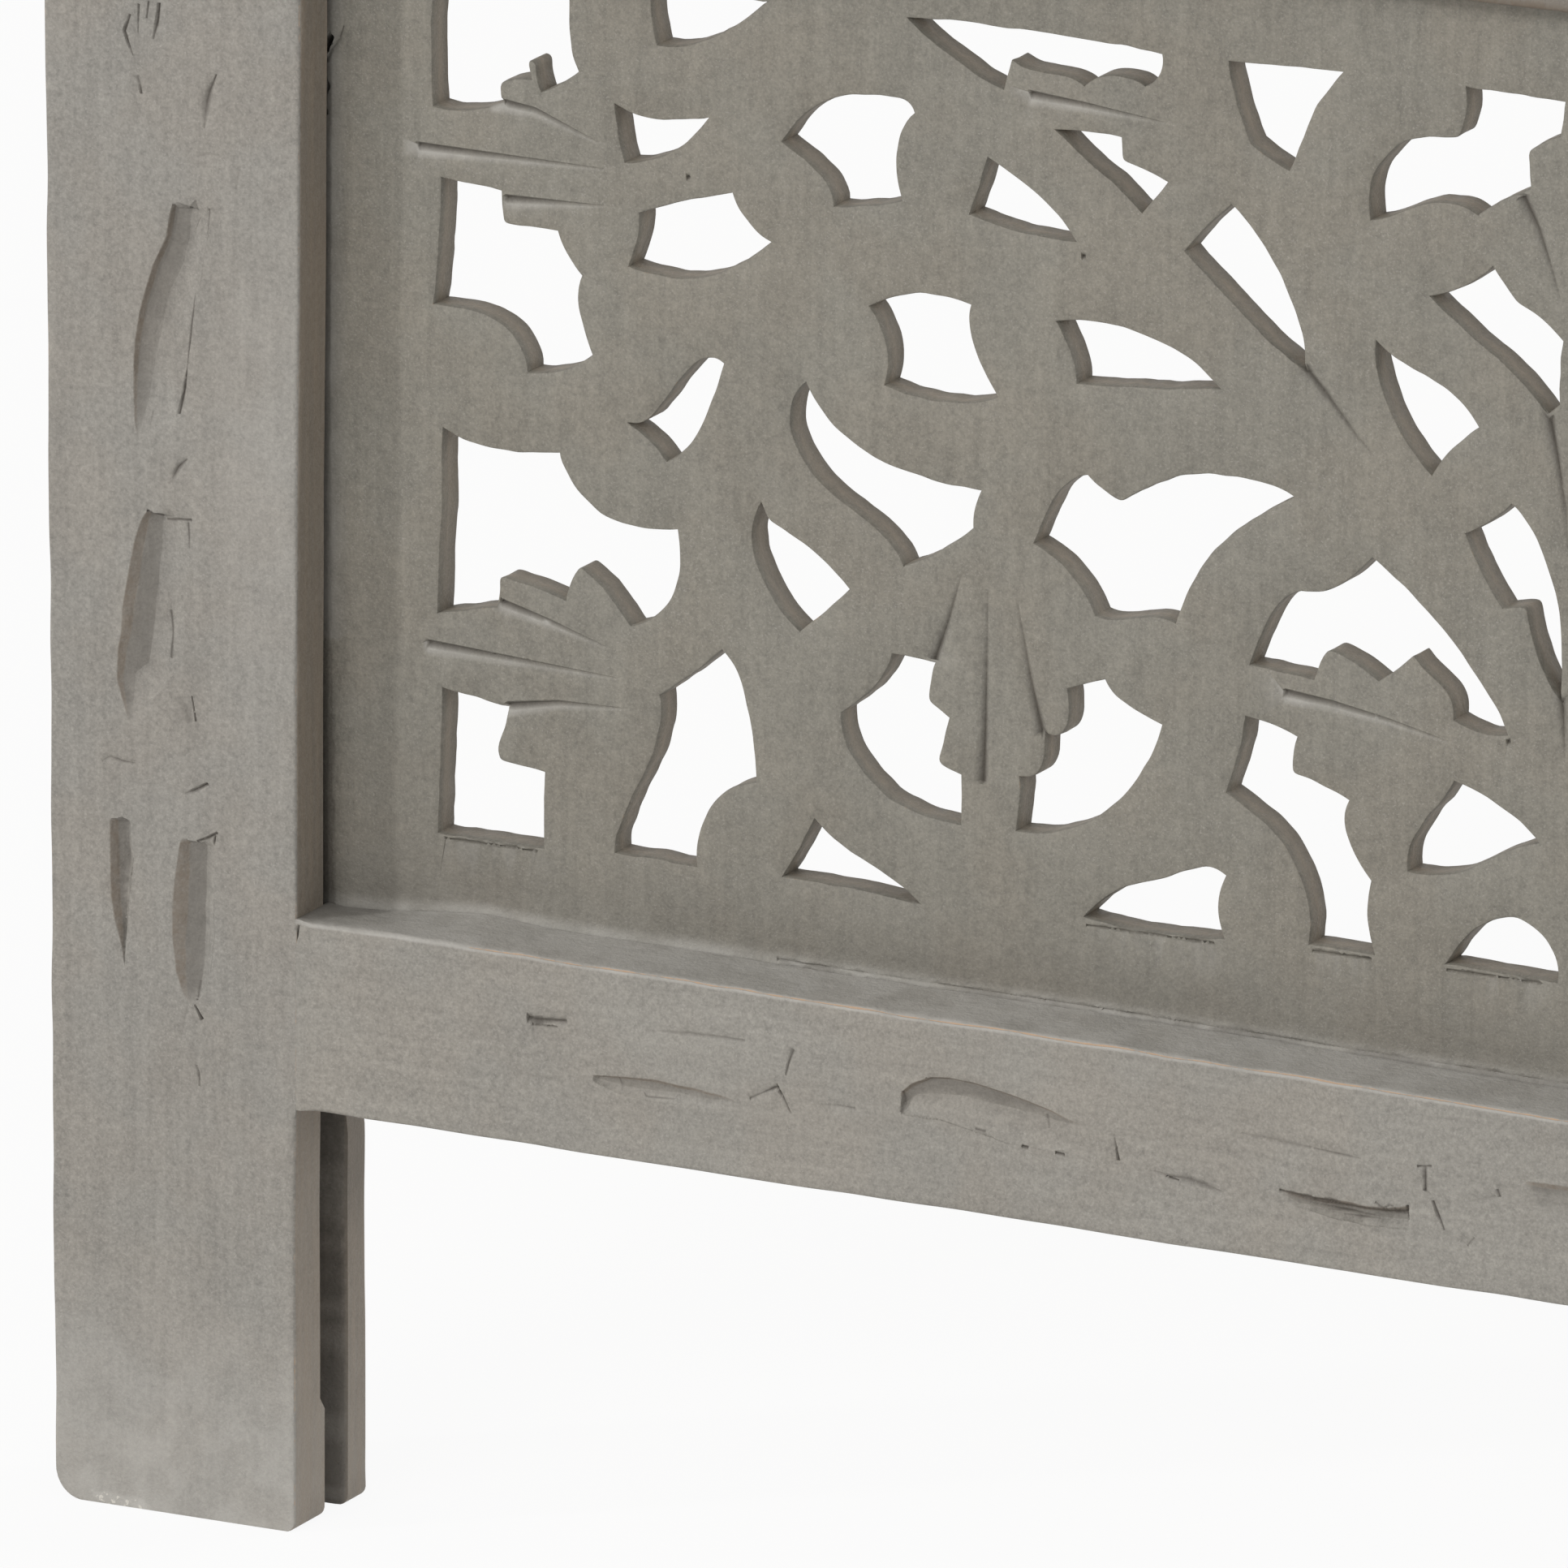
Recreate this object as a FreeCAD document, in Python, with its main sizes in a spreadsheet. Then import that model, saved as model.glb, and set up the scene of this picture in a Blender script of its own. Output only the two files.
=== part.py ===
import FreeCAD, Part
import Sketcher

import math
import os
import re

# A folding screen of three framed panels. Each panel holds four pierced boards between
# grooved stiles and rails, and the panels turn on butt hinges.
#
# Every sub-part is drawn in its own panel's frame in millimetres: x runs across the panel from
# its outer left edge, y runs back from the front face, and z runs up from the floor. A placement
# then stands the panel in the zigzag of the open screen, whose middle is above the origin.

# Driving sizes in millimetres, degrees and counts
SIZES = (
    ("panel_height", 1829),
    ("panel_width", 508),
    ("frame_thickness", 22),
    ("stile_width", 42),
    ("rail_height", 29),
    ("leg_height", 67),
    ("end_opening_height", 165.3),
    ("groove_front_cheek", 8),
    ("groove_width", 8),
    ("stile_groove_depth", 12),
    ("rail_groove_depth", 8),
    ("tenon_cheek_clearance", 0.1),
    ("groove_end_gap", 1),
    ("board_thickness", 5.5),
    ("board_back_clearance", 0.1),
    ("carving_side_margin", 20),
    ("carving_lower_margin", 14.5),
    ("carving_height", 134.5),
    ("carving_bar_height", 9),
    ("rows_in_tall_board", 4),
    ("fold_angle", 20),
    ("panel_gap", 4),
    ("hinge_height", 64),
    ("hinge_end_distance", 170),
    ("leaf_thickness", 1.6),
    ("leaf_depth", 17),
    ("knuckle_radius", 4),
    ("knuckle_count", 5),
    ("knuckle_end_gap", 0.2),
    ("knuckle_face_gap", 0.6),
    ("hinge_pin_radius", 1.9),
    ("hinge_pin_clearance", 0.05),
    ("hinge_pin_head_height", 2),
    ("hinge_pin_head_radius", 3.2),
    ("screw_radius", 1.5),
    ("screw_head_radius", 2.9),
    ("screw_length", 15),
    ("screw_point_length", 3),
    ("screw_slot_width", 0.7),
    ("screw_slot_depth", 0.7),
    ("screw_hole_clearance", 0.05),
    ("screws_per_leaf", 3),
    ("screw_end_distance", 12),
)

SHEET_NAME = "Sizes"
PARTS_FOLDER = "parts"
PANELS = ("left", "middle", "right")
HINGE_LEVELS = ("lower", "middle", "upper")
BOARD_NAMES = ("bottom", "lower", "upper", "top")

# Rails below the two low boards, and the edges in which each rail is grooved for a board
END_BOARD_RAILS = ("bottom", "upper")
RAIL_GROOVES = {
    "bottom": ("head",),
    "lower": ("foot", "head"),
    "middle": ("foot", "head"),
    "upper": ("foot", "head"),
    "top": ("foot",),
}

# Each hinge line's panels and the face its knuckles stand on, and each panel's hinged edges
HINGE_LINES = {
    "left": ("left", "middle", "back"),
    "right": ("middle", "right", "front"),
}
HINGED_EDGES = {
    "left": (("right", "back"),),
    "middle": (("left", "back"), ("right", "front")),
    "right": (("left", "front"),),
}

# Where a hinge's pieces stand in the panel's frame, by the edge or the face that they are on
AXIS_ACROSS_FORMULAS = {"left": "0 - panel_gap / 2", "right": "panel_width + panel_gap / 2"}
AXIS_BACK_FORMULAS = {
    "front": "0 - knuckle_radius - knuckle_face_gap",
    "back": "frame_thickness + knuckle_radius + knuckle_face_gap",
}
STRAP_FORMULAS = {"front": "0 - knuckle_radius - knuckle_face_gap", "back": "frame_thickness"}
PLATE_FORMULAS = {"front": "0", "back": "frame_thickness - leaf_depth"}
LEAF_MIDDLE_FORMULAS = {"front": "leaf_depth / 2", "back": "frame_thickness - leaf_depth / 2"}
QUARTER_TURN = 90
SCREW_TURNS = {
    "left": FreeCAD.Rotation(FreeCAD.Vector(0, 1, 0), QUARTER_TURN),
    "right": FreeCAD.Rotation(FreeCAD.Vector(0, 1, 0), -QUARTER_TURN),
}

# The sketcher's numbers for its origin and for the points of a line or circle
SKETCH_ORIGIN = -1
START_POINT = 1
END_POINT = 2
CENTRE_POINT = 3
FULL_TURN = 2 * math.pi

# Outlines of the holes in the left half of one carved unit, in hundredths of the half unit's
# width from the carving's edge and of its height from the carving's foot. A point with two
# values is a corner, and one marked BEND is passed in a smooth curve.
BEND = "bend"
SHARE_UNIT = 0.01
CORNER_VALUES = 2
STRAIGHT_POINTS = 2
ARC_POINTS = 3
HALF_UNIT_HOLE_SHARES = (
    # left column, from the bottom up
    ((-0.7, -0.5), (8.7, -0.6), (8.55, 5.0, BEND), (8.6, 8.1), (4.8, 8.8), (4.6, 9.8, BEND),
     (5.1, 12.8, BEND), (5.4, 15.1), (2.7, 15.7, BEND), (-0.3, 16.4), (-0.4, 8.0, BEND)),
    ((-0.6, 25.0), (4.5, 26.6), (4.8, 28.2, BEND), (4.8, 30.1), (7.5, 29.6, BEND), (10.6, 28.4),
     (10.9, 30.4, BEND), (11.9, 32.7), (13.6, 30.8, BEND), (14.9, 28.8, BEND), (16.3, 26.4),
     (18.2, 27.7, BEND), (19.8, 30.3, BEND), (20.6, 34.5, BEND), (20.4, 38.3), (16.7, 38.0, BEND),
     (13.6, 39.1, BEND), (11.4, 41.6, BEND), (10.1, 45.3), (7.6, 44.9, BEND), (5.0, 44.6, BEND),
     (2.4, 45.0, BEND), (-0.1, 46.3), (-0.3, 35.0, BEND)),
    ((-0.9, 60.5), (2.5, 60.3, BEND), (5.3, 58.9, BEND), (6.7, 56.8, BEND), (7.3, 54.0),
     (10.2, 54.7, BEND), (12.9, 57.0), (12.0, 60.3, BEND), (11.6, 63.2, BEND), (12.0, 65.9),
     (10.8, 68.2, BEND), (10.0, 70.7), (5.2, 70.7), (5.05, 74.4), (-0.2, 75.1), (-0.4, 67.0, BEND)),
    ((-0.9, 83.1), (3.0, 83.4, BEND), (5.0, 84.4), (4.9, 86.7), (6.3, 87.4, BEND), (7.7, 87.6),
     (7.4, 89.8), (8.1, 89.6), (8.2, 88.0, BEND), (8.6, 86.4), (10.2, 87.6, BEND), (11.7, 89.2),
     (11.1, 92.0, BEND), (10.9, 95.5, BEND), (11.2, 100.0), (-0.8, 100.0), (-1.0, 91.0, BEND)),
    # second column
    ((15.0, 0.2), (22.1, -0.2), (22.2, 3.8, BEND), (23.2, 7.0, BEND), (25.1, 9.5, BEND), (27.2, 10.6),
     (27.1, 14.2, BEND), (26.5, 18.8, BEND), (25.6, 22.6, BEND), (24.3, 25.1), (21.4, 21.7, BEND),
     (18.9, 19.0), (18.7, 14.5, BEND), (17.7, 10.2, BEND), (16.2, 6.0, BEND)),
    ((19.5, 46.0), (21.4, 48.2, BEND), (23.2, 52.6, BEND), (24.4, 58.0), (23.6, 58.4, BEND),
     (20.0, 54.3, BEND), (16.1, 49.8), (17.9, 48.2, BEND)),
    ((16.3, 67.8), (18.8, 67.3, BEND), (21.5, 67.3, BEND), (24.6, 68.7, BEND), (28.5, 72.6),
     (26.2, 75.0, BEND), (25.2, 77.6), (21.5, 76.2, BEND), (17.1, 74.0), (17.0, 71.0, BEND)),
    ((15.9, 79.6), (18.4, 80.3, BEND), (20.8, 82.2, BEND), (23.2, 85.9), (20.8, 85.2, BEND),
     (18.6, 84.9, BEND), (15.1, 85.8), (15.4, 82.5, BEND)),
    ((18.7, 93.4), (21.3, 93.8, BEND), (23.7, 95.2, BEND), (25.8, 97.0, BEND), (28.3, 99.9),
     (18.1, 100.1), (18.3, 96.5, BEND)),
    # third column
    ((29.7, 0.2), (36.0, -0.2, BEND), (41.6, -0.8), (38.5, 2.0, BEND), (35.3, 4.2, BEND),
     (32.4, 7.1), (31.3, 4.2, BEND)),
    ((31.1, 28.7), (33.3, 31.3, BEND), (35.4, 34.2), (32.6, 37.5, BEND), (28.4, 40.8), (27.7, 42.6),
     (27.0, 39.5, BEND), (27.3, 36.0, BEND), (28.8, 31.9, BEND)),
    ((40.1, 37.7), (43.0, 39.8, BEND), (46.1, 43.1), (46.2, 45.2, BEND), (46.8, 47.5),
     (42.5, 47.9, BEND), (38.5, 49.1, BEND), (34.9, 51.6, BEND), (31.6, 57.2), (30.5, 55.0, BEND),
     (30.3, 52.0, BEND), (31.3, 48.6, BEND), (33.6, 45.3, BEND), (37.6, 41.8, BEND)),
    ((38.5, 58.1), (41.2, 57.3, BEND), (44.4, 57.1, BEND), (48.2, 58.4), (46.7, 62.0, BEND),
     (45.8, 65.6, BEND), (45.9, 68.5), (43.0, 69.1, BEND), (40.4, 68.6, BEND), (37.2, 66.8),
     (38.5, 63.2, BEND), (38.8, 60.4, BEND)),
    ((34.1, 77.7), (37.0, 78.2, BEND), (39.9, 79.3), (39.4, 82.5, BEND), (39.6, 86.3, BEND),
     (41.0, 89.4), (40.5, 90.5, BEND), (38.4, 90.9, BEND), (35.3, 90.5, BEND), (32.4, 88.7, BEND),
     (30.5, 86.2, BEND), (29.5, 84.2), (31.9, 82.2, BEND), (33.5, 80.2, BEND)),
    ((48.7, 93.4), (49.3, 97.2), (50.4, 96.3, BEND), (52.6, 96.0, BEND), (55.6, 94.9), (57.2, 96.3, BEND),
     (60.8, 95.8), (62.1, 97.5, BEND), (62.2, 99.6), (55.0, 100.2, BEND), (48.0, 100.4, BEND),
     (40.4, 100.1), (43.5, 97.0, BEND), (46.3, 94.8, BEND)),
    # fourth column
    ((45.05, 9.0), (45.1, 14.7), (43.2, 15.8), (43.6, 18.3, BEND), (44.0, 21.0), (42.2, 22.5),
     (42.3, 24.6, BEND), (42.8, 27.1), (39.1, 27.5), (38.4, 25.0, BEND), (37.0, 22.6, BEND),
     (34.7, 19.9), (35.0, 17.2, BEND), (36.4, 13.9, BEND), (38.8, 11.1, BEND), (41.6, 9.6, BEND)),
    ((49.9, 9.2), (53.0, 9.6, BEND), (56.0, 11.3, BEND), (58.6, 14.3, BEND), (60.8, 18.3, BEND),
     (62.4, 23.6), (60.0, 24.9, BEND), (58.4, 26.2, BEND), (57.5, 27.9), (54.2, 26.3),
     (54.5, 23.5, BEND), (54.0, 21.2, BEND), (52.4, 20.8), (52.4, 18.8, BEND), (52.0, 16.7, BEND),
     (50.2, 15.4), (50.2, 12.5, BEND)),
    ((55.7, 0.4), (62.0, -0.2, BEND), (68.0, 0.1), (67.3, 4.4, BEND), (67.9, 7.4), (66.9, 8.0, BEND),
     (63.4, 6.7, BEND), (60.0, 4.9, BEND), (57.3, 2.5, BEND)),
    ((56.7, 35.1), (59.0, 35.1, BEND), (61.4, 35.7, BEND), (63.6, 35.4), (64.2, 37.8, BEND),
     (65.3, 41.2, BEND), (67.2, 44.9, BEND), (70.0, 48.2, BEND), (73.5, 51.6), (71.2, 52.7, BEND),
     (68.0, 53.0, BEND), (64.4, 52.4, BEND), (61.4, 50.6, BEND), (58.8, 48.3), (57.3, 49.4, BEND),
     (55.9, 50.8), (54.0, 49.2, BEND), (52.5, 46.0, BEND), (51.3, 42.3), (54.1, 40.0, BEND),
     (55.6, 37.6, BEND)),
    ((55.0, 61.1), (61.0, 61.8, BEND), (67.4, 62.7), (65.0, 65.4, BEND), (61.6, 67.4, BEND),
     (57.4, 68.5, BEND), (53.1, 68.0), (54.4, 65.0, BEND)),
    ((45.8, 78.8), (50.3, 77.5, BEND), (54.9, 77.3), (52.5, 81.0, BEND), (50.1, 83.4, BEND),
     (47.3, 85.6), (46.6, 82.2, BEND)),
    ((60.6, 81.5), (62.8, 85.3), (60.8, 86.3, BEND), (58.8, 87.0), (58.7, 89.6), (56.0, 89.8, BEND),
     (53.1, 89.6), (55.6, 87.0, BEND), (58.3, 84.2, BEND)),
    # fifth column
    ((75.2, 1.0), (80.8, 0.8), (80.2, 4.6, BEND), (80.4, 9.2), (79.0, 12.0, BEND), (78.1, 15.2, BEND),
     (78.5, 18.0), (76.4, 19.2, BEND), (73.6, 20.1), (73.6, 22.2, BEND), (73.9, 24.3),
     (72.2, 25.1, BEND), (69.7, 25.8), (69.1, 21.5, BEND), (68.1, 17.0), (71.0, 14.5, BEND),
     (73.4, 11.2, BEND), (74.8, 7.2, BEND)),
    ((70.1, 32.0), (75.4, 31.3), (76.0, 33.4, BEND), (76.7, 34.9), (79.0, 33.7, BEND), (81.0, 32.1),
     (82.4, 33.5, BEND), (84.0, 35.8), (85.3, 33.7, BEND), (86.8, 31.9, BEND), (87.4, 28.8),
     (89.4, 27.9, BEND), (91.9, 28.0), (90.7, 31.3, BEND), (88.5, 35.4, BEND), (85.4, 40.1, BEND),
     (80.4, 45.9), (79.0, 43.9, BEND), (76.9, 41.8, BEND), (74.2, 41.1), (72.5, 39.5, BEND),
     (71.3, 36.8, BEND)),
    ((74.5, 66.3), (74.2, 70.2, BEND), (73.2, 74.2, BEND), (71.2, 79.2, BEND), (68.2, 83.7),
     (66.2, 80.8, BEND), (64.3, 77.8), (67.3, 74.1, BEND), (71.2, 69.3, BEND)),
    ((73.1, 88.6), (74.0, 91.4, BEND), (75.0, 95.0, BEND), (76.3, 98.0, BEND), (77.6, 100.2),
     (67.9, 99.9), (68.3, 97.0, BEND), (69.0, 94.0, BEND), (69.9, 90.9), (71.6, 89.5, BEND)),
    # sixth column, next to the axis
    ((86.8, 0.9), (96.3, 0.7), (96.1, 3.4, BEND), (95.0, 5.6, BEND), (92.7, 7.1, BEND),
     (90.2, 6.1, BEND), (88.0, 3.4, BEND)),
    ((83.6, 10.9), (86.3, 11.1, BEND), (89.0, 12.4, BEND), (91.6, 14.5, BEND), (94.7, 16.2),
     (93.1, 18.1, BEND), (90.8, 20.1, BEND), (87.5, 21.9), (86.1, 18.9, BEND), (84.3, 15.5, BEND)),
    ((91.5, 42.2), (93.6, 42.8), (94.1, 39.5, BEND), (94.9, 36.0, BEND), (96.4, 32.6),
     (96.5, 38.0, BEND), (96.1, 42.8, BEND), (95.2, 48.0, BEND), (92.2, 54.0), (90.5, 51.9, BEND),
     (88.3, 50.1), (89.7, 46.0, BEND)),
    ((85.4, 56.3), (87.1, 59.6, BEND), (89.4, 62.2), (87.8, 64.7, BEND), (85.2, 66.9, BEND),
     (81.8, 69.2, BEND), (80.6, 70.6), (80.8, 66.8, BEND), (82.2, 62.0, BEND), (83.7, 58.8, BEND)),
    ((95.2, 64.9), (96.1, 66.0), (96.2, 70.0, BEND), (96.4, 73.2), (94.8, 75.2, BEND), (92.6, 76.8),
     (91.6, 78.6, BEND), (90.5, 80.8), (88.4, 78.3, BEND), (85.2, 76.3), (88.6, 72.7, BEND),
     (92.8, 68.2, BEND)),
    ((80.1, 84.0), (82.2, 85.0, BEND), (84.3, 86.4, BEND), (86.8, 87.1, BEND), (89.2, 86.2),
     (91.2, 88.1, BEND), (93.6, 89.9), (93.3, 94.0), (94.6, 95.3, BEND), (96.0, 96.2),
     (96.5, 100.1), (88.1, 100.4), (88.1, 97.2, BEND), (87.6, 94.6), (85.3, 94.2, BEND),
     (83.1, 93.5, BEND), (81.4, 91.4, BEND), (80.2, 88.3, BEND)),
)


def sized(formula):
    """Point every size name in a formula at its cell in the sheet."""
    return re.sub("[a-z_]{2,}", lambda name: SHEET_NAME + "." + name.group(), formula)


def add_size_sheet(document):
    """Write the driving sizes into a sheet, one named cell to a row, and return their values."""
    sheet = document.addObject("Spreadsheet::Sheet", SHEET_NAME)
    for row, (name, value) in enumerate(SIZES, start=1):
        sheet.set("A%d" % row, name)
        sheet.set("B%d" % row, str(value))
        sheet.setAlias("B%d" % row, name)
    document.recompute()
    return {name: float(sheet.get(name)) for name, value in SIZES}


def origin_plane(body, role):
    """Find one of a body's own base planes."""
    return [feature for feature in body.Origin.OriginFeatures if feature.Role == role][0]


def start_sketch(body, name, role, offset):
    """Put an empty sketch on a base plane, or at a distance from it."""
    sketch = body.newObject("Sketcher::SketchObject", name)
    sketch.AttachmentSupport = (origin_plane(body, role), [""])
    sketch.MapMode = "FlatFace"
    sketch.setExpression("AttachmentOffset.Base.z", sized(offset))
    return sketch


def pin_point(sketch, geometry, point, across, up):
    """Hold a point of the sketch at a place that two formulas give."""
    for direction, formula in (("DistanceX", across), ("DistanceY", up)):
        constraint = Sketcher.Constraint(direction, SKETCH_ORIGIN, START_POINT, geometry, point, 1.0)
        index = sketch.addConstraint(constraint)
        sketch.setExpression("Constraints[%d]" % index, sized(formula))


def draw_section(sketch, corners):
    """Draw a closed section through corners that are pairs of formulas."""
    count = len(corners)
    turns = [FULL_TURN * index / count for index in range(count)]
    rough = [FreeCAD.Vector(math.cos(turn), math.sin(turn), 0) for turn in turns]
    for index in range(count):
        sketch.addGeometry(Part.LineSegment(rough[index], rough[(index + 1) % count]))
    for index in range(count):
        following = (index + 1) % count
        sketch.addConstraint(Sketcher.Constraint("Coincident", index, END_POINT, following, START_POINT))
    for index, (across, up) in enumerate(corners):
        pin_point(sketch, index, START_POINT, across, up)


def pad_section(body, name, role, corners, length, offset="0"):
    """Raise a section from a base plane by a length."""
    sketch = start_sketch(body, name + "_section", role, offset)
    draw_section(sketch, corners)
    pad = body.newObject("PartDesign::Pad", name)
    pad.Profile = sketch
    pad.setExpression("Length", sized(length))
    sketch.Visibility = False
    body.Document.recompute()
    return pad


def drill_holes(body, name, offset, reversed_cut, centres, radius, depth):
    """Sink a row of round holes into a face across the panel's width."""
    sketch = start_sketch(body, name + "_places", "YZ_Plane", offset)
    for index, (back, up) in enumerate(centres):
        rough = FreeCAD.Vector(1, index, 0)
        sketch.addGeometry(Part.Circle(rough, FreeCAD.Vector(0, 0, 1), 1))
        pin_point(sketch, index, CENTRE_POINT, back, up)
        radius_index = sketch.addConstraint(Sketcher.Constraint("Radius", index, 1.0))
        sketch.setExpression("Constraints[%d]" % radius_index, sized(radius))
    solid_before = body.Tip.Shape.Volume
    pocket = body.newObject("PartDesign::Pocket", name)
    pocket.Profile = sketch
    pocket.Reversed = reversed_cut
    pocket.setExpression("Length", sized(depth))
    sketch.Visibility = False
    body.Document.recompute()
    if pocket.Shape.Volume >= solid_before:
        raise RuntimeError("the holes of %s cut nothing" % name)


def from_edge(edge, formula):
    """Measure across the panel from its left or its right outer edge."""
    return formula if edge == "left" else "panel_width - (%s)" % formula


def hinge_feet(size):
    """Give the height of each hinge's foot above the floor."""
    lower = size["hinge_end_distance"]
    upper = size["panel_height"] - size["hinge_end_distance"] - size["hinge_height"]
    return dict(zip(HINGE_LEVELS, (lower, (lower + upper) / 2, upper)))


def hinge_foot_formulas():
    """Give the same heights as formulas, for the holes in the stiles."""
    lower = "hinge_end_distance"
    upper = "(panel_height - hinge_end_distance - hinge_height)"
    return (lower, "(panel_height - hinge_height) / 2", upper)


def screw_rise_formulas(size):
    """Give each screw's height above its hinge's foot, spread evenly between the end screws."""
    count = int(size["screws_per_leaf"])
    span = "(hinge_height - 2 * screw_end_distance)"
    return ["screw_end_distance + %s * %d / %d" % (span, index, count - 1) for index in range(count)]


def add_stile(document, size, name, edge, hinge_face):
    """Make an upright with the boards' groove in its inner edge, and holes for hinge screws."""
    body = document.addObject("PartDesign::Body", name)
    inner = from_edge(edge, "stile_width")
    outer = from_edge(edge, "0")
    floor = from_edge(edge, "stile_width - stile_groove_depth")
    groove_back = "groove_front_cheek + groove_width"
    corners = [
        (outer, "0"),
        (inner, "0"),
        (inner, "groove_front_cheek"),
        (floor, "groove_front_cheek"),
        (floor, groove_back),
        (inner, groove_back),
        (inner, "frame_thickness"),
        (outer, "frame_thickness"),
    ]
    pad_section(body, name + "_blank", "XY_Plane", corners, "panel_height")
    if hinge_face:
        centres = [
            (LEAF_MIDDLE_FORMULAS[hinge_face], "%s + %s" % (foot, rise))
            for foot in hinge_foot_formulas()
            for rise in screw_rise_formulas(size)
        ]
        radius = "screw_radius + screw_hole_clearance"
        depth = "screw_length - leaf_thickness + screw_hole_clearance"
        drill_holes(body, name + "_screw_holes", outer, edge == "left", centres, radius, depth)
    return body


def rail_corners(grooves):
    """Give a rail's section from its foot, with a groove in each edge that carries a board."""
    groove_back = "groove_front_cheek + groove_width"
    corners = [("0", "0")]
    if "foot" in grooves:
        corners += [
            ("groove_front_cheek", "0"),
            ("groove_front_cheek", "rail_groove_depth"),
            (groove_back, "rail_groove_depth"),
            (groove_back, "0"),
        ]
    corners += [("frame_thickness", "0"), ("frame_thickness", "rail_height")]
    if "head" in grooves:
        corners += [
            (groove_back, "rail_height"),
            (groove_back, "rail_height - rail_groove_depth"),
            ("groove_front_cheek", "rail_height - rail_groove_depth"),
            ("groove_front_cheek", "rail_height"),
        ]
    return corners + [("0", "rail_height")]


def add_rail(document, name, grooves):
    """Make a cross rail whose stub tenons stand in the stiles' grooves."""
    body = document.addObject("PartDesign::Body", name)
    shoulder_length = "panel_width - 2 * stile_width"
    pad_section(body, name + "_blank", "YZ_Plane", rail_corners(grooves), shoulder_length, "stile_width")
    front = "groove_front_cheek + tenon_cheek_clearance"
    back = "groove_front_cheek + groove_width - tenon_cheek_clearance"
    foot = "rail_groove_depth" if "foot" in grooves else "0"
    head = "rail_height - rail_groove_depth" if "head" in grooves else "rail_height"
    corners = [(front, foot), (back, foot), (back, head), (front, head)]
    tenon_start = "stile_width - stile_groove_depth + groove_end_gap"
    tenon_length = "panel_width - 2 * (%s)" % tenon_start
    pad_section(body, name + "_tenons", "YZ_Plane", corners, tenon_length, tenon_start)
    return body


def outline_strokes(outline):
    """Split a hole's outline at its corners into the strokes between them."""
    corners = [index for index, point in enumerate(outline) if len(point) == CORNER_VALUES]
    closed = corners + [corners[0] + len(outline)]
    for start, end in zip(closed, closed[1:]):
        yield [outline[index % len(outline)][:CORNER_VALUES] for index in range(start, end + 1)]


def stroke_edge(points):
    """Join a stroke's points by a straight line, an arc or a smooth curve."""
    if len(points) == STRAIGHT_POINTS:
        return Part.LineSegment(*points).toShape()
    if len(points) == ARC_POINTS:
        return Part.Arc(*points).toShape()
    curve = Part.BSplineCurve()
    curve.interpolate(points)
    return curve.toShape()


def board_front(size):
    """Give how far a board's front stands behind the frame's front."""
    groove_back = size["groove_front_cheek"] + size["groove_width"]
    return groove_back - size["board_back_clearance"] - size["board_thickness"]


def hole_wire(size, outline, foot, height, mirrored, flipped):
    """Cut one hole's outline to the size of its half unit, on the left or mirrored to the right."""
    edge = size["stile_width"] + size["carving_side_margin"]
    half_width = size["panel_width"] / 2 - edge
    front = board_front(size)
    edges = []
    for stroke in outline_strokes(outline):
        points = []
        for share_across, share_up in stroke:
            across = edge + half_width * share_across * SHARE_UNIT
            rise = height * share_up * SHARE_UNIT
            across = size["panel_width"] - across if mirrored else across
            up = foot + height - rise if flipped else foot + rise
            points.append(FreeCAD.Vector(across, front, up))
        edges.append(stroke_edge(points))
    return Part.Wire(edges)


def board_face(size, opening_height, carved_rows):
    """Make the flat face of a pierced board that stands on its groove's floor, its holes left open."""
    left = size["stile_width"] - size["stile_groove_depth"] + size["groove_end_gap"]
    right = size["panel_width"] - left
    foot = -size["rail_groove_depth"]
    head = opening_height + size["rail_groove_depth"] - size["groove_end_gap"]
    front = board_front(size)
    corners = [
        FreeCAD.Vector(left, front, foot),
        FreeCAD.Vector(right, front, foot),
        FreeCAD.Vector(right, front, head),
        FreeCAD.Vector(left, front, head),
    ]
    wires = [Part.makePolygon(corners + corners[:1])]
    for row_foot, height, flipped in carved_rows:
        for outline in HALF_UNIT_HOLE_SHARES:
            for mirrored in (False, True):
                wires.append(hole_wire(size, outline, row_foot, height, mirrored, flipped))
    return Part.makeFace(wires, "Part::FaceMakerBullseye")


def add_board(document, size, name, opening_height, carved_rows):
    """Make a pierced board as thick as the sheet says, its foot in the rail below."""
    face = document.addObject("Part::Feature", name + "_face")
    face.Shape = board_face(size, opening_height, carved_rows)
    board = document.addObject("Part::Extrusion", name)
    board.Base = face
    board.DirMode = "Custom"
    board.Dir = FreeCAD.Vector(0, 1, 0)
    board.Solid = True
    board.setExpression("LengthFwd", sized("board_thickness"))
    return board


def tall_rows(size, opening_height):
    """Stack carved rows up a tall board, each the one below turned upside down."""
    count = int(size["rows_in_tall_board"])
    margin = size["carving_lower_margin"]
    bar = size["carving_bar_height"]
    height = (opening_height - 2 * margin - (count - 1) * bar) / count
    return [(margin + index * (height + bar), height, index % 2 == 1) for index in range(count)]


def end_rows(size, upside_down):
    """Place the one carved row of a low board, turned over at the top of the panel."""
    foot = size["carving_lower_margin"]
    if upside_down:
        foot = size["end_opening_height"] - foot - size["carving_height"]
    return [(foot, size["carving_height"], upside_down)]


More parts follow.
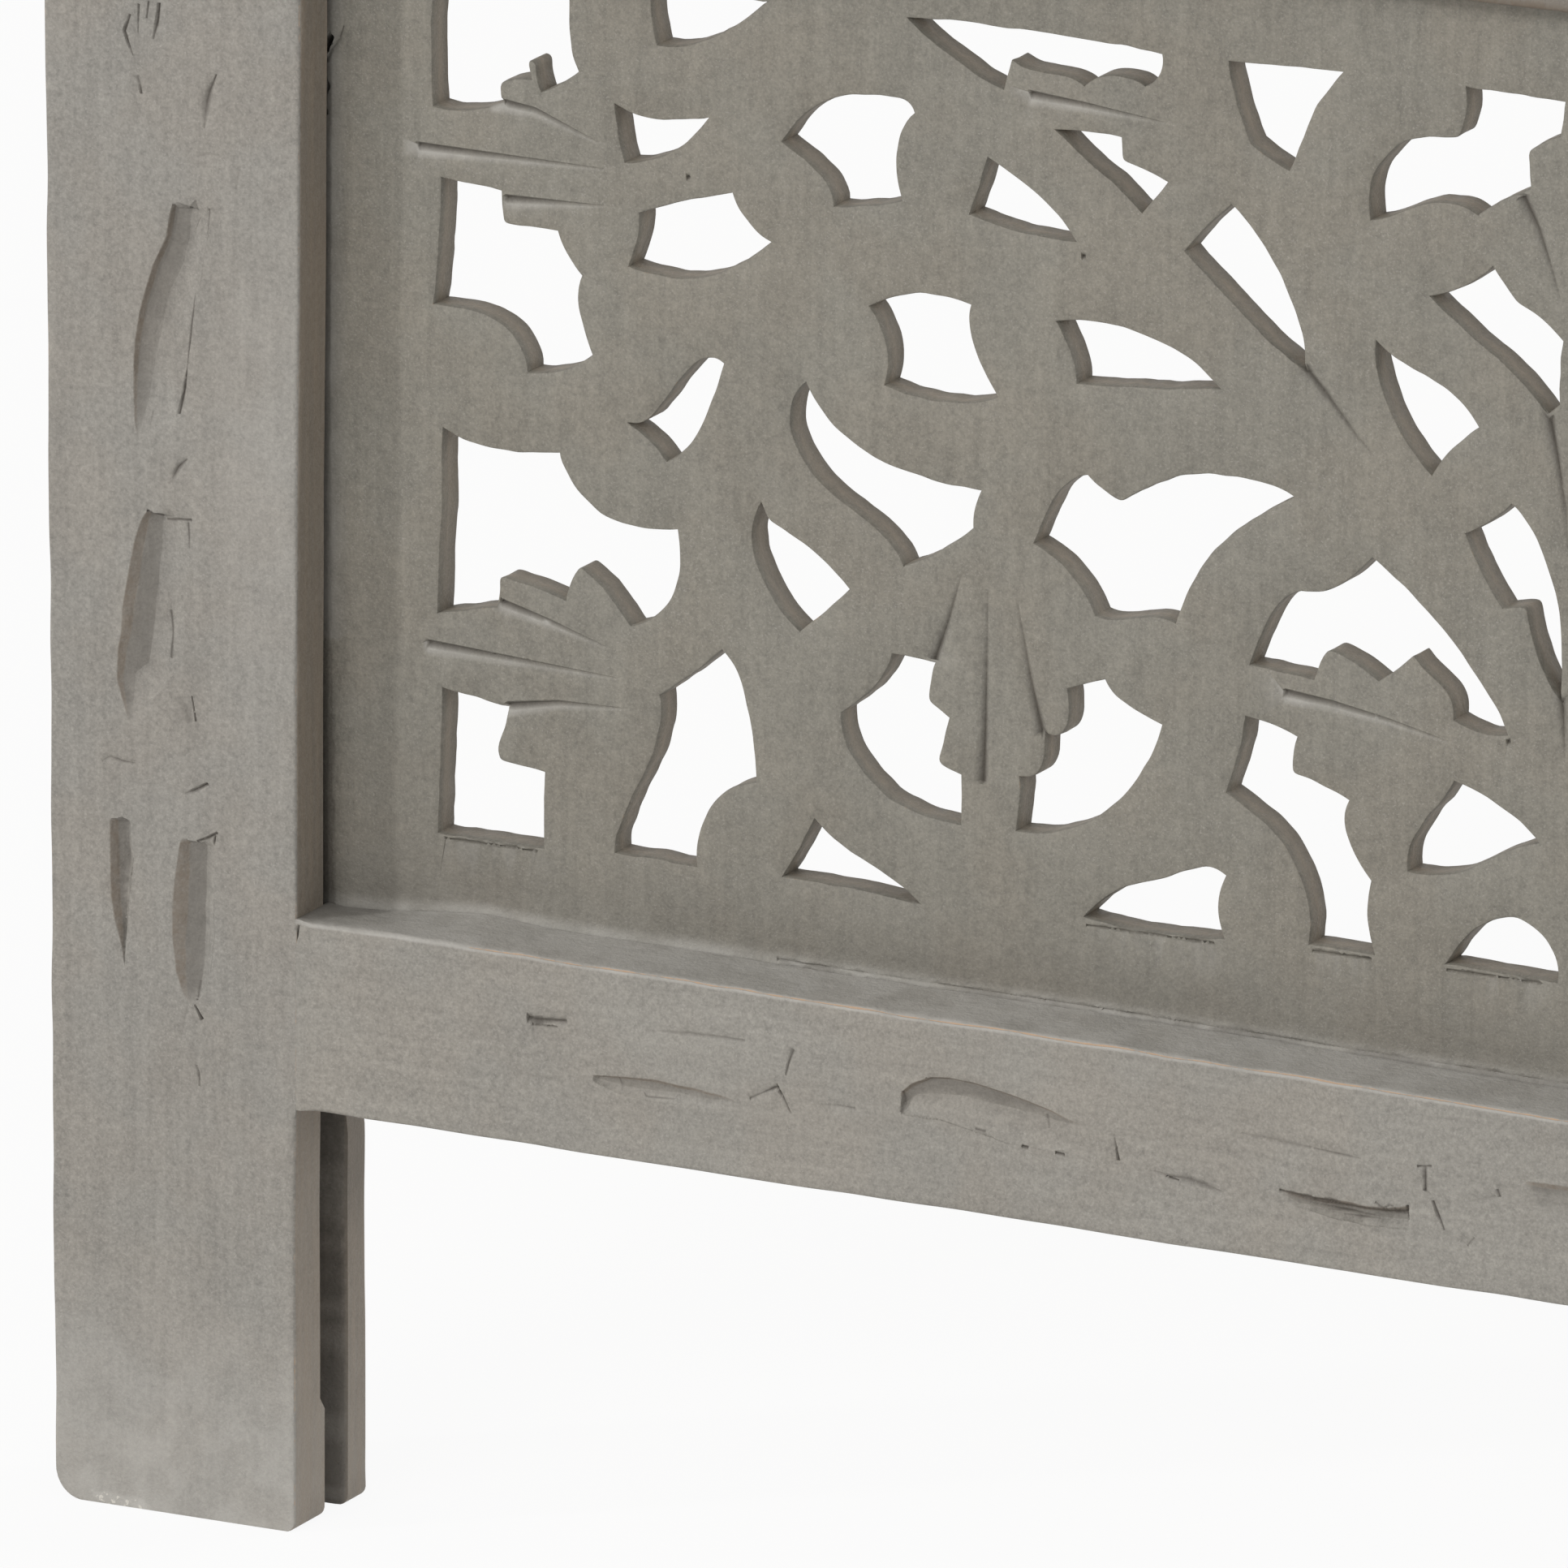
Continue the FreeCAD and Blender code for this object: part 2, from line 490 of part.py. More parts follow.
def add_box(document, name, corner, lengths):
    """Make a box from formulas for its lowest corner and its three lengths."""
    box = document.addObject("Part::Box", name)
    for axis, formula in zip("xyz", corner):
        box.setExpression("Placement.Base." + axis, sized(formula))
    for side, formula in zip(("Length", "Width", "Height"), lengths):
        box.setExpression(side, sized(formula))
    return box


def add_round(document, name, kind, radii, height, foot, rotation=None):
    """Make a cylinder or cone from formulas, standing up unless it is turned."""
    solid = document.addObject(kind, name)
    names = ("Radius",) if kind == "Part::Cylinder" else ("Radius1", "Radius2")
    for radius_name, formula in zip(names, radii):
        solid.setExpression(radius_name, sized(formula))
    solid.setExpression("Height", sized(height))
    if rotation:
        solid.Placement = FreeCAD.Placement(FreeCAD.Vector(), rotation)
    for axis, formula in zip("xyz", foot):
        solid.setExpression("Placement.Base." + axis, sized(formula))
    return solid


def fuse(document, name, solids):
    """Join solids into one."""
    joined = document.addObject("Part::MultiFuse", name)
    joined.Shapes = solids
    return joined


def cut(document, name, base, tools):
    """Take the tools away from a solid."""
    remainder = document.addObject("Part::Cut", name)
    remainder.Base = base
    remainder.Tool = fuse(document, name + "_tools", tools) if len(tools) > 1 else tools[0]
    return remainder


def knuckle_foot(index):
    """Give a knuckle's foot above the hinge's foot."""
    return "hinge_height * %d / knuckle_count + knuckle_end_gap / 2" % index


def add_leaf(document, size, name, edge, face, knuckles):
    """Make a hinge leaf on a stile's outer edge, its knuckles standing clear of the stile's face."""
    plate_across = "panel_width" if edge == "right" else "0 - leaf_thickness"
    knuckle_height = "hinge_height / knuckle_count - knuckle_end_gap"
    axis_across = AXIS_ACROSS_FORMULAS[edge]
    axis_back = AXIS_BACK_FORMULAS[face]
    plate_lengths = ("leaf_thickness", "leaf_depth", "hinge_height")
    solids = [add_box(document, name + "_plate", (plate_across, PLATE_FORMULAS[face], "0"), plate_lengths)]
    for index in knuckles:
        strap_corner = (plate_across, STRAP_FORMULAS[face], knuckle_foot(index))
        strap_lengths = ("leaf_thickness", "knuckle_radius + knuckle_face_gap", knuckle_height)
        solids.append(add_box(document, "%s_strap_%d" % (name, index), strap_corner, strap_lengths))
        barrel_foot = (axis_across, axis_back, knuckle_foot(index))
        barrel_name = "%s_knuckle_%d" % (name, index)
        barrel_radii = ("knuckle_radius",)
        barrel = add_round(
            document, barrel_name, "Part::Cylinder", barrel_radii, knuckle_height, barrel_foot
        )
        solids.append(barrel)
    bore_radius = "hinge_pin_radius + hinge_pin_clearance"
    bore_foot = (axis_across, axis_back, "0")
    tools = [add_round(document, name + "_bore", "Part::Cylinder", (bore_radius,), "hinge_height", bore_foot)]
    head_across = "panel_width + leaf_thickness" if edge == "right" else "0 - leaf_thickness"
    sink_radii = ("screw_head_radius + screw_hole_clearance", "screw_radius + screw_hole_clearance")
    for index, rise in enumerate(screw_rise_formulas(size)):
        sink_foot = (head_across, LEAF_MIDDLE_FORMULAS[face], rise)
        sink_name = "%s_countersink_%d" % (name, index)
        countersink = add_round(
            document, sink_name, "Part::Cone", sink_radii, "leaf_thickness", sink_foot, SCREW_TURNS[edge]
        )
        tools.append(countersink)
    return cut(document, name, fuse(document, name + "_blank", solids), tools)


def add_hinge_pin(document, name, edge, face):
    """Make the headed pin that the knuckles turn on."""
    foot = (AXIS_ACROSS_FORMULAS[edge], AXIS_BACK_FORMULAS[face], "0")
    shank_radii = ("hinge_pin_radius",)
    shank = add_round(document, name + "_shank", "Part::Cylinder", shank_radii, "hinge_height", foot)
    head_foot = (foot[0], foot[1], "hinge_height - knuckle_end_gap / 2")
    head_radii = ("hinge_pin_head_radius",)
    head = add_round(
        document, name + "_head", "Part::Cylinder", head_radii, "hinge_pin_head_height", head_foot
    )
    return fuse(document, name, [shank, head])


def add_screw(document):
    """Make one countersunk wood screw, its head at the origin and its point upwards."""
    head_radii = ("screw_head_radius", "screw_radius")
    head = add_round(document, "screw_head", "Part::Cone", head_radii, "leaf_thickness", ("0", "0", "0"))
    shank_length = "screw_length - leaf_thickness - screw_point_length"
    shank_foot = ("0", "0", "leaf_thickness")
    shank = add_round(document, "screw_shank", "Part::Cylinder", ("screw_radius",), shank_length, shank_foot)
    point_foot = ("0", "0", "screw_length - screw_point_length")
    point = add_round(
        document, "screw_point", "Part::Cone", ("screw_radius", "0"), "screw_point_length", point_foot
    )
    slot_corner = ("0 - screw_head_radius", "0 - screw_slot_width / 2", "0")
    slot_lengths = ("2 * screw_head_radius", "screw_slot_width", "screw_slot_depth")
    slot = add_box(document, "screw_slot", slot_corner, slot_lengths)
    return cut(document, "screw", fuse(document, "screw_blank", [head, shank, point]), [slot])


def screw_places(size, edge, face):
    """Give each screw's place along one hinged edge of a panel."""
    heights = [
        foot + size["screw_end_distance"]
        + (size["hinge_height"] - 2 * size["screw_end_distance"]) * index / (size["screws_per_leaf"] - 1)
        for foot in hinge_feet(size).values()
        for index in range(int(size["screws_per_leaf"]))
    ]
    across = size["panel_width"] + size["leaf_thickness"] if edge == "right" else -size["leaf_thickness"]
    back = size["leaf_depth"] / 2 if face == "front" else size["frame_thickness"] - size["leaf_depth"] / 2
    for height in heights:
        yield FreeCAD.Placement(FreeCAD.Vector(across, back, height), SCREW_TURNS[edge])


def add_screws(document, size, name, screw, hinged_edges):
    """Set a copy of the screw at every place along a panel's hinged edges."""
    group = document.addObject("Part::Feature", name)
    copies = []
    for edge, face in hinged_edges:
        for place in screw_places(size, edge, face):
            copy = screw.Shape.copy()
            copy.Placement = place
            copies.append(copy)
    group.Shape = Part.makeCompound(copies)
    return group


def hinge_axis(size, edge, face):
    """Give the point where a hinge line meets the floor, in the panel's own frame."""
    reach = size["knuckle_radius"] + size["knuckle_face_gap"]
    across = size["panel_width"] + size["panel_gap"] / 2 if edge == "right" else -size["panel_gap"] / 2
    back = -reach if face == "front" else size["frame_thickness"] + reach
    return FreeCAD.Vector(across, back, 0)


def panel_placements(size):
    """Stand the panels in a zigzag that is hinged at their edges and centred on the middle panel."""
    upright = FreeCAD.Vector(0, 0, 1)
    outer_turn = FreeCAD.Rotation(upright, -size["fold_angle"])
    middle_turn = FreeCAD.Rotation(upright, size["fold_angle"])
    centre = FreeCAD.Vector(size["panel_width"] / 2, size["frame_thickness"] / 2, 0)
    middle = FreeCAD.Placement(-middle_turn.multVec(centre), middle_turn)
    left_axis = middle.multVec(hinge_axis(size, "left", "back"))
    right_axis = middle.multVec(hinge_axis(size, "right", "front"))
    left_base = left_axis - outer_turn.multVec(hinge_axis(size, "right", "back"))
    right_base = right_axis - outer_turn.multVec(hinge_axis(size, "left", "front"))
    return {
        "left": FreeCAD.Placement(left_base, outer_turn),
        "middle": middle,
        "right": FreeCAD.Placement(right_base, outer_turn),
    }


def place(node, panel_place, foot=0):
    """Move a sub-part up to its foot in the panel and with the panel into the zigzag."""
    rise = FreeCAD.Placement(FreeCAD.Vector(0, 0, foot), FreeCAD.Rotation())
    node.Placement = panel_place.multiply(rise)
    node.Label = node.Name
    return node


def add_frame(document, size, panel, panel_place):
    """Make a panel's two stiles and five rails."""
    faces = dict(HINGED_EDGES[panel])
    nodes = []
    for edge in ("left", "right"):
        stile_name = "%s_panel_%s_stile" % (panel, edge)
        stile = add_stile(document, size, stile_name, edge, faces.get(edge))
        nodes.append(place(stile, panel_place))
    for level, foot in rail_feet(size).items():
        rail_name = "%s_panel_%s_rail" % (panel, level)
        rail = add_rail(document, rail_name, RAIL_GROOVES[level])
        nodes.append(place(rail, panel_place, foot))
    return nodes


def rail_feet(size):
    """Give the height of each rail's foot above the floor."""
    bottom = size["leg_height"]
    top = size["panel_height"] - size["rail_height"]
    step = size["rail_height"] + size["end_opening_height"]
    return {
        "bottom": bottom,
        "lower": bottom + step,
        "middle": (bottom + top) / 2,
        "upper": top - step,
        "top": top,
    }


def add_boards(document, size, panel, panel_place):
    """Make a panel's four pierced boards, each between two rails."""
    feet = rail_feet(size)
    levels = list(feet)
    nodes = []
    for index, below in enumerate(levels[:-1]):
        opening_foot = feet[below] + size["rail_height"]
        opening_height = feet[levels[index + 1]] - opening_foot
        rows = tall_rows(size, opening_height)
        if below in END_BOARD_RAILS:
            rows = end_rows(size, below == "upper")
        board_name = "%s_panel_%s_jali" % (panel, BOARD_NAMES[index])
        board = add_board(document, size, board_name, opening_height, rows)
        nodes.append(place(board, panel_place, opening_foot))
    return nodes


def add_hinges(document, size, placements):
    """Make the hinges between neighbouring panels, one leaf on each."""
    even_knuckles = range(0, int(size["knuckle_count"]), 2)
    odd_knuckles = range(1, int(size["knuckle_count"]), 2)
    nodes = []
    for line, (near, far, face) in HINGE_LINES.items():
        for level, foot in hinge_feet(size).items():
            name = "%s_%s_hinge" % (line, level)
            near_leaf = add_leaf(document, size, name + "_near_leaf", "right", face, even_knuckles)
            far_leaf = add_leaf(document, size, name + "_far_leaf", "left", face, odd_knuckles)
            pin = add_hinge_pin(document, name + "_pin", "right", face)
            nodes.append(place(near_leaf, placements[near], foot))
            nodes.append(place(far_leaf, placements[far], foot))
            nodes.append(place(pin, placements[near], foot))
    return nodes


def check_nodes(document, nodes):
    """Stop if any object failed or any sub-part isn't made of sound solids."""
    for item in document.Objects:
        if "Invalid" in item.State or "Error" in item.State:
            raise RuntimeError("%s failed: %s" % (item.Name, item.State))
    for node in nodes:
        shape = node.Shape
        if shape.isNull() or not shape.isValid() or not shape.Solids:
            raise RuntimeError("%s has no sound solid" % node.Label)


def main():
    """Build every sub-part and write each to its own file."""
    os.makedirs(PARTS_FOLDER, exist_ok=True)
    document = FreeCAD.newDocument("carved_jali_screen")
    size = add_size_sheet(document)
    placements = panel_placements(size)
    nodes = []
    for panel in PANELS:
        nodes += add_frame(document, size, panel, placements[panel])
        nodes += add_boards(document, size, panel, placements[panel])
    nodes += add_hinges(document, size, placements)
    screw = add_screw(document)
    document.recompute()
    for panel in PANELS:
        screws = add_screws(document, size, panel + "_panel_screws", screw, HINGED_EDGES[panel])
        nodes.append(place(screws, placements[panel]))
    document.recompute()
    check_nodes(document, nodes)
    for node in nodes:
        node.Shape.exportStep(os.path.join(PARTS_FOLDER, node.Label + ".step"))


main()
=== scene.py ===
"""Worn paint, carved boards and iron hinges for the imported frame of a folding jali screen.

Places are in millimetres in a panel's own frame: across from its outer left edge, back from its
front face, and up from the floor. They become metres in the row's frame as a mesh is made.
"""

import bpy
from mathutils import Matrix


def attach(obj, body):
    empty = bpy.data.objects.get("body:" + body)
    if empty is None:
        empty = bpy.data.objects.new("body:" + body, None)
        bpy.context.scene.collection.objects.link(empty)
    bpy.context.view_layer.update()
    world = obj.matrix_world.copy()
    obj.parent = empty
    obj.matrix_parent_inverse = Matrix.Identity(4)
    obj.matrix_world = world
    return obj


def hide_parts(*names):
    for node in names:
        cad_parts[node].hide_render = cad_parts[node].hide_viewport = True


bl_info = {
    "name": "Carved jali screen",
    "version": (1, 0, 0),
    "blender": (4, 5, 0),
    "location": "3D View > Sidebar > Jali screen",
    "description": "Makes the carved boards, worn frames and iron hinges of a folding screen",
    "category": "Object",
}

import bpy
import numpy as np
from mathutils import Matrix, Vector
from mathutils.geometry import delaunay_2d_cdt

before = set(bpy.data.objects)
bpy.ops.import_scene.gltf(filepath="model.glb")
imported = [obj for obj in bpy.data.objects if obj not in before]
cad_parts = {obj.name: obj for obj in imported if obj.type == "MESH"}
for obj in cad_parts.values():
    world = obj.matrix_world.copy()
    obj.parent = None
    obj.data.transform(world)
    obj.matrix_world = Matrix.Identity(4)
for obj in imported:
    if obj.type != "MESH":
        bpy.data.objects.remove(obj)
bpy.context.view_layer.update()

MM = 0.001

# How each panel is turned about the upright axis, in degrees
PANEL_TURNS = {"left_panel": -20, "middle_panel": 20, "right_panel": -20}

# The photograph's frame, and its camera in the left panel's own frame
PHOTO_SIZE = 1932
PHOTO_MIDDLE = PHOTO_SIZE / 2
SENSOR_WIDTH = 36.0
LENS = 668.4
FOCAL_PIXELS = LENS * PHOTO_SIZE / SENSOR_WIDTH
EYE = np.array((2031.2, -3694.4, 1310.1))
EYE_YAW = np.radians(27.298)
EYE_PITCH = np.radians(15.867)
EYE_AHEAD = np.array((
    -np.sin(EYE_YAW) * np.cos(EYE_PITCH),
    np.cos(EYE_YAW) * np.cos(EYE_PITCH),
    -np.sin(EYE_PITCH),
))
EYE_RIGHT = np.array((np.cos(EYE_YAW), np.sin(EYE_YAW), 0.0))
EYE_UP = np.cross(EYE_RIGHT, EYE_AHEAD)

# Frame sizes in millimetres
PANEL_HEIGHT = 1829.0
PANEL_THICKNESS = 22.0
STILE_WIDTH = 42.0
STILE_GROOVE_DEPTH = 12.0
GROOVE_FRONT = 8.0
GROOVE_BACK = 16.0
RAIL_LEFT = 42.0
RAIL_RIGHT = 466.0
RAIL_GROOVE_DEPTH = 8.0
BOARD_FRONT = 10.4
BOARD_THICKNESS = 5.5
TENON_LENGTH = 11.0
TENON_FRONT = 8.1
TENON_BACK = 15.9
RAIL_HEIGHT = 29.0
RAIL_FEET = {
    "bottom_rail": 67.0,
    "lower_rail": 261.3,
    "middle_rail": 933.5,
    "upper_rail": 1605.7,
    "top_rail": 1800.0,
}
RAIL_GROOVED_EDGES = {
    "bottom_rail": ("head",),
    "lower_rail": ("foot", "head"),
    "middle_rail": ("foot", "head"),
    "upper_rail": ("foot", "head"),
    "top_rail": ("foot",),
}

# The carving: where its unit starts and ends, half its width, the heights of its rows, the boards'
# openings, the panels' seeds, and the share in which its lines are drawn
CARVING_LEFT = 62.0
CARVING_RIGHT = 446.0
HALF_UNIT_WIDTH = 192.0
END_ROW_HEIGHT = 134.5
TALL_ROW_HEIGHT = 146.8
ROW_BAR = 9.0
CARVING_MARGIN = 14.5
ROWS_IN_TALL_BOARD = 4
PIECE_SEEDS = {"left_panel": 3, "middle_panel": 11, "right_panel": 23}
BOARD_OPENINGS = {
    "bottom_jali": 96.0,
    "lower_jali": 290.3,
    "upper_jali": 962.5,
    "top_jali": 1634.7,
}
HUNDREDTH = 0.01

# The board that the photograph shows: the slit on its left, dark with dirt and painted shade, by
# the height above its foot, the points beside its edge, the broken seam under it, and how the sill
# of paint there rises
SHOWN_BOARD = ("left_panel", "bottom_jali")
SLIT_WIDTHS = (
    (0.0, 33.0, 38.0, 98.0, 104.0, 131.0, 136.0),
    (1.3, 1.2, 0.9, 0.9, 1.1, 1.2, 0.9),
)
SLIT_DARKNESS = ((0.0, 33.0, 40.0, 136.0), (0.6, 0.55, 0.34, 0.4))
EDGE_OFFSETS = (0.1, 0.4, 0.7, 1.0, 1.4, 1.9)
SEAM_START = 118.0
SEAM_POINTS = 60
SEAM_PIECES = 150
SEAM_RISE = 0.35
SEAM_SEED = 41
SEAM_HALF_WIDTHS = (0.1, 0.5)
SEAM_DEPTHS = (0.03, 0.4)
SILL_RISE = ((0.0, 10.0, 20.0, 27.0, 38.0, 60.0, 98.0), (0.0, 0.2, 1.3, 1.9, 1.2, 1.35, 1.45))

# How far sides in the photograph stand out of line, in millimetres: the stile's inner side by its
# height, the rail's head upwards and its foot downwards by the place along it
STILE_LEAN = (
    (0.0, 50.0, 67.0, 96.0, 161.0, 199.0, 232.0, 260.0, 340.0),
    (-0.4, -0.3, 0.0, 0.3, 0.6, 1.25, 1.65, 1.65, 0.0),
)
HEAD_LEAN = (
    (42.0, 48.0, 60.0, 75.0, 88.0, 150.0, 170.0, 250.0, 466.0),
    (0.6, 0.75, 0.7, 0.6, 0.28, -0.4, -0.5, -1.76, 0.0),
)
FOOT_LEAN = ((42.0, 63.0, 280.0, 466.0), (0.3, 0.43, 1.87, 0.0))

# The upper and lower sides of a fan groove that runs across, as shares of its half width
UPPER_SHARE = 0.4
LOWER_SHARE = 1.7
EVEN_LEAN = (1.0, 1.0)

# How ragged each kind of cut is, and the sizes of scored lines and of awl's dots, as shares of a
# fan groove's
RAGGED_CELL = 0.9
RAGGED_SEED = 5
GROOVE_RAGGEDNESS = 0.1
SCORE_RAGGEDNESS = 0.95
DOT_RAGGEDNESS = 0.3
SEAM_RAGGEDNESS = 0.45
PHOTO_CUT_RAGGEDNESS = 0.5
CHANCE_CUT_RAGGEDNESS = 0.35
SCORE_SPREAD = 1.3
SCORE_DEPTH_SHARES = (4, 5)
DOT_LENGTH = 0.2
DOT_WIDTH_SHARE = 0.5
DOT_DEPTH_SHARE = 0.7

# Grooves cut in the left half of one unit, from the tail to the deep end, in hundredths of the
# half unit's width and of its height
FAN_GROOVES = (
    ((14, 78.5), (-2.2, 78.5)),
    ((13.5, 81.5), (8, 84.3), (4.5, 84.8)),
    ((14, 74.3), (5.5, 73.8)),
    ((15, 20.3), (6, 20.9), (-1.5, 21.4)),
    ((14, 23.8), (9, 25.9), (5, 27.3)),
    ((15.5, 16.9), (10, 16.6), (5.5, 15.5)),
    ((45.1, 37.5), (43.9, 32), (42.7, 27.5)),
    ((47.4, 36), (47.3, 30), (47.1, 20), (46.9, 14.3)),
    ((50, 35), (50.4, 32), (51, 27), (52, 20.8)),
    ((87, 26.3), (82, 27.8), (77, 28.9), (73, 29.4)),
    ((96.2, 78), (95.5, 81), (94.3, 85.5), (93, 88.8)),
    ((62.5, 92), (56, 92.9), (51, 93.4)),
    ((97, 50), (96.8, 54), (96, 60), (95.3, 64.5)),
    ((96.9, 26), (96.5, 33)),
    ((80.5, 57.5), (79, 59.5), (76.5, 63.5), (74.6, 66.3)),
)
SCORED_LINES = (
    ((0, -1), (8, -1)),
    ((56, -0.5), (67, -0.5)),
    ((75.5, 0.3), (80.5, 0.3)),
    ((87, 0.3), (95, 0.3)),
)
AWL_DOTS = ((21.3, 78.8), (55.5, 75.7), (92, 27.2), (73.3, 51.7), (91.3, 28.4))

# Hollows struck into the left stile's front, as photo pixels. A short steep wall runs from the
# lip to the foot, a slope goes on down to the band, and the floor then rises to the far edge. The
# deep end is where the hollow is cut off, at its highest or its lowest place along the wood. Its
# shade is how strongly painted shade darkens its slope and floor
HOLLOW_LINES = ("lip", "foot", "band", "far")
STILE_HOLLOWS = (
    {
        "lip": ((212, 251), (209, 263), (204, 293), (188, 326), (179, 355), (171, 385), (166, 415),
                (164, 445), (164, 481), (165, 517), (169, 542)),
        "foot": ((215, 251), (212, 263), (208, 293), (193, 326), (184, 355), (176, 385),
                 (171, 415), (168, 445), (167, 481), (167, 517), (169.5, 542)),
        "band": ((234, 254), (232, 263), (229, 296), (222, 326), (204, 362), (197, 395),
                 (190, 428), (186, 461), (181, 494), (174, 520), (171, 542)),
        "far": ((265, 256), (259, 275), (252, 312), (246, 352), (239, 385), (233, 428), (229, 458),
                (226, 481), (212, 520), (176, 542)),
        "deep_end": "high",
        "depth": 1.3,
        "shade": 1.3,
    },
    {
        "lip": ((179, 631), (173, 640), (165, 664), (159, 693), (154, 722), (149, 750), (148, 779),
                (144, 800), (143, 837), (151, 866), (159, 892)),
        "foot": ((184, 631), (180, 640), (175, 664), (170, 693), (166, 722), (161, 750),
                 (158, 779), (153, 800), (149, 837), (154, 866), (159.5, 892)),
        "band": ((196, 635), (195.5, 648), (194, 670), (192, 692), (189, 728), (186, 760),
                 (183, 792), (180, 818), (164, 830), (163, 860), (160, 892)),
        "far": ((236, 642), (236, 654), (236, 680), (235, 722), (233, 760), (229, 792), (215, 830),
                (190, 860), (163, 892)),
        "deep_end": "high",
        "depth": 1.3,
        "shade": 1.5,
    },
    {
        "lip": ((135, 1008), (135, 1057), (136.5, 1104), (141, 1135), (150, 1166), (153.5, 1191)),
        "foot": ((142, 1008), (143, 1057), (145, 1104), (148, 1135), (151, 1166), (153.8, 1191)),
        "band": ((153, 1008), (155, 1057), (153, 1104), (152, 1135), (152.5, 1166), (154, 1191)),
        "far": ((159.7, 1008), (162, 1057), (159.7, 1098), (156.6, 1135), (154.5, 1172),
                (154.4, 1191)),
        "deep_end": "high",
        "depth": 1.5,
        "shade": 1.5,
    },
    {
        "lip": ((223, 1035), (221, 1040), (215.5, 1079), (212.4, 1119), (212.4, 1153), (217, 1197),
                (226, 1225), (236, 1238)),
        "foot": ((232, 1035), (231, 1042), (230, 1079), (229, 1119), (226, 1166), (228, 1205),
                 (231, 1225), (237, 1238)),
        "band": ((251, 1035), (251, 1042), (250, 1079), (249.6, 1119), (249.6, 1166),
                 (248, 1205), (243, 1225), (238, 1238)),
        "far": ((268, 1030), (264, 1045), (263.6, 1104), (263.6, 1154), (259, 1197), (252, 1225),
                (239, 1238)),
        "deep_end": "high",
        "depth": 1.3,
        "shade": 1.5,
    },
)

# Cracks and cuts in the left stile's front: photo pixels, then half widths and depths spread
# evenly along them
STILE_CUTS = (
    (((239, 362), (235.5, 395), (232, 428), (229, 458), (226, 481), (220.5, 510)),
     (0.12, 0.28, 0.3, 0.2, 0.5, 0.25), (0.2, 0.4, 0.4, 0.25, 0.5, 0.3)),
    (((257, 258), (252, 312), (244, 352)), (0.2, 0.12, 0.1), (0.3, 0.12, 0.1)),
    (((243.8, 269.6), (237, 284)), (0.15, 0.15), (0.25, 0.15)),
    (((187, 507), (184, 524)), (0.3, 0.2), (0.15, 0.1)),
    (((180, 630), (196, 638)), (0.3, 0.2), (0.5, 0.3)),
    (((200, 642), (218, 641), (234.4, 641.6)), (0.3, 0.35, 0.3), (0.5, 0.4, 0.5)),
    (((229.6, 645), (231, 660), (231, 677)), (0.35, 0.3, 0.15), (0.45, 0.35, 0.1)),
    (((207, 753), (210, 779), (208.8, 811)), (0.4, 0.3, 0.4), (0.45, 0.3, 0.45)),
    (((240, 1238), (248.7, 1256)), (0.15, 0.35), (0.3, 0.6)),
    (((246, 1209), (243, 1232)), (0.3, 0.4), (0.25, 0.35)),
    (((229.5, 1243), (223, 1278)), (0.5, 0.3), (0.12, 0.05)),
    (((243, 1037), (256, 1033), (268, 1026.5)), (0.25, 0.35, 0.3), (0.3, 0.4, 0.5)),
    (((265, 1030), (263.6, 1042)), (0.3, 0.2), (0.4, 0.2)),
    (((262, 1104), (263.6, 1154), (259, 1197)), (0.12, 0.15, 0.12), (0.15, 0.2, 0.15)),
    (((163, 1057), (160, 1098)), (0.15, 0.12), (0.3, 0.15)),
    (((160, 18), (153, 38), (157, 50), (164, 68)), (0.3, 0.4, 0.3, 0.15), (0.3, 0.45, 0.35, 0.1)),
    (((171, 5), (170, 40)), (0.25, 0.2), (0.3, 0.15)),
    (((196, 4), (194, 25), (189, 48)), (0.35, 0.45, 0.2), (0.5, 0.45, 0.15)),
    (((183, 2), (181, 22)), (0.2, 0.2), (0.3, 0.2)),
    (((169, 94), (172, 104), (174, 115)), (0.5, 0.35, 0.3), (0.2, 0.25, 0.3)),
    (((267, 92), (258, 112), (253, 133), (252, 158)), (0.15, 0.7, 0.9, 0.15),
     (0.25, 0.4, 0.3, 0.1)),
    (((241, 193), (256, 190), (270, 191)), (0.2, 0.4, 0.2), (0.05, 0.12, 0.05)),
    (((295, 206), (291, 233)), (0.35, 0.3), (0.1, 0.1)),
    (((230, 566), (218, 576), (210, 594)), (0.25, 0.7, 0.3), (0.2, 0.4, 0.1)),
    (((218, 852), (226, 872), (232, 889)), (0.2, 1.1, 1.5), (0.05, 0.15, 0.2)),
    (((236, 858), (241, 889)), (0.15, 0.2), (0.2, 0.3)),
    (((125, 938), (134, 932), (150, 938), (167, 941)), (0.2, 0.5, 0.3, 0.2),
     (0.1, 0.2, 0.25, 0.1)),
    (((228, 978), (240, 974), (256, 966)), (0.2, 0.5, 0.3), (0.1, 0.45, 0.5)),
    (((150, 1275), (154, 1310)), (1.2, 0.5), (0.06, 0.02)),
    (((242, 1313), (245, 1322), (246, 1338)), (0.35, 0.3, 0.2), (0.15, 0.25, 0.15)),
)

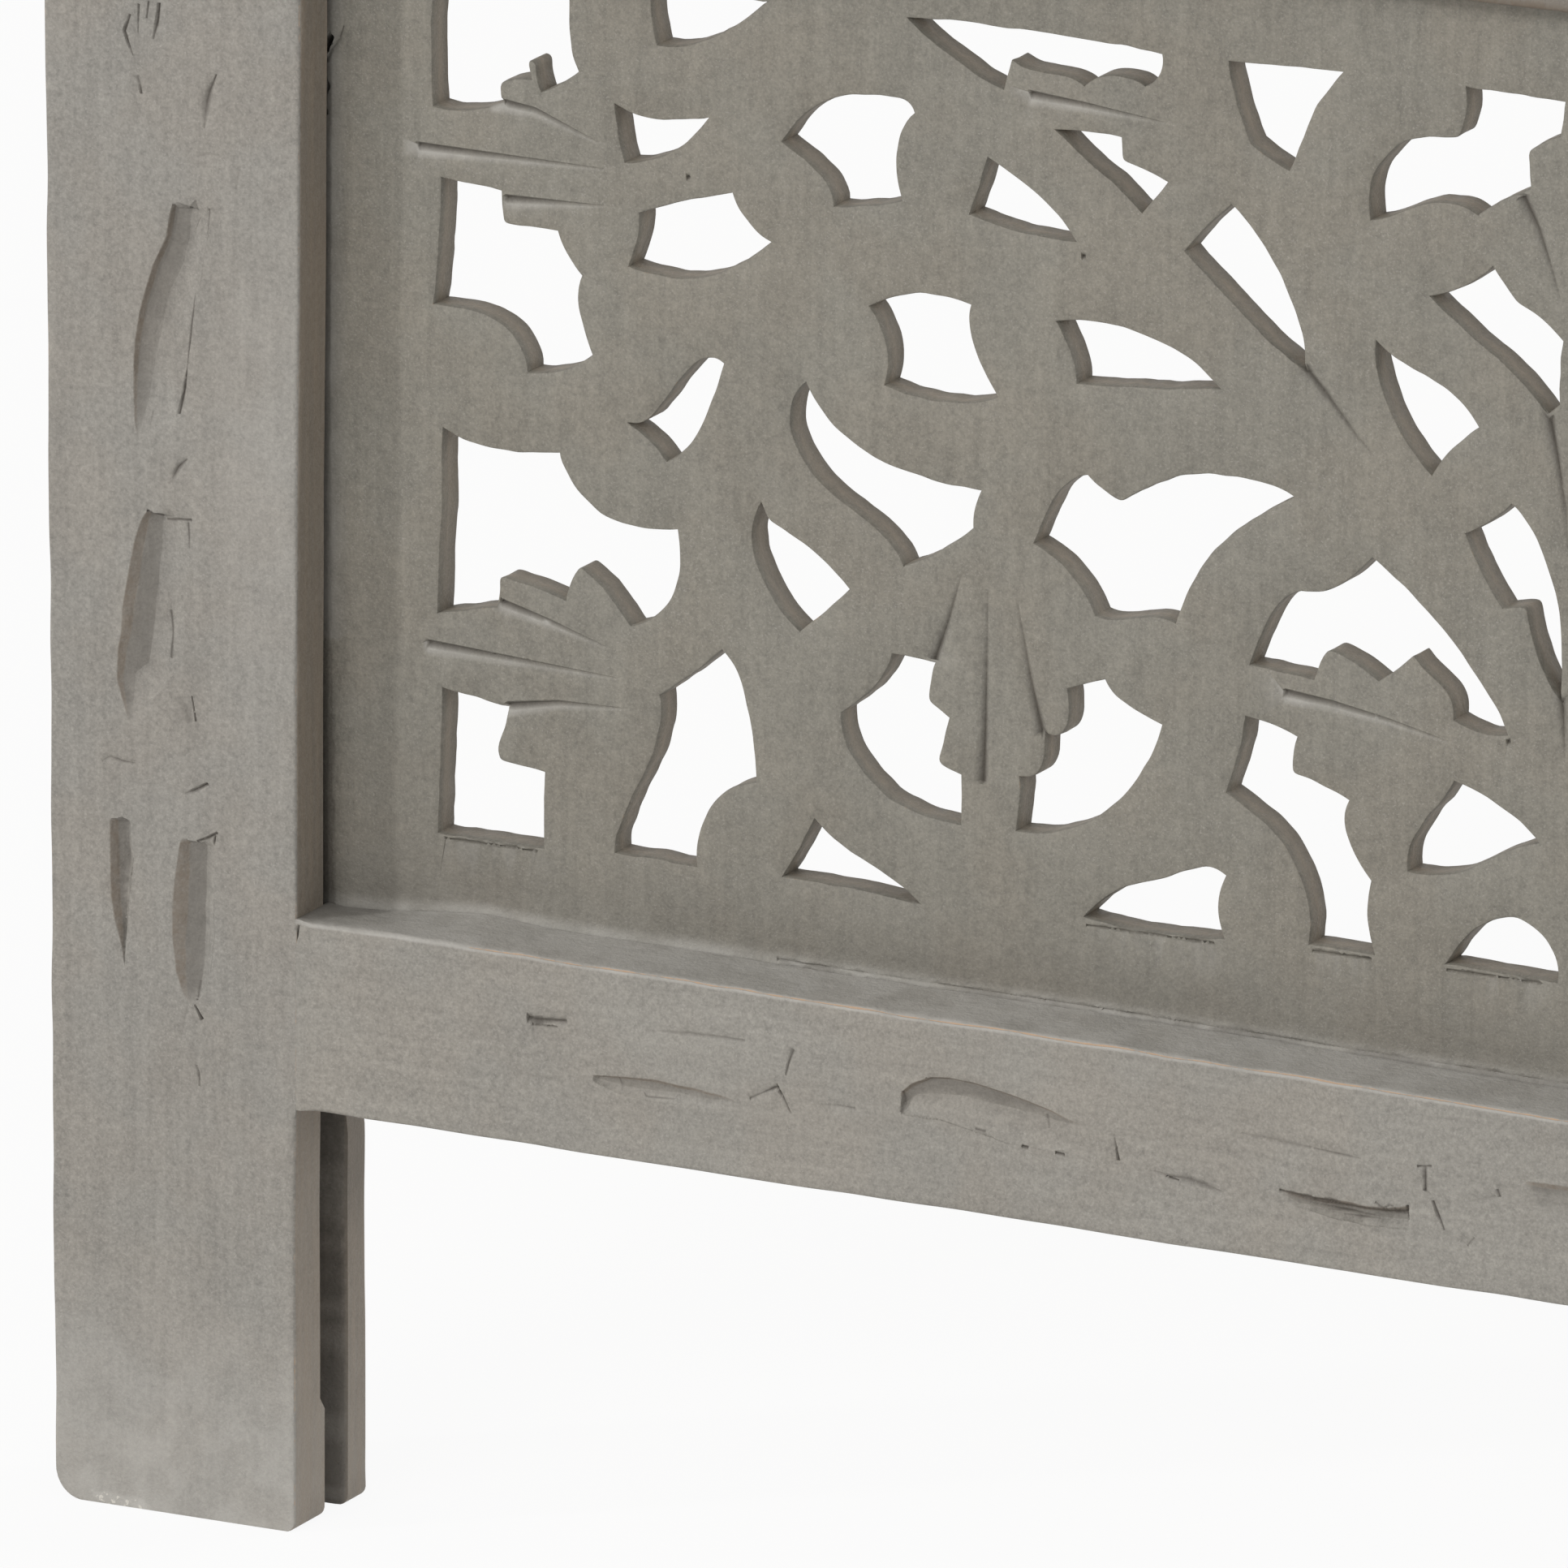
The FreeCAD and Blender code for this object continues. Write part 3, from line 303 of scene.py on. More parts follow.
# Hollows struck into the left panel's bottom rail
RAIL_HOLLOWS = (
    {
        "lip": ((1110, 1346), (1123, 1335), (1146, 1327), (1169, 1328), (1201, 1335), (1238, 1346),
                (1266, 1357), (1293, 1368), (1316, 1380), (1334, 1387)),
        "foot": ((1110, 1351), (1124, 1339), (1147, 1330), (1170, 1331), (1201, 1338),
                 (1238, 1349.5), (1266, 1360), (1293, 1370.5), (1316, 1382), (1334, 1388)),
        "band": ((1110, 1362), (1128, 1350), (1151, 1350), (1183, 1353), (1215, 1361),
                 (1247, 1368), (1275, 1375), (1298, 1382), (1330, 1388.5)),
        "far": ((1110, 1374), (1128, 1377), (1155, 1380), (1190, 1392), (1240, 1409),
                (1288, 1419), (1315, 1416), (1334, 1400)),
        "deep_end": "low",
        "depth": 1.1,
        "shade": 1.35,
    },
    {
        "lip": ((730, 1325), (766, 1327), (803, 1330), (834, 1337), (860, 1342), (886, 1349),
                (907, 1356)),
        "foot": ((730, 1326.5), (766, 1330), (803, 1334), (834, 1341), (860, 1346), (886, 1351.5),
                 (907, 1357)),
        "band": ((730, 1329), (766, 1340), (803, 1345), (834, 1348), (860, 1353), (886, 1356),
                 (907, 1358)),
        "far": ((730, 1333), (766, 1350), (803, 1358), (834, 1361), (860, 1362), (886, 1361),
                (907, 1359)),
        "deep_end": "low",
        "depth": 0.7,
    },
    {
        "lip": ((1573, 1464), (1597, 1472), (1629, 1478), (1652, 1480), (1679, 1486), (1706, 1489),
                (1735, 1487)),
        "foot": ((1573, 1467), (1597, 1476.5), (1629, 1483.5), (1652, 1486), (1679, 1491),
                 (1706, 1494), (1735, 1494)),
        "band": ((1573, 1469), (1597, 1483), (1629, 1492), (1652, 1497), (1679, 1502),
                 (1706, 1504), (1735, 1506)),
        "far": ((1573, 1471), (1597, 1487), (1629, 1498), (1652, 1504), (1679, 1510), (1706, 1513),
                (1735, 1515)),
        "deep_end": "high",
        "depth": 1.2,
    },
    {
        "lip": ((1876, 1455), (1900, 1457), (1932, 1462), (1990, 1470)),
        "foot": ((1876, 1459), (1900, 1463), (1932, 1468), (1990, 1475)),
        "band": ((1876, 1475), (1900, 1482), (1932, 1490), (1990, 1492)),
        "far": ((1876, 1488), (1900, 1500), (1932, 1511), (1990, 1506)),
        "deep_end": "high",
        "depth": 0.4,
    },
)
RAIL_CUTS = (
    (((650, 1254), (660, 1257), (676, 1257), (697, 1258)), (0.9, 0.8, 0.5, 0.6),
     (0.7, 0.7, 0.45, 0.45)),
    (((655, 1262), (686, 1265)), (0.25, 0.2), (0.4, 0.2)),
    (((798, 1269), (824, 1271), (860, 1274), (891, 1278), (917, 1282)),
     (0.15, 0.4, 0.5, 0.4, 0.35), (0.03, 0.14, 0.2, 0.17, 0.18)),
    (((762, 1328), (765, 1345)), (0.3, 0.2), (0.2, 0.1)),
    (((792, 1347), (795, 1352), (834, 1355)), (0.2, 0.25, 0.2), (0.25, 0.25, 0.15)),
    (((977, 1293), (972, 1306), (968, 1324)), (0.5, 0.35, 0.2), (0.3, 0.3, 0.15)),
    (((958, 1338), (945, 1344), (924, 1353)), (0.5, 0.2, 0.4), (0.5, 0.15, 0.25)),
    (((958, 1340), (966, 1354), (974, 1371)), (0.4, 0.25, 0.2), (0.4, 0.25, 0.15)),
    (((1009, 1360), (1035, 1362), (1053, 1366)), (0.3, 0.3, 0.4), (0.05, 0.12, 0.18)),
    (((636, 1322), (680, 1329)), (0.4, 0.4), (0.05, 0.08)),
    (((1112, 1345), (1113, 1352), (1110, 1370)), (0.3, 0.3, 0.4), (0.3, 0.15, 0.25)),
    (((1125, 1375), (1155, 1378)), (0.2, 0.2), (0.15, 0.1)),
    (((1201, 1392), (1213, 1395)), (0.35, 0.3), (0.35, 0.3)),
    (((1259, 1413), (1266, 1415)), (0.3, 0.3), (0.5, 0.4)),
    (((1300, 1421), (1311, 1423.5)), (0.3, 0.3), (0.4, 0.4)),
    (((1288, 1374), (1291, 1391)), (0.4, 0.3), (0.25, 0.2)),
    (((1372, 1398), (1374, 1410), (1377, 1430)), (0.3, 0.2, 0.35), (0.1, 0.25, 0.5)),
    (((1422, 1443), (1440, 1450), (1463, 1453), (1482, 1460), (1507, 1470)),
     (0.15, 0.6, 0.75, 0.6, 0.12), (0.1, 0.25, 0.25, 0.25, 0.08)),
    (((1436, 1450), (1452, 1455)), (0.15, 0.15), (0.35, 0.3)),
    (((1530, 1396), (1546, 1400), (1570, 1404), (1616, 1415), (1652, 1423), (1676, 1428)),
     (0.2, 0.6, 0.5, 0.3, 0.35, 0.2), (0.05, 0.18, 0.14, 0.16, 0.22, 0.1)),
    (((1733, 1486), (1733, 1503)), (0.5, 0.4), (0.6, 0.45)),
    (((1576, 1467), (1606, 1476), (1640, 1482), (1676, 1489), (1704, 1493), (1733, 1494)),
     (0.25, 0.6, 0.75, 0.4, 0.5, 0.7), (0.3, 0.55, 0.6, 0.4, 0.5, 0.8)),
    (((1612, 1483), (1650, 1491), (1690, 1499)), (0.2, 0.45, 0.2), (0.2, 0.35, 0.2)),
    (((1694, 1482), (1703, 1490), (1712, 1485), (1722, 1492)), (0.3, 0.4, 0.3, 0.4),
     (0.2, 0.3, 0.2, 0.3)),
    (((368, 1140), (366, 1150), (364, 1163)), (0.2, 0.35, 0.15), (0.3, 0.5, 0.2)),
    (((1652, 1498), (1674, 1501), (1697, 1504)), (0.15, 0.3, 0.15), (0.2, 0.35, 0.2)),
    (((1746, 1437), (1763, 1437)), (0.3, 0.3), (0.3, 0.25)),
    (((1755, 1438), (1755, 1467)), (0.45, 0.4), (0.3, 0.4)),
    (((1765, 1480), (1771, 1497), (1779, 1516)), (0.3, 0.4, 0.2), (0.3, 0.35, 0.2)),
    (((1810, 1480), (1842, 1474)), (0.25, 0.4), (0.06, 0.15)),
    (((1844, 1466), (1847, 1474)), (0.4, 0.4), (0.3, 0.3)),
    (((1808, 1535), (1816, 1526)), (0.3, 0.4), (0.15, 0.15)),
)

# A splintered place in the board beside the left stile, as photo pixels on the board's face
BOARD_SPLINTERS = (
    (((409, 44), (401, 54), (396, 66)), (0.4, 0.9, 0.6), (1.6, 2.4, 1.6)),
    (((423, 32), (417, 48), (407, 62), (401, 76)), (0.2, 0.55, 0.6, 0.3), (0.25, 0.3, 0.3, 0.2)),
    (((401, 72), (399, 90), (403, 106), (399, 122), (401, 141)), (0.35, 0.25, 0.45, 0.2, 0.3),
     (0.7, 0.5, 0.9, 0.4, 0.7)),
)

# The boards' mesh: steps along the outlines, of the face's grid and of the points on marks, how
# far and in what cells the holes' outlines, lips and walls wander, the lip of a board's own edge,
# the heights and cells of a face's swells, and the depth at which cuts end
SHOWN_BOARD_STEPS = (1.0, 3.0)
PLAIN_BOARD_STEPS = (3.6, 9.0)
FINEST_MARK_STEP = 0.6
MARK_STEP_SHARE = 0.8
WOBBLE_CELL = 7.0
FINE_WOBBLE = 0.8
FINE_WOBBLE_CELL = 2.4
LIP_SPREAD = 0.45
LIP_CELL = 5.0
BEVEL_SHARE = 0.29
SHARP_LIP = 0.02
WALL_ROUGHNESS = 0.16
WALL_CELL = 1.7
WALL_MIDDLE = 0.45 * BOARD_THICKNESS
SWELLS = ((0.10, 26.0), (0.04, 6.0))
CUT_REACH = 2.5

# How deep a cut is where its dirt and painted shade are darkest, on the bars and in the boards'
# grooves, and how pale a groove's sides are made with painted light
DARKEST_DEPTH = 0.35
DARKEST_GROOVE_DEPTH = 0.7
GROOVE_PAINTED_LIGHT = 0.7

# Marks on a board's face. Those in pairs are a strength and the reach at which it is nought, and
# those in threes a wavering value's middle, its spread and its cell
# The slit beside the left stile is dark with dirt and with painted shade in the gap there
SLIT_BLUR = 0.3
SLIT_WAVER = (1.0, 0.25, 3.0)
SEAM_DIRT = 0.42
SEAM_THICKNESS = (0.6, 0.6, 3.2)
SEAM_BREAKS = (0.7, 1.4, 11.0)
# Painted shade: darker above the sill, where the proud rail shades the board, and in the lower
# corner by the left stile, which shades it too
PAINTED_SHADE_WAVER = (0.85, 0.15, (9.0, 4.0))
LOW_PAINTED_SHADE = (0.5, 17.0)
WIDE_PAINTED_SHADE = (0.12, 70.0)
CORNER_PAINTED_SHADE = (0.22, 90.0)
CORNER_WIDTH = 34.0
CORNER_BLUR = 24.0
# Painted light beside the left stile, against the shade there, and the pale strip above the sill
STILE_PAINTED_LIGHT = (0.5, 4.0)
STILE_PAINTED_LIGHT_START = 42.0
SILL_WASH = (0.6, 2.4)
SILL_WASH_END = 2.6
LIP_WEAR = 0.7
LIP_WEAR_DEPTH = 0.9
WALL_STAIN = 0.35
WALL_STAIN_START = 0.3
WALL_STAIN_BLUR = 0.8
WALL_STAIN_END = 0.4
# Painted shade further in on the holes' walls
WALL_SHADE = 0.55
WALL_SHADE_START = 2.5
WALL_SHADE_DEPTH = 2.8
FACE_DEPTH = 0.02
ON_FACE = 0.05
FRONT_REACH = 1.0

# Mesh making: a lattice fine enough to weld by, and the turn beyond which an outline is sharp
QUANTUM = 1.0 / 512.0
CORNER_TURN = np.radians(15)
TIP_STEP_SHARE = 0.5
TIP_SPREAD = 3
TIP_FADE = 0.8
TIP_ROUNDS = 4
MITER_FLOOR = 0.5
END_WEIGHT = 3.0
FLAT_TOLERANCE = 0.01
OUTER_TOLERANCE = 0.05
SMOOTH_ANGLE = np.radians(38)
NOISE_LATTICE = 256
TINY = 1e-9


# Frames, noise and small vector work


def mesh_points(mesh):
    """A mesh's vertices as rows of three metres."""
    flat = np.zeros(len(mesh.vertices) * 3)
    mesh.vertices.foreach_get("co", flat)
    return flat.reshape(-1, 3)


def mesh_triangles(mesh):
    """A triangle mesh's corners as rows of three vertex numbers."""
    flat = np.zeros(len(mesh.loops), int)
    mesh.loops.foreach_get("vertex_index", flat)
    return flat.reshape(-1, 3)


def panel_frame(panel):
    """A panel's origin and axes: the rows run across, back and up in the row's frame, and the
    origin is the lowest corner of its left stile, measured along those axes."""
    turn = np.radians(PANEL_TURNS[panel])
    axes = np.array((
        (np.cos(turn), np.sin(turn), 0.0),
        (-np.sin(turn), np.cos(turn), 0.0),
        (0.0, 0.0, 1.0),
    ))
    corners = mesh_points(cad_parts[panel + "_left_stile"].data) @ axes.T
    return corners.min(0), axes


def into_panel(points, panel):
    """Row metres to panel millimetres: measure along the axes, take off the origin, scale."""
    origin, axes = panel_frame(panel)
    return (points @ axes.T - origin) / MM


def out_of_panel(points, panel):
    """Panel millimetres to row metres: scale, add the origin, and leave along the axes."""
    origin, axes = panel_frame(panel)
    return (points * MM + origin) @ axes


def photo_points(pixels, back):
    """Where rays through photo pixels meet the plane that far back: eye + ray * t, with t set by
    the plane. Gives rows of (across, up)."""
    spot = np.asarray(pixels, float)
    sideways = (spot[:, :1] - PHOTO_MIDDLE) / FOCAL_PIXELS * EYE_RIGHT
    upwards = (PHOTO_MIDDLE - spot[:, 1:]) / FOCAL_PIXELS * EYE_UP
    ray = EYE_AHEAD + sideways + upwards
    reach = (back - EYE[1]) / ray[:, 1]
    return (EYE + ray * reach[:, None])[:, (0, 2)]


def quantised(points):
    """Each number moved to the nearest step of the welding lattice."""
    return np.round(np.asarray(points, float) / QUANTUM) * QUANTUM


def unit(vectors):
    """Each row divided by its length."""
    return vectors / np.maximum(np.linalg.norm(vectors, axis=1, keepdims=True), TINY)


def clamped(values):
    """Each value held between nought and one."""
    return np.clip(values, 0.0, 1.0)


def falling(distance, reach):
    """One at no distance, falling in a straight line to nought at that reach."""
    return clamped(1.0 - distance / reach)


def eased(share):
    """3 s squared less 2 s cubed, with s held between nought and one."""
    held = clamped(share)
    return held * held * (3.0 - 2.0 * held)


def faded(mark, distance):
    """A mark's strength at no distance, falling along an eased curve to nought at its reach."""
    strength, reach = mark
    return strength * eased(1.0 - distance / reach)


def soft_noise(across, along, size, seed):
    """Smooth noise from -1 to 1: seeded random values on a lattice of the given size, joined by
    the eased share of each cell."""
    table = np.random.default_rng(seed).uniform(-1.0, 1.0, (NOISE_LATTICE, NOISE_LATTICE))
    wide, long = size
    x, y = np.asarray(across) / wide, np.asarray(along) / long
    column, row = np.floor(x).astype(int), np.floor(y).astype(int)
    x_share, y_share = eased(x - column), eased(y - row)
    left, right = column % NOISE_LATTICE, (column + 1) % NOISE_LATTICE
    low, high = row % NOISE_LATTICE, (row + 1) % NOISE_LATTICE
    below = table[left, low] * (1 - x_share) + table[right, low] * x_share
    above = table[left, high] * (1 - x_share) + table[right, high] * x_share
    return below * (1 - y_share) + above * y_share


def line_noise(along, size, seed):
    """Soft noise that changes along one line alone, in cells of the given size."""
    return soft_noise(along, along * 0.0, (size, 1.0), seed)


def line_value(along, value, seed):
    """A value that wavers along one line: its middle, how far it goes each way, and its cell."""
    middle, spread, cell = value
    return middle + spread * line_noise(along, cell, seed)


def face_value(across, along, value, seed):
    """The same over a face, where the cell is a width and a height."""
    middle, spread, cell = value
    return middle + spread * soft_noise(across, along, cell, seed)


def square_noise(points, size, seed):
    """Soft noise over rows of two places, in cells as wide as they are high."""
    return soft_noise(points[:, 0], points[:, 1], (size, size), seed)


# Triangles, welding and turning arrays into pieces


def welded(points, triangles):
    """Points on the same lattice step made one, and triangles that lost a side dropped."""
    keys = np.round(points / QUANTUM).astype(np.int64)
    _, first, where = np.unique(keys, axis=0, return_index=True, return_inverse=True)
    corners = where.reshape(-1)[triangles]
    real = (
        (corners[:, 0] != corners[:, 1])
        & (corners[:, 1] != corners[:, 2])
        & (corners[:, 2] != corners[:, 0])
    )
    return points[first], corners[real]


def loop_labels(after):
    """One number for each closed loop: the smallest point number met on going round it, found by
    steps that double in length."""
    label, jump = np.arange(len(after)), after.copy()
    for _ in range(int(np.ceil(np.log2(len(after)))) + 1):
        label = np.minimum(label, label[jump])
        jump = jump[jump]
    return label


def inside_loops(spots, rim, after):
    """Whether each spot has an odd number of crossings between it and the far right."""
    labels = loop_labels(after)
    inside = np.zeros(len(spots), bool)
    for label in np.unique(labels):
        start = rim[labels == label]
        end = rim[after[labels == label]]
        low, high = start.min(0), start.max(0)
        near = np.flatnonzero(((spots >= low) & (spots <= high)).all(1))
        x, y = spots[near, :1], spots[near, 1:]
        rising = (start[:, 1] > y) != (end[:, 1] > y)
        height = end[:, 1] - start[:, 1]
        share = (y - start[:, 1]) / np.where(height == 0, 1.0, height)
        crossing = start[:, 0] + share * (end[:, 0] - start[:, 0])
        inside[near] ^= (rising & (x < crossing)).sum(1) % 2 == 1
    return inside


def filled(rim, after, inner):
    """Triangles inside a flat outline and outside its holes: rim points joined to their next,
    with the inner points taken in. Gives points and anticlockwise triangles."""
    rim = quantised(rim)
    spots = [Vector(p) for p in np.concatenate([rim, quantised(inner)])]
    sides = np.column_stack([np.arange(len(rim)), after]).tolist()
    found = delaunay_2d_cdt(spots, sides, [], 0, 1e-9, False)
    points = np.array([tuple(p) for p in found[0]])
    triangles = np.array(found[2])
    return points, triangles[inside_loops(points[triangles].mean(1), rim, after)]


def strip_triangles(columns, rows, closed):
    """Two triangles in each cell of a grid whose points are numbered column by column."""
    last = columns if closed else columns - 1
    column = np.repeat(np.arange(last), rows - 1)
    row = np.tile(np.arange(rows - 1), last)
    here = column * rows + row
    beside = ((column + 1) % columns) * rows + row
    return np.concatenate([
        np.column_stack([here, beside, beside + 1]),
        np.column_stack([here, beside + 1, here + 1]),
    ])


def make_piece(name, panel, node, points, triangles, place, masks, material):
    """A piece at the origin from panel millimetres. It stands for its node and rides with the
    panel, and keeps its pattern's place and its masks on its vertices."""
    mesh = bpy.data.meshes.new(name)
    world = out_of_panel(points, panel)
    mesh.vertices.add(len(world))
    mesh.vertices.foreach_set("co", world.astype(np.float32).ravel())
    mesh.loops.add(len(triangles) * 3)
    mesh.loops.foreach_set("vertex_index", triangles.astype(np.int32).ravel())
    mesh.polygons.add(len(triangles))
    mesh.polygons.foreach_set("loop_start", np.arange(0, len(triangles) * 3, 3, dtype=np.int32))
    mesh.update(calc_edges=True)
    mesh.validate()
    mesh.shade_smooth()
    mesh.set_sharp_from_angle(angle=SMOOTH_ANGLE)
    spots = mesh.attributes.new("place", "FLOAT_VECTOR", "POINT")
    spots.data.foreach_set("vector", (place * MM).astype(np.float32).ravel())
    for label in MASK_SOCKETS:
        values = clamped(masks.get(label, np.zeros(len(points))))
        layer = mesh.attributes.new(label, "FLOAT", "POINT")
        layer.data.foreach_set("value", values.astype(np.float32))
    mesh.materials.append(material)
    piece = bpy.data.objects.new(name, mesh)
    bpy.context.scene.collection.objects.link(piece)
    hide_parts(node)
    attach(piece, panel)
    return piece


# Cuts: how far a surface is sunk at each point


def groove_sink(spots, path, half_widths, depths, lean, ragged):
    """Depth of a cut along a path, and how near each spot is to its bottom. The depth falls in a
    straight line from the path to nothing at the half width times the lean's share for the
    path's right or left. Past its two ends distance counts three times. Half widths and depths
    are spread along the path, and a noise makes the width ragged."""
    path = np.asarray(path, float)
    steps = np.linalg.norm(np.diff(path, axis=0), axis=1)
    marks = np.concatenate([[0.0], np.cumsum(steps)]) / steps.sum()
    sink, bottom = np.zeros(len(spots)), np.zeros(len(spots))
    margin = max(half_widths) * max(lean) * (1.0 + ragged)
    low, high = path.min(0) - margin, path.max(0) + margin
    near = np.flatnonzero(((spots > low) & (spots < high)).all(1))
    close = spots[near]
    wander = 1.0 + ragged * square_noise(close, RAGGED_CELL, RAGGED_SEED)
    for index, (start, end) in enumerate(zip(path[:-1], path[1:])):
        run = end - start
        place = (close - start) @ run / (run @ run)
        share = clamped(place)
        offset = close - start - share[:, None] * run
        past = np.where(place < 0.0, index == 0, index == len(steps) - 1) * np.abs(place - share)
        away = np.hypot(np.linalg.norm(offset, axis=1), END_WEIGHT * past * steps[index])
        on_left = run[0] * offset[:, 1] - run[1] * offset[:, 0] > 0
        whole = marks[index] + share * (marks[index + 1] - marks[index])
        half = np.interp(whole, np.linspace(0.0, 1.0, len(half_widths)), half_widths) * wander
        deep = np.interp(whole, np.linspace(0.0, 1.0, len(depths)), depths)
        sunk = deep * falling(away, half * np.where(on_left, lean[1], lean[0]))
        sink[near] = np.maximum(sink[near], sunk)
        bottom[near] = np.maximum(bottom[near], falling(away, half * min(lean)))
    return sink, bottom


def sunk_by(spots, cuts):
    """How far all of the cuts sink each spot, and how near it is to a cut's bottom."""
    sink, bottom = np.zeros(len(spots)), np.zeros(len(spots))
    for cut in cuts:
        depth, nearness = groove_sink(spots, *cut)
        sink = np.maximum(sink, depth)
        bottom = np.maximum(bottom, clamped(nearness * 1.5))
    return sink, bottom


def groove_rows(path, half_widths, step, offsets):
    """Points along a cut for the mesh to follow: every step along it and just past both ends,
    at offsets that are shares of its half width."""
    path = np.asarray(path, float)
    steps = np.linalg.norm(np.diff(path, axis=0), axis=1)
    marks = np.concatenate([[0.0], np.cumsum(steps)])
    count = max(2, int(np.ceil(marks[-1] / step)) + 1)
    places = np.linspace(0.0, marks[-1], count)
    line = np.column_stack([np.interp(places, marks, path[:, k]) for k in range(2)])
    heading = unit(np.gradient(line, axis=0))
    aside = np.column_stack([-heading[:, 1], heading[:, 0]])
    spread = np.linspace(0.0, marks[-1], len(half_widths))
    half = np.interp(places, spread, half_widths)
    tips = heading[[0, -1]] * (half[[0, -1]] / END_WEIGHT * (-1.0, 1.0))[:, None]
    line = np.concatenate([line[:1] + tips[:1], line, line[-1:] + tips[1:]])
    aside = np.concatenate([aside[:1], aside, aside[-1:]])
    half = np.concatenate([half[:1], half, half[-1:]])
    rows = [line + aside * (half * offset)[:, None] for offset in offsets]
    return np.concatenate(rows)


# Carved boards


def node_surface(node, panel):
    """A node's welded corners in panel millimetres, and its triangles."""
    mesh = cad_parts[node].data
    return welded(quantised(into_panel(mesh_points(mesh), panel)), mesh_triangles(mesh))


def front_outline(points, triangles):
    """The front face's outline: its edges' starts as (across, up), with the wood on the left,
    and the number of the edge that follows each."""
    front = points[:, 1].min() + FLAT_TOLERANCE
    flat = triangles[(points[triangles][:, :, 1] < front).all(1)]
    sides = np.concatenate([flat[:, pair] for pair in ([0, 1], [1, 2], [2, 0])])
    count = len(points)
    forward = sides[:, 0] * count + sides[:, 1]
    backward = sides[:, 1] * count + sides[:, 0]
    rim = sides[~np.isin(forward, backward)]
    edge_from = np.empty(count, int)
    edge_from[rim[:, 0]] = np.arange(len(rim))
    return points[rim[:, 0]][:, (0, 2)], edge_from[rim[:, 1]]


def before_of(after):
    """For each point of a loop, the number of the one before it."""
    before = np.empty_like(after)
    before[after] = np.arange(len(after))
    return before


def outline_turn(heading, last):
    """The turn to the left from each last heading to the next."""
    cross = last[:, 0] * heading[:, 1] - last[:, 1] * heading[:, 0]
    return np.arctan2(cross, (last * heading).sum(1))


def softened_outline(rim, after, step):
    """More points on an outline, on cubic curves through its own. Each curve's end tangents are
    the mean of the two headings there, weighted by the other's length, or at a sharp corner the
    far tangent mirrored about the chord. The board's own straight edge is left as it is."""
    before = before_of(after)
    chord = rim[after] - rim
    length = np.linalg.norm(chord, axis=1)
    heading = unit(chord)
    last, last_length = heading[before], length[before]
    turn = outline_turn(heading, last)
    sharp = np.abs(turn) > CORNER_TURN
    smooth = unit(last * length[:, None] + heading * last_length[:, None])

    def mirrored(tangent):
        return 2.0 * (tangent * heading).sum(1, keepdims=True) * heading - tangent

    leaving = np.where(sharp[:, None], mirrored(smooth[after]), smooth)
    arriving = np.where(sharp[after][:, None], mirrored(smooth), smooth[after])
    straight = sharp & sharp[after]
    leaving[straight] = heading[straight]
    arriving[straight] = heading[straight]
    low, high = rim.min(0), rim.max(0)
    outer = ((rim < low + OUTER_TOLERANCE) | (rim > high - OUTER_TOLERANCE)).any(1)
    tip = turn > CORNER_TURN
    fine = np.where(tip | tip[after], step * TIP_STEP_SHARE, step)
    count = np.where(outer, 1, np.maximum(1, np.ceil(length / fine))).astype(int)
    first = np.concatenate([[0], np.cumsum(count)[:-1]])
    edge = np.repeat(np.arange(len(rim)), count)
    place = np.arange(len(edge)) - first[edge]
    s = (place / count[edge])[:, None]
    reach = length[edge][:, None]
    points = (
        (2 * s ** 3 - 3 * s ** 2 + 1) * rim[edge]
        + (s ** 3 - 2 * s ** 2 + s) * reach * leaving[edge]
        + (3 * s ** 2 - 2 * s ** 3) * rim[after][edge]
        + (s ** 3 - s ** 2) * reach * arriving[edge]
    )
    next_point = np.arange(len(edge)) + 1
    ends = place == count[edge] - 1
    next_point[ends] = first[after[edge[ends]]]
    return worn_tips(points, next_point, outer[edge]), next_point, outer[edge]


def worn_tips(points, after, outer):
    """An outline with the tips of its wood worn round: near each sharp turn to the left, points
    are moved several times towards the middle of their neighbours."""
    before = before_of(after)
    heading = unit(points[after] - points)
    share = ((outline_turn(heading, heading[before]) > CORNER_TURN) & ~outer).astype(float)
    for _ in range(TIP_SPREAD):
        share = np.maximum(share, TIP_FADE * np.maximum(share[after], share[before]))
    share = np.where(outer, 0.0, share)[:, None]
    for _ in range(TIP_ROUNDS):
        middle = (points[before] + points[after]) / 2
        points = points + 0.5 * share * (middle - points)
    return points


def inward_miter(rim, after):
    """How far each outline point moves for an inset of one: the sum of its two edges' left
    normals over one plus their dot product, with that held above a floor."""
    heading = unit(rim[after] - rim)
    normal = np.column_stack([-heading[:, 1], heading[:, 0]])
    last = normal[before_of(after)]
    scale = 1.0 + (normal * last).sum(1, keepdims=True)
    return (normal + last) / np.maximum(scale, MITER_FLOOR)


def board_rows(name):
    """Each carved row of a board: its foot, its height, and whether it stands on its head."""
    foot = BOARD_OPENINGS[name] + CARVING_MARGIN
    if name == "bottom_jali":
        return [(foot, END_ROW_HEIGHT, False)]
    if name == "top_jali":
        return [(foot, END_ROW_HEIGHT, True)]
    pitch = TALL_ROW_HEIGHT + ROW_BAR
    return [
        (foot + index * pitch, TALL_ROW_HEIGHT, index % 2 == 1)
        for index in range(ROWS_IN_TALL_BOARD)
    ]


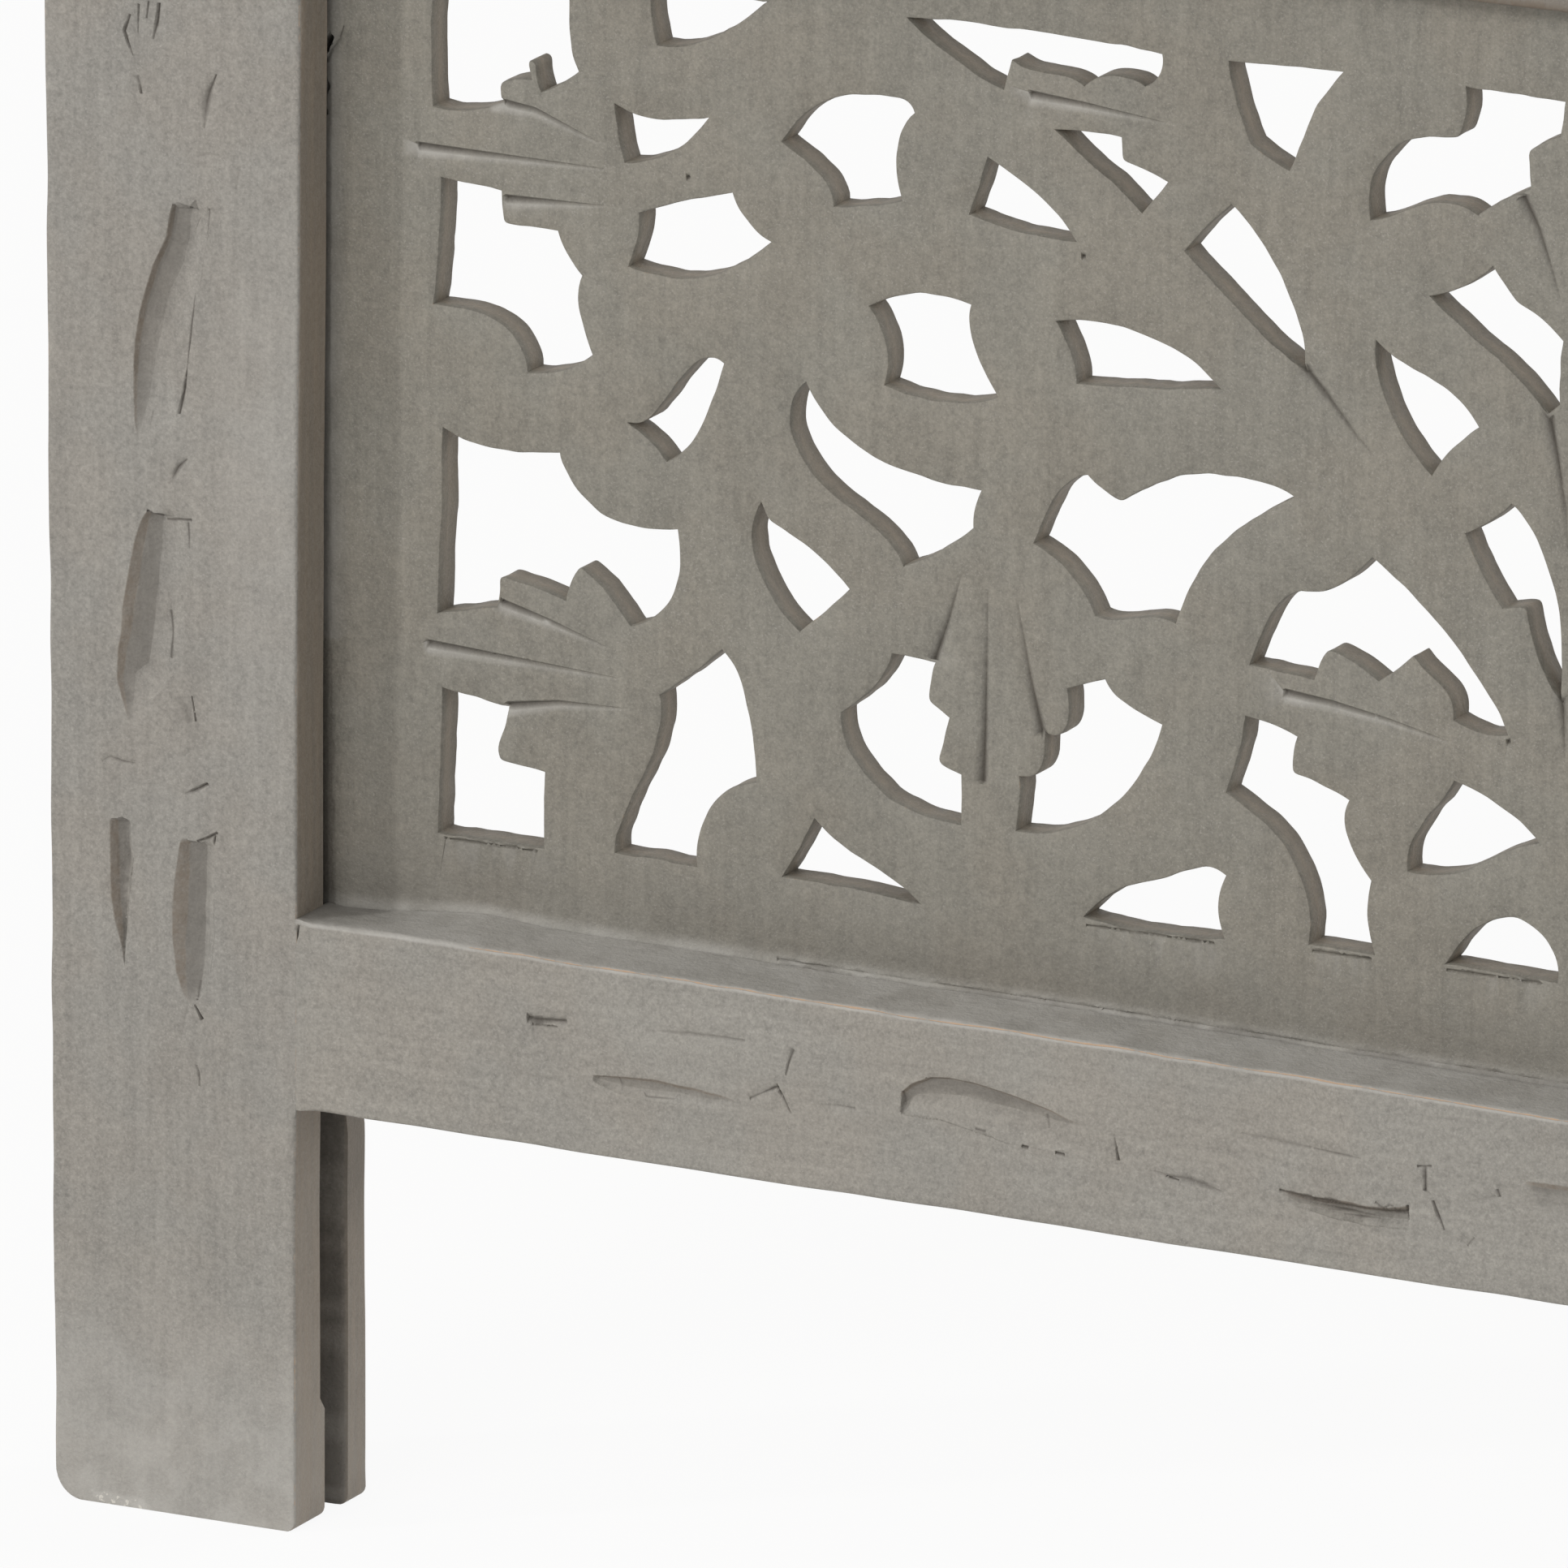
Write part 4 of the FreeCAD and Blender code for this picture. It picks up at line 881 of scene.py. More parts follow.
def unit_paths(path, rows):
    """A path of hundredths laid out on every row and its mirror image, in millimetres, each with
    whether its hand is kept."""
    share = np.asarray(path, float) * HUNDREDTH
    for foot, height, on_head in rows:
        rise = 1.0 - share[:, 1] if on_head else share[:, 1]
        up = foot + rise * height
        yield np.column_stack([CARVING_LEFT + share[:, 0] * HALF_UNIT_WIDTH, up]), not on_head
        yield np.column_stack([CARVING_RIGHT - share[:, 0] * HALF_UNIT_WIDTH, up]), on_head


def board_cuts(name, panel, settings):
    """Every cut on a board's face: its path, half widths, depths, lean and raggedness. A groove
    that runs more across than up has a steep upper side and a gentle lower one."""
    rows = board_rows(name)
    slim, wide = settings.groove_tail_width / MM / 2, settings.groove_width / MM / 2
    shallow, deep = settings.groove_tail_depth / MM, settings.groove_depth / MM
    for groove in FAN_GROOVES:
        for path, kept in unit_paths(groove, rows):
            across, up = np.abs(path[-1] - path[0])
            lean = (UPPER_SHARE, LOWER_SHARE) if kept else (LOWER_SHARE, UPPER_SHARE)
            lean = lean if across > up else EVEN_LEAN
            yield path, (slim, wide), (shallow, deep), lean, GROOVE_RAGGEDNESS
    scored = (slim, slim * SCORE_SPREAD), [shallow * share for share in SCORE_DEPTH_SHARES]
    for line in SCORED_LINES:
        for path, _ in unit_paths(line, rows):
            yield path, *scored, EVEN_LEAN, SCORE_RAGGEDNESS
    for dot in AWL_DOTS:
        half, depth = wide * DOT_WIDTH_SHARE, deep * DOT_DEPTH_SHARE
        for path, _ in unit_paths((dot, (dot[0] + DOT_LENGTH, dot[1])), rows):
            yield path, (half, half), (depth, depth), EVEN_LEAN, DOT_RAGGEDNESS
    if (panel, name) == SHOWN_BOARD:
        for cut in BOARD_SPLINTERS:
            yield photo_cut(cut, BOARD_FRONT)
        yield seam_cut(name, panel)


def seam_cut(name, panel):
    """The broken seam between a board and the sill of paint under it, as one ragged cut."""
    random = np.random.default_rng(SEAM_SEED)
    along = np.linspace(SEAM_START, RAIL_RIGHT, SEAM_POINTS)
    path = np.column_stack([along, sill_line(name, panel, along) + SEAM_RISE])
    half_widths = random.uniform(*SEAM_HALF_WIDTHS, SEAM_PIECES)
    depths = random.uniform(*SEAM_DEPTHS, SEAM_PIECES)
    return path, half_widths, depths, EVEN_LEAN, SEAM_RAGGEDNESS


def face_grid(rim, spacing):
    """Points of a square grid that lie away from the outline: no outline point is in a grid
    point's own cell or in a cell beside it."""
    low, high = rim.min(0), rim.max(0)
    counts = np.floor((high - low) / spacing).astype(int)
    columns, rows = np.meshgrid(np.arange(1, counts[0]), np.arange(1, counts[1]), indexing="ij")
    cells = np.column_stack([columns.ravel(), rows.ravel()])
    wide = counts[1] + 3
    taken = np.floor((rim - low) / spacing + 0.5).astype(int)
    codes = np.unique(np.concatenate([
        (taken[:, 0] + i) * wide + taken[:, 1] + j for i in (-1, 0, 1) for j in (-1, 0, 1)
        if i == 0 or j == 0
    ]))
    free = cells[~np.isin(cells[:, 0] * wide + cells[:, 1], codes)]
    return low + free * spacing


def hole_rings(rim, after, outer, settings, seed):
    """A board's outline with its hand wobble, and the walls of its holes as rings of (across, up,
    depth): the outline moved inwards by an inset at each depth, first and last at the lips."""
    wobble = square_noise(rim, WOBBLE_CELL, seed)
    wobble = wobble + FINE_WOBBLE * square_noise(rim, FINE_WOBBLE_CELL, seed + 5)
    miter = inward_miter(rim, after)
    rim = rim + miter * np.where(outer, 0.0, wobble * settings.wobble / MM)[:, None]
    lip = settings.lip / MM * (1.0 + LIP_SPREAD * square_noise(rim, LIP_CELL, seed + 1))
    lip = np.where(outer, SHARP_LIP, lip)
    rough = np.where(outer, 0.0, WALL_ROUGHNESS * square_noise(rim, WALL_CELL, seed + 2))
    face = np.zeros(len(rim))
    inset_depths = (
        (lip, face),
        (BEVEL_SHARE * lip, BEVEL_SHARE * lip),
        (face, lip),
        (rough, face + WALL_MIDDLE),
        (rough * 0.5, BOARD_THICKNESS - 0.5 * lip),
        (0.5 * lip, face + BOARD_THICKNESS),
    )
    return rim, [
        np.column_stack([rim + miter * inset[:, None], depth]) for inset, depth in inset_depths
    ]


def ring_triangles(after, rings):
    """Two triangles in each cell between one ring and the next."""
    here = np.arange(len(after))
    walls = []
    for top in range(0, (rings - 1) * len(after), len(after)):
        low = top + len(after)
        walls.append(np.column_stack([top + here, low + here, low + after]))
        walls.append(np.column_stack([top + here, low + after, top + after]))
    return np.concatenate(walls)


def board_solid(name, panel, cuts, step, grid, settings, seed):
    """A board as (across, up, depth), still flat: the walls of its holes, a face whose points
    follow its cuts, and a plain back."""
    outline = front_outline(*node_surface(panel + "_" + name, panel))
    rim, after, outer = softened_outline(*outline, step)
    rim, rings = hole_rings(rim, after, outer, settings, seed)
    spacing = max(FINEST_MARK_STEP, step * MARK_STEP_SHARE)
    inner = [face_grid(rim, grid)]
    for path, half_widths, _, lean, _ in cuts:
        offsets = (-lean[0], -lean[0] / 2, 0.0, 0.1, lean[1] / 2, lean[1])
        inner.append(groove_rows(path, half_widths, spacing, offsets))
    if (panel, name) == SHOWN_BOARD:
        inner.append(edge_rows(name, panel, spacing))
    front, front_triangles = filled(rings[0][:, :2], after, np.concatenate(inner))
    back, back_triangles = filled(rings[-1][:, :2], after, np.zeros((0, 2)))
    shift = len(rim) * len(rings)
    solid = np.concatenate(rings + [
        np.column_stack([front, np.zeros(len(front))]),
        np.column_stack([back, np.full(len(back), BOARD_THICKNESS)]),
    ])
    corners = np.concatenate([
        ring_triangles(after, len(rings)),
        front_triangles + shift,
        back_triangles[:, ::-1] + shift + len(front),
    ])
    return welded(quantised(solid), corners)


def carve_board(panel, name, step, grid, settings, material):
    """A board whose holes are cut through with softened outlines. Its face is sunk by its cuts
    and by a slow swell, both of them fading towards the back."""
    node = panel + "_" + name
    seed = len(node) + PIECE_SEEDS[panel] * 7
    cuts = list(board_cuts(name, panel, settings))
    solid, corners = board_solid(name, panel, cuts, step, grid, settings, seed)
    flat, depth = solid[:, :2], solid[:, 2]
    sink, bottom = sunk_by(flat, cuts)
    swell = sum(
        height * (1.0 + square_noise(flat, cell, seed + 3 + index))
        for index, (height, cell) in enumerate(SWELLS)
    )
    fade = falling(depth, CUT_REACH)
    back = BOARD_FRONT + (depth + (sink + swell) * fade)
    placed = np.column_stack([flat[:, 0], back, flat[:, 1]])
    masks = board_masks(flat, depth, name, panel, seed)
    # Dirt and painted shade at the bottom of each groove
    dirt = bottom * clamped(sink / DARKEST_GROOVE_DEPTH) * fade
    masks["dirt"] = np.maximum(masks["dirt"], dirt)
    # Painted light on each groove's sides, away from its bottom
    pale = GROOVE_PAINTED_LIGHT * clamped(sink / DARKEST_DEPTH) * (1.0 - bottom) * fade
    masks["washed"] = np.maximum(masks["washed"], pale)
    return make_piece(
        panel + "_carved_" + name, panel, node, placed, corners, placed, masks, material
    )


def sill_rise(along):
    """How far the old paint packed on a rail's head has climbed where it meets the board."""
    from_end = np.minimum(along - RAIL_LEFT, RAIL_RIGHT - along)
    return np.interp(from_end, *SILL_RISE)


def sill_line(name, panel, along):
    """The height at which a board comes out of the paint on the rail below it."""
    lean = np.interp(along, *HEAD_LEAN) * ((panel, name) == SHOWN_BOARD)
    return BOARD_OPENINGS[name] + sill_rise(along) + lean


def edge_rows(name, panel, spacing):
    """Points that lie close together above the sill under a board and beside its left stile,
    where its dirt ends sharply."""
    across = np.arange(STILE_WIDTH, RAIL_RIGHT, spacing)
    line = sill_line(name, panel, across)
    up = np.arange(line[0], line[0] + END_ROW_HEIGHT, spacing)
    rows = [np.column_stack([across, line + rise]) for rise in EDGE_OFFSETS]
    rows += [
        np.column_stack([np.full(len(up), STILE_WIDTH + offset), up]) for offset in EDGE_OFFSETS
    ]
    return np.concatenate(rows)


def board_masks(flat, depth, name, panel, seed):
    """Where a board is worn, dirty, cut through, stained or paler, and where it gets painted shade
    and painted light. Dirt and painted shade lie in the slit beside the left stile, and dirt in a
    broken line along the sill below. Above that the face is pale and then darker with painted
    shade, more in the corner by the left stile. Painted light lightens it beside the stile higher
    up, and painted shade darkens the holes' walls further in."""
    across, up = flat[:, 0], flat[:, 1] - BOARD_OPENINGS[name]
    over = flat[:, 1] - sill_line(name, panel, across)
    shown = (panel, name) == SHOWN_BOARD
    # The slit: dirt with painted shade in the gap beside the left stile
    slit = np.interp(up, *SLIT_WIDTHS) * line_value(up, SLIT_WAVER, seed)
    beside = clamped((STILE_WIDTH + slit - across) / SLIT_BLUR) * np.interp(up, *SLIT_DARKNESS)
    thick = line_value(across, SEAM_THICKNESS, seed + 6)
    broken = eased(line_value(across, SEAM_BREAKS, seed + 7))
    start = SEAM_START if shown else STILE_WIDTH
    seam = SEAM_DIRT * clamped((thick - over) / SEAM_RISE) * broken * (across > start)
    # Painted shade above the sill and in the lower corner by the left stile, made uneven
    low_painted_shade = faded(LOW_PAINTED_SHADE, over) * eased(over / SILL_WASH_END) + faded(WIDE_PAINTED_SHADE, over)
    in_corner = eased((STILE_WIDTH + CORNER_WIDTH - across) / CORNER_BLUR)
    uneven = face_value(across, up, PAINTED_SHADE_WAVER, seed + 8)
    walls = eased((depth - WALL_STAIN_START) / WALL_STAIN_BLUR)
    walls = walls * (depth < BOARD_THICKNESS - WALL_STAIN_END)
    # Painted shade further in on the holes' walls
    far_in = clamped((depth - WALL_SHADE_START) / WALL_SHADE_DEPTH)
    far_in = far_in * (depth < BOARD_THICKNESS - ON_FACE)
    # Painted light beside the left stile, higher up
    painted_light_by_stile = faded(STILE_PAINTED_LIGHT, across - STILE_WIDTH) * (up > STILE_PAINTED_LIGHT_START)
    return {
        "wear": LIP_WEAR * falling(depth, LIP_WEAR_DEPTH) * (depth > FACE_DEPTH),
        "dirt": np.maximum(beside, seam) * (depth < FRONT_REACH),
        "dusk": (low_painted_shade + faded(CORNER_PAINTED_SHADE, up) * in_corner) * uneven,
        "wall": WALL_SHADE * far_in,
        "stain": WALL_STAIN * walls,
        "washed": np.maximum(painted_light_by_stile, faded(SILL_WASH, over)),
    }


# Stiles and rails


SHOWN_STILE = "left_panel_left_stile"
SHOWN_RAIL = "left_panel_bottom_rail"

# Places near an arris and near a bar's ends, and the arrises at its ends and where it is joined
NEAR_ARRIS = np.array((0.0, 0.22, 0.5, 0.85, 1.4))
STILE_ENDS = np.array((0.0, 0.25, 0.55, 0.95, 1.5, 2.2, 3.1, 4.2, 5.6, 7.2))
RAIL_ENDS = np.array((0.0, 0.3, 0.8, 1.6, 2.8, 4.5))
SIDE_TOLERANCE = 0.1
ON_ARRIS = 0.3
END_ARRIS = 0.2
END_REACH = 6.0
JOINED_ARRIS = 0.03

# How an arris wanders, the cells of the noises that the four faces waver by, and how round a
# foot's inner corner is beside its outer one
ARRIS_WAVER = (1.0, 0.45, (9.0, 30.0))
LEFT_CELL = 34.0
RIGHT_CELL = 31.0
FRONT_CELL = (17.0, 38.0)
REAR_CELL = (19.0, 41.0)
INNER_FOOT_SHARE = 0.35

# How deep behind a bar's front its marks reach, and what tells the bars' paint patterns apart
MARK_REACH = 5.0
PLACE_SHIFT = 37.0

# A rail's groove and tenons, the lumps of old paint on its head, and how strong its marks are
RAIL_CHEEK = BOARD_FRONT - 0.2
TENON_ROOT = 4.0
TENON_SHOULDER = 0.5
LUMPS = 0.13
LUMP_REACH = 3.0
LUMP_CELL = (4.5, 3.0)
RAIL_JOINED_REACH = 2.0
HEAD_WEAR_START = 72.0
LEDGE = 0.7
LEDGE_DIRT = 0.3
LEDGE_BREAKS = (0.5, 1.2, 7.0)
HEAD_REACH = 0.6
# Painted light over the rail's head
HEAD_PAINTED_LIGHT = 0.7
# Painted shade along a foot that lies over a board
UNDER_PAINTED_SHADE = 0.8
UNDER_START = 1.15
UNDER_REACH = 2.4
# The left stile's painted shadow on the head, with its slanting edge
STILE_PAINTED_SHADOW = 0.8
SHADOW_SLOPE = 1.1
SHADOW_BLUR = 3.0
RAIL_WEAR = 0.55
RAIL_WEAR_REACH = 0.65

# A stile's marks: how strong each is, with its reach where there are two, and where each starts
# and how softly. Then its groove's cheeks, and what tells a right stile's chances from a left one's
# The groove's grime is dirt with painted shade in its deep slot, less on the chisel marks
GROOVE_GRIME_AND_SHADE = 0.5
CHISELLED = 0.3
CHISEL_SLANT = (0.9, 0.5)
CHISEL_CELL = (0.8, 5.0)
CHISEL_LEVEL = 0.4
# Painted shade on the leg's inner side, more on its back cheek, with a painted shadow there just
# under the bottom rail
LEG_PAINTED_SHADE = 0.2
BACK_PAINTED_SHADE = 0.08
UNDER_RAIL_PAINTED_SHADOW = 0.55
UNDER_RAIL_START = 40.0
UNDER_RAIL_BLUR = 12.0
CHIP_LEFT = 5.0
CHIP_RIGHT = 14.0
CHIP_HEIGHT = 1.6
INNER_STAIN = 0.45
GROOVE_STAIN = 0.15
STILE_WEAR = 0.7
STILE_WEAR_REACH = 1.0
FOOT_WASH = (0.6, 46.0)
RUBBED = (0.22, 60.0)
RUBBED_HEIGHT = 165.0
RUBBED_START = 24.0
RUBBED_BLUR = 10.0
PACKED = 0.6
CHEEK_STEP = 1.5
BACK_CHEEK_PROUD = 0.55
PROUD_START = 3.0
PROUD_BLUR = 6.0
RIGHT_STILE_SEED = 50
CHEEK_STEP_HEIGHT = 19.0
CHEEK_STEP_BLUR = 1.4

# A struck hollow: its depth at the foot of its wall and at its far edge as shares, how sharply it
# is cut off, how ragged its lip is, how its depth and its painted shade waver, the least gap
# between its lines, the points beside them, how softly its painted shade starts and ends, and how
# strong that painted shade is on its wall, slope and floor
FOOT_SHARE = 0.6
FAR_SHARE = 0.2
CUT_OFF = 0.35
LIP_RAGGEDNESS = 0.07
LIP_RAGGED_CELL = 2.6
HOLLOW_WAVER = (1.0, 0.2, (2.6, 0.9))
HOLLOW_PAINTED_SHADE_WAVER = (1.0, 0.45, (8.0, 1.0))
LINE_GAP = 0.02
LINE_OFFSETS = (-0.13, 0.0, 0.13)
MASK_BLUR = 0.24
MASK_RISE = 3.0
WALL_SHADE_STRENGTH = 0.75
SLOPE_STRENGTH = 0.8
SLOPE_FADE = 0.45
FLOOR_STRENGTH = 0.3

# Steps between a bar's points, for the bars that the photograph shows and for the others
SHOWN_STEPS = {
    "front": 1.6, "side": 3.0, "low": 2.0, "high": 8.0, "mark": 0.6, "shown_height": 270.0,
}
PLAIN_STEPS = {
    "front": 3.0, "side": 5.0, "low": 5.0, "high": 7.0, "mark": 1.2, "shown_height": 100.0,
}

# Where chance marks start on a stile and on the shown rail, and the length that has one of them
STILE_MARKS_START = 20.0
SHOWN_RAIL_END = 300.0
CUT_SPACING = 40.0
STILE_HOLLOW_SPACING = 90.0
RAIL_HOLLOW_SPACING = 100.0
NO_MARKS = ((), ())

# Chance marks: cracks run along the grain and nicks across it
CUT_FROM_SIDE = 2.0
CUT_FROM_END = 8.0
CRACK_LENGTHS = (1.5, 9.0)
CRACK_LEAN = 0.5
NICK_CHANCE = 0.3
NICK_LENGTH = 0.4
NICK_REACH = 3.0
CUT_HALF_WIDTHS = (0.22, 0.4)
CUT_DEPTHS = (0.15, 0.45)
CUT_TAIL_DEPTH = 0.1
CUT_TAIL_SHARE = 0.6
HOLLOW_FROM_NEAR = 4.0
HOLLOW_FROM_FAR = 9.0
HOLLOW_FROM_LOW = 10.0
HOLLOW_FROM_HIGH = 45.0
HOLLOW_POINTS = 6
HOLLOW_LENGTHS = (14.0, 36.0)
HOLLOW_WIDTHS = (3.0, 7.5)
HOLLOW_BOWS = (-2.5, 1.0)
SWELLING_TURN = (0.15, 0.85)
SWELLING_WIDTH = (0.35, 0.65)
ROUND_END = 2.6
HOLLOW_DEPTHS = (0.5, 1.0)
HOLLOW_LINE_SHARES = (0.0, 0.14, 0.45, 1.0)


def run_stops(length, step):
    """Places along a straight run: close together by both its ends, then a step apart."""
    if length < 4.0 * NEAR_ARRIS[-1]:
        return np.linspace(0.0, length, 4)
    inner = length - 2.0 * NEAR_ARRIS[-1]
    middle = NEAR_ARRIS[-1] + np.linspace(0.0, inner, max(2, int(np.ceil(inner / step)) + 1))
    return np.concatenate([NEAR_ARRIS[:-1], middle, length - NEAR_ARRIS[-2::-1]])


def sampled_profile(corners, step):
    """A profile's corners joined by straight runs of close points."""
    corners = np.asarray(corners, float)
    runs = []
    for start, end in zip(corners[:-1], corners[1:]):
        length = np.linalg.norm(end - start)
        share = run_stops(length, step) / length
        runs.append(start + share[:-1, None] * (end - start))
    return np.concatenate(runs + [corners[-1:]])


def bar_profile(width, grooves):
    """The corners of a bar's other faces, from its front's far arris round the back to its near
    one. A groove is (near or far side, depth, front cheek)."""
    near, far = [(0.0, PANEL_THICKNESS), (0.0, 0.0)], [(width, 0.0), (width, PANEL_THICKNESS)]
    for side, depth, cheek in grooves:
        if side == "far":
            floor = width - depth
            far[1:1] = [(width, cheek), (floor, cheek), (floor, GROOVE_BACK), (width, GROOVE_BACK)]
        else:
            near[1:1] = [(0.0, GROOVE_BACK), (depth, GROOVE_BACK), (depth, cheek), (0.0, cheek)]
    return far + near


def bar_solid(width, profile, stations, front_marks, front_step):
    """A sharp bar as (across, back, along): its front is filled with triangles inside its rim,
    its other faces are the profile carried along the stations, and its ends are filled."""
    stops = run_stops(width, front_step)
    low, high = stations[0], stations[-1]
    rim = np.concatenate([
        np.column_stack([stops, np.full(len(stops), low)])[:-1],
        np.column_stack([np.full(len(stations), width), stations])[:-1],
        np.column_stack([stops, np.full(len(stops), high)])[:0:-1],
        np.column_stack([np.zeros(len(stations)), stations])[:0:-1],
    ])
    after = np.roll(np.arange(len(rim)), -1)
    across, along = np.meshgrid(stops[1:-1], stations[1:-1], indexing="ij")
    grid = np.column_stack([across.ravel(), along.ravel()])
    after_start = front_marks > (ON_FACE, low + ON_FACE)
    before_end = front_marks < (width - ON_FACE, high - ON_FACE)
    clear = (after_start & before_end).all(1)
    front, front_triangles = filled(rim, after, np.concatenate([grid, front_marks[clear]]))
    front = np.column_stack([front[:, 0], np.zeros(len(front)), front[:, 1]])
    columns, rows = len(profile), len(stations)
    sides = np.column_stack([
        np.repeat(profile, rows, axis=0), np.tile(stations, columns),
    ])
    side_triangles = strip_triangles(columns, rows, False)
    end_rim = np.concatenate([np.column_stack([stops, np.zeros(len(stops))])[:-1], profile[:-1]])
    end, end_triangles = filled(end_rim, np.roll(np.arange(len(end_rim)), -1), np.zeros((0, 2)))
    foot = np.column_stack([end, np.full(len(end), low)])
    head = np.column_stack([end, np.full(len(end), high)])
    shifts = np.cumsum([0, len(front), len(sides), len(foot)])
    return (
        np.concatenate([front, sides, foot, head]),
        np.concatenate([
            front_triangles + shifts[0],
            side_triangles + shifts[1],
            end_triangles[:, ::-1] + shifts[2],
            end_triangles + shifts[3],
        ]),
    )


def block(low, high):
    """A plain block's corners and outward triangles: each face is two triangles."""
    corners = np.array([
        [(low, high)[i][0], (low, high)[j][1], (low, high)[k][2]]
        for i in (0, 1) for j in (0, 1) for k in (0, 1)
    ], float)
    faces = ((0, 4, 5, 1), (6, 2, 3, 7), (2, 0, 1, 3), (4, 6, 7, 5), (2, 6, 4, 0), (1, 5, 7, 3))
    triangles = [(a, b, c) for a, b, c, d in faces] + [(a, c, d) for a, b, c, d in faces]
    return corners, np.array(triangles)


def rounded_arrises(points, low, high, radius):
    """A box's surface with its arrises rounded: each point's offset from the box shrunk by the
    radius is scaled by its longest part over its length."""
    reach = radius[:, None]
    core = np.clip(points, low + reach, high - reach)
    away = points - core
    length = np.linalg.norm(away, axis=1, keepdims=True)
    longest = np.abs(away).max(1, keepdims=True)
    return core + away * np.where(length > 0, longest / np.maximum(length, TINY), 1.0)


def hollow_sink(spots, hollow, along_axis, seed):
    """Depth of a struck hollow, and the painted shade on its steep wall and on its slope. Across it
    the depth goes in straight lines: nothing at the lip, a share of it at the foot, all of it at
    the band, a share at the far edge and then nothing. It is cut off at its deep end and runs out
    at the other."""
    along, across = spots[:, along_axis], spots[:, 1 - along_axis]
    low, high = np.sort(hollow["lip"][:, along_axis])[[0, -1]]
    near = np.flatnonzero((along > low) & (along < high))
    place, side = along[near], across[near]
    ragged = LIP_RAGGEDNESS * line_noise(place, LIP_RAGGED_CELL, seed)
    lines = []
    for key in HOLLOW_LINES:
        line = hollow[key][np.argsort(hollow[key][:, along_axis])]
        lines.append(np.interp(place, line[:, along_axis], line[:, 1 - along_axis]))
    way = np.sign(lines[-1] - lines[0])
    run = (side - lines[0] + ragged) * way
    foot, band, far = [np.maximum((line - lines[0]) * way, LINE_GAP) for line in lines[1:]]
    down_slope = (run - foot) / np.maximum(band - foot, LINE_GAP)
    up_floor = (run - band) / np.maximum(far - band, LINE_GAP)
    share = np.select(
        (run <= 0.0, run < foot, run < band, run < far),
        (0.0, FOOT_SHARE * run / foot, FOOT_SHARE + (1.0 - FOOT_SHARE) * down_slope,
         1.0 - (1.0 - FAR_SHARE) * up_floor),
        0.0,
    )
    from_end = high - place if hollow["deep_end"] == "high" else place - low
    run_out = 1.0 - (from_end / (high - low)) ** 3
    present = clamped(from_end / CUT_OFF) * run_out
    rough = face_value(place, side, HOLLOW_WAVER, seed + 1)
    sink, wall, dusk = np.zeros((3, len(spots)))
    sink[near] = hollow["depth"] * share * present * rough
    wall[near], dusk[near] = hollow_masks(run, (foot, band, far), present, hollow)
    dusk[near] *= face_value(place, side, HOLLOW_PAINTED_SHADE_WAVER, seed + 2)
    return sink, wall, dusk


def hollow_masks(run, lines, present, hollow):
    """How much painted shade each spot of a hollow has on its steep wall, and how much elsewhere:
    darkest on the slope below the wall, and fading over the floor's first half."""
    foot, band, far = lines

    def between(start, end):
        past_start = clamped(0.5 + (run - start) / MASK_BLUR)
        return past_start * clamped(0.5 + (end - run) / MASK_BLUR)

    shown = clamped(present * MASK_RISE)
    shade = hollow.get("shade", 1.0)
    down_slope = clamped((run - foot) / (band - foot + LINE_GAP))
    slope = SLOPE_STRENGTH - SLOPE_FADE * (2.0 - shade) * down_slope
    fading = clamped(1.0 - 2.0 * (run - band) / (far - band + LINE_GAP))
    floor = FLOOR_STRENGTH * between(band, far) * fading
    dusk = np.maximum(between(foot, band) * slope, floor) * shown * shade
    return WALL_SHADE_STRENGTH * between(0.0, foot) * shown, dusk


def photo_hollow(hollow):
    """A hollow's lines moved from photo pixels to the panel's front."""
    lines = {key: photo_points(hollow[key], 0.0) for key in HOLLOW_LINES}
    return hollow | lines


def photo_cut(cut, back=0.0):
    """A cut moved from photo pixels to a face that far back, with even sides."""
    pixels, half_widths, depths = cut
    return photo_points(pixels, back), half_widths, depths, EVEN_LEAN, PHOTO_CUT_RAGGEDNESS


def laid(path, along_axis):
    """Rows of (across, along), turned round where a bar lies across."""
    return path if along_axis == 1 else path[:, ::-1]


def chance_cuts(random, width, low, high, along_axis, spacing):
    """Short cracks along the grain and nicks across it, scattered over a bar's front."""
    cuts = []
    for _ in range(int((high - low) / spacing)):
        across = random.uniform(CUT_FROM_SIDE, width - CUT_FROM_SIDE)
        along = random.uniform(low + CUT_FROM_END, high - CUT_FROM_END)
        length, lean = random.uniform(*CRACK_LENGTHS), random.normal(0.0, CRACK_LEAN)
        if random.random() < NICK_CHANCE:
            length, lean = NICK_LENGTH, random.uniform(-NICK_REACH, NICK_REACH)
        path = np.array([(across, along), (across + lean, along + length)])
        half = random.uniform(*CUT_HALF_WIDTHS)
        deep = random.uniform(*CUT_DEPTHS)
        tapered = (half, half * CUT_TAIL_SHARE), (deep, CUT_TAIL_DEPTH)
        cuts.append((laid(path, along_axis), *tapered, EVEN_LEAN, CHANCE_CUT_RAGGEDNESS))
    return cuts


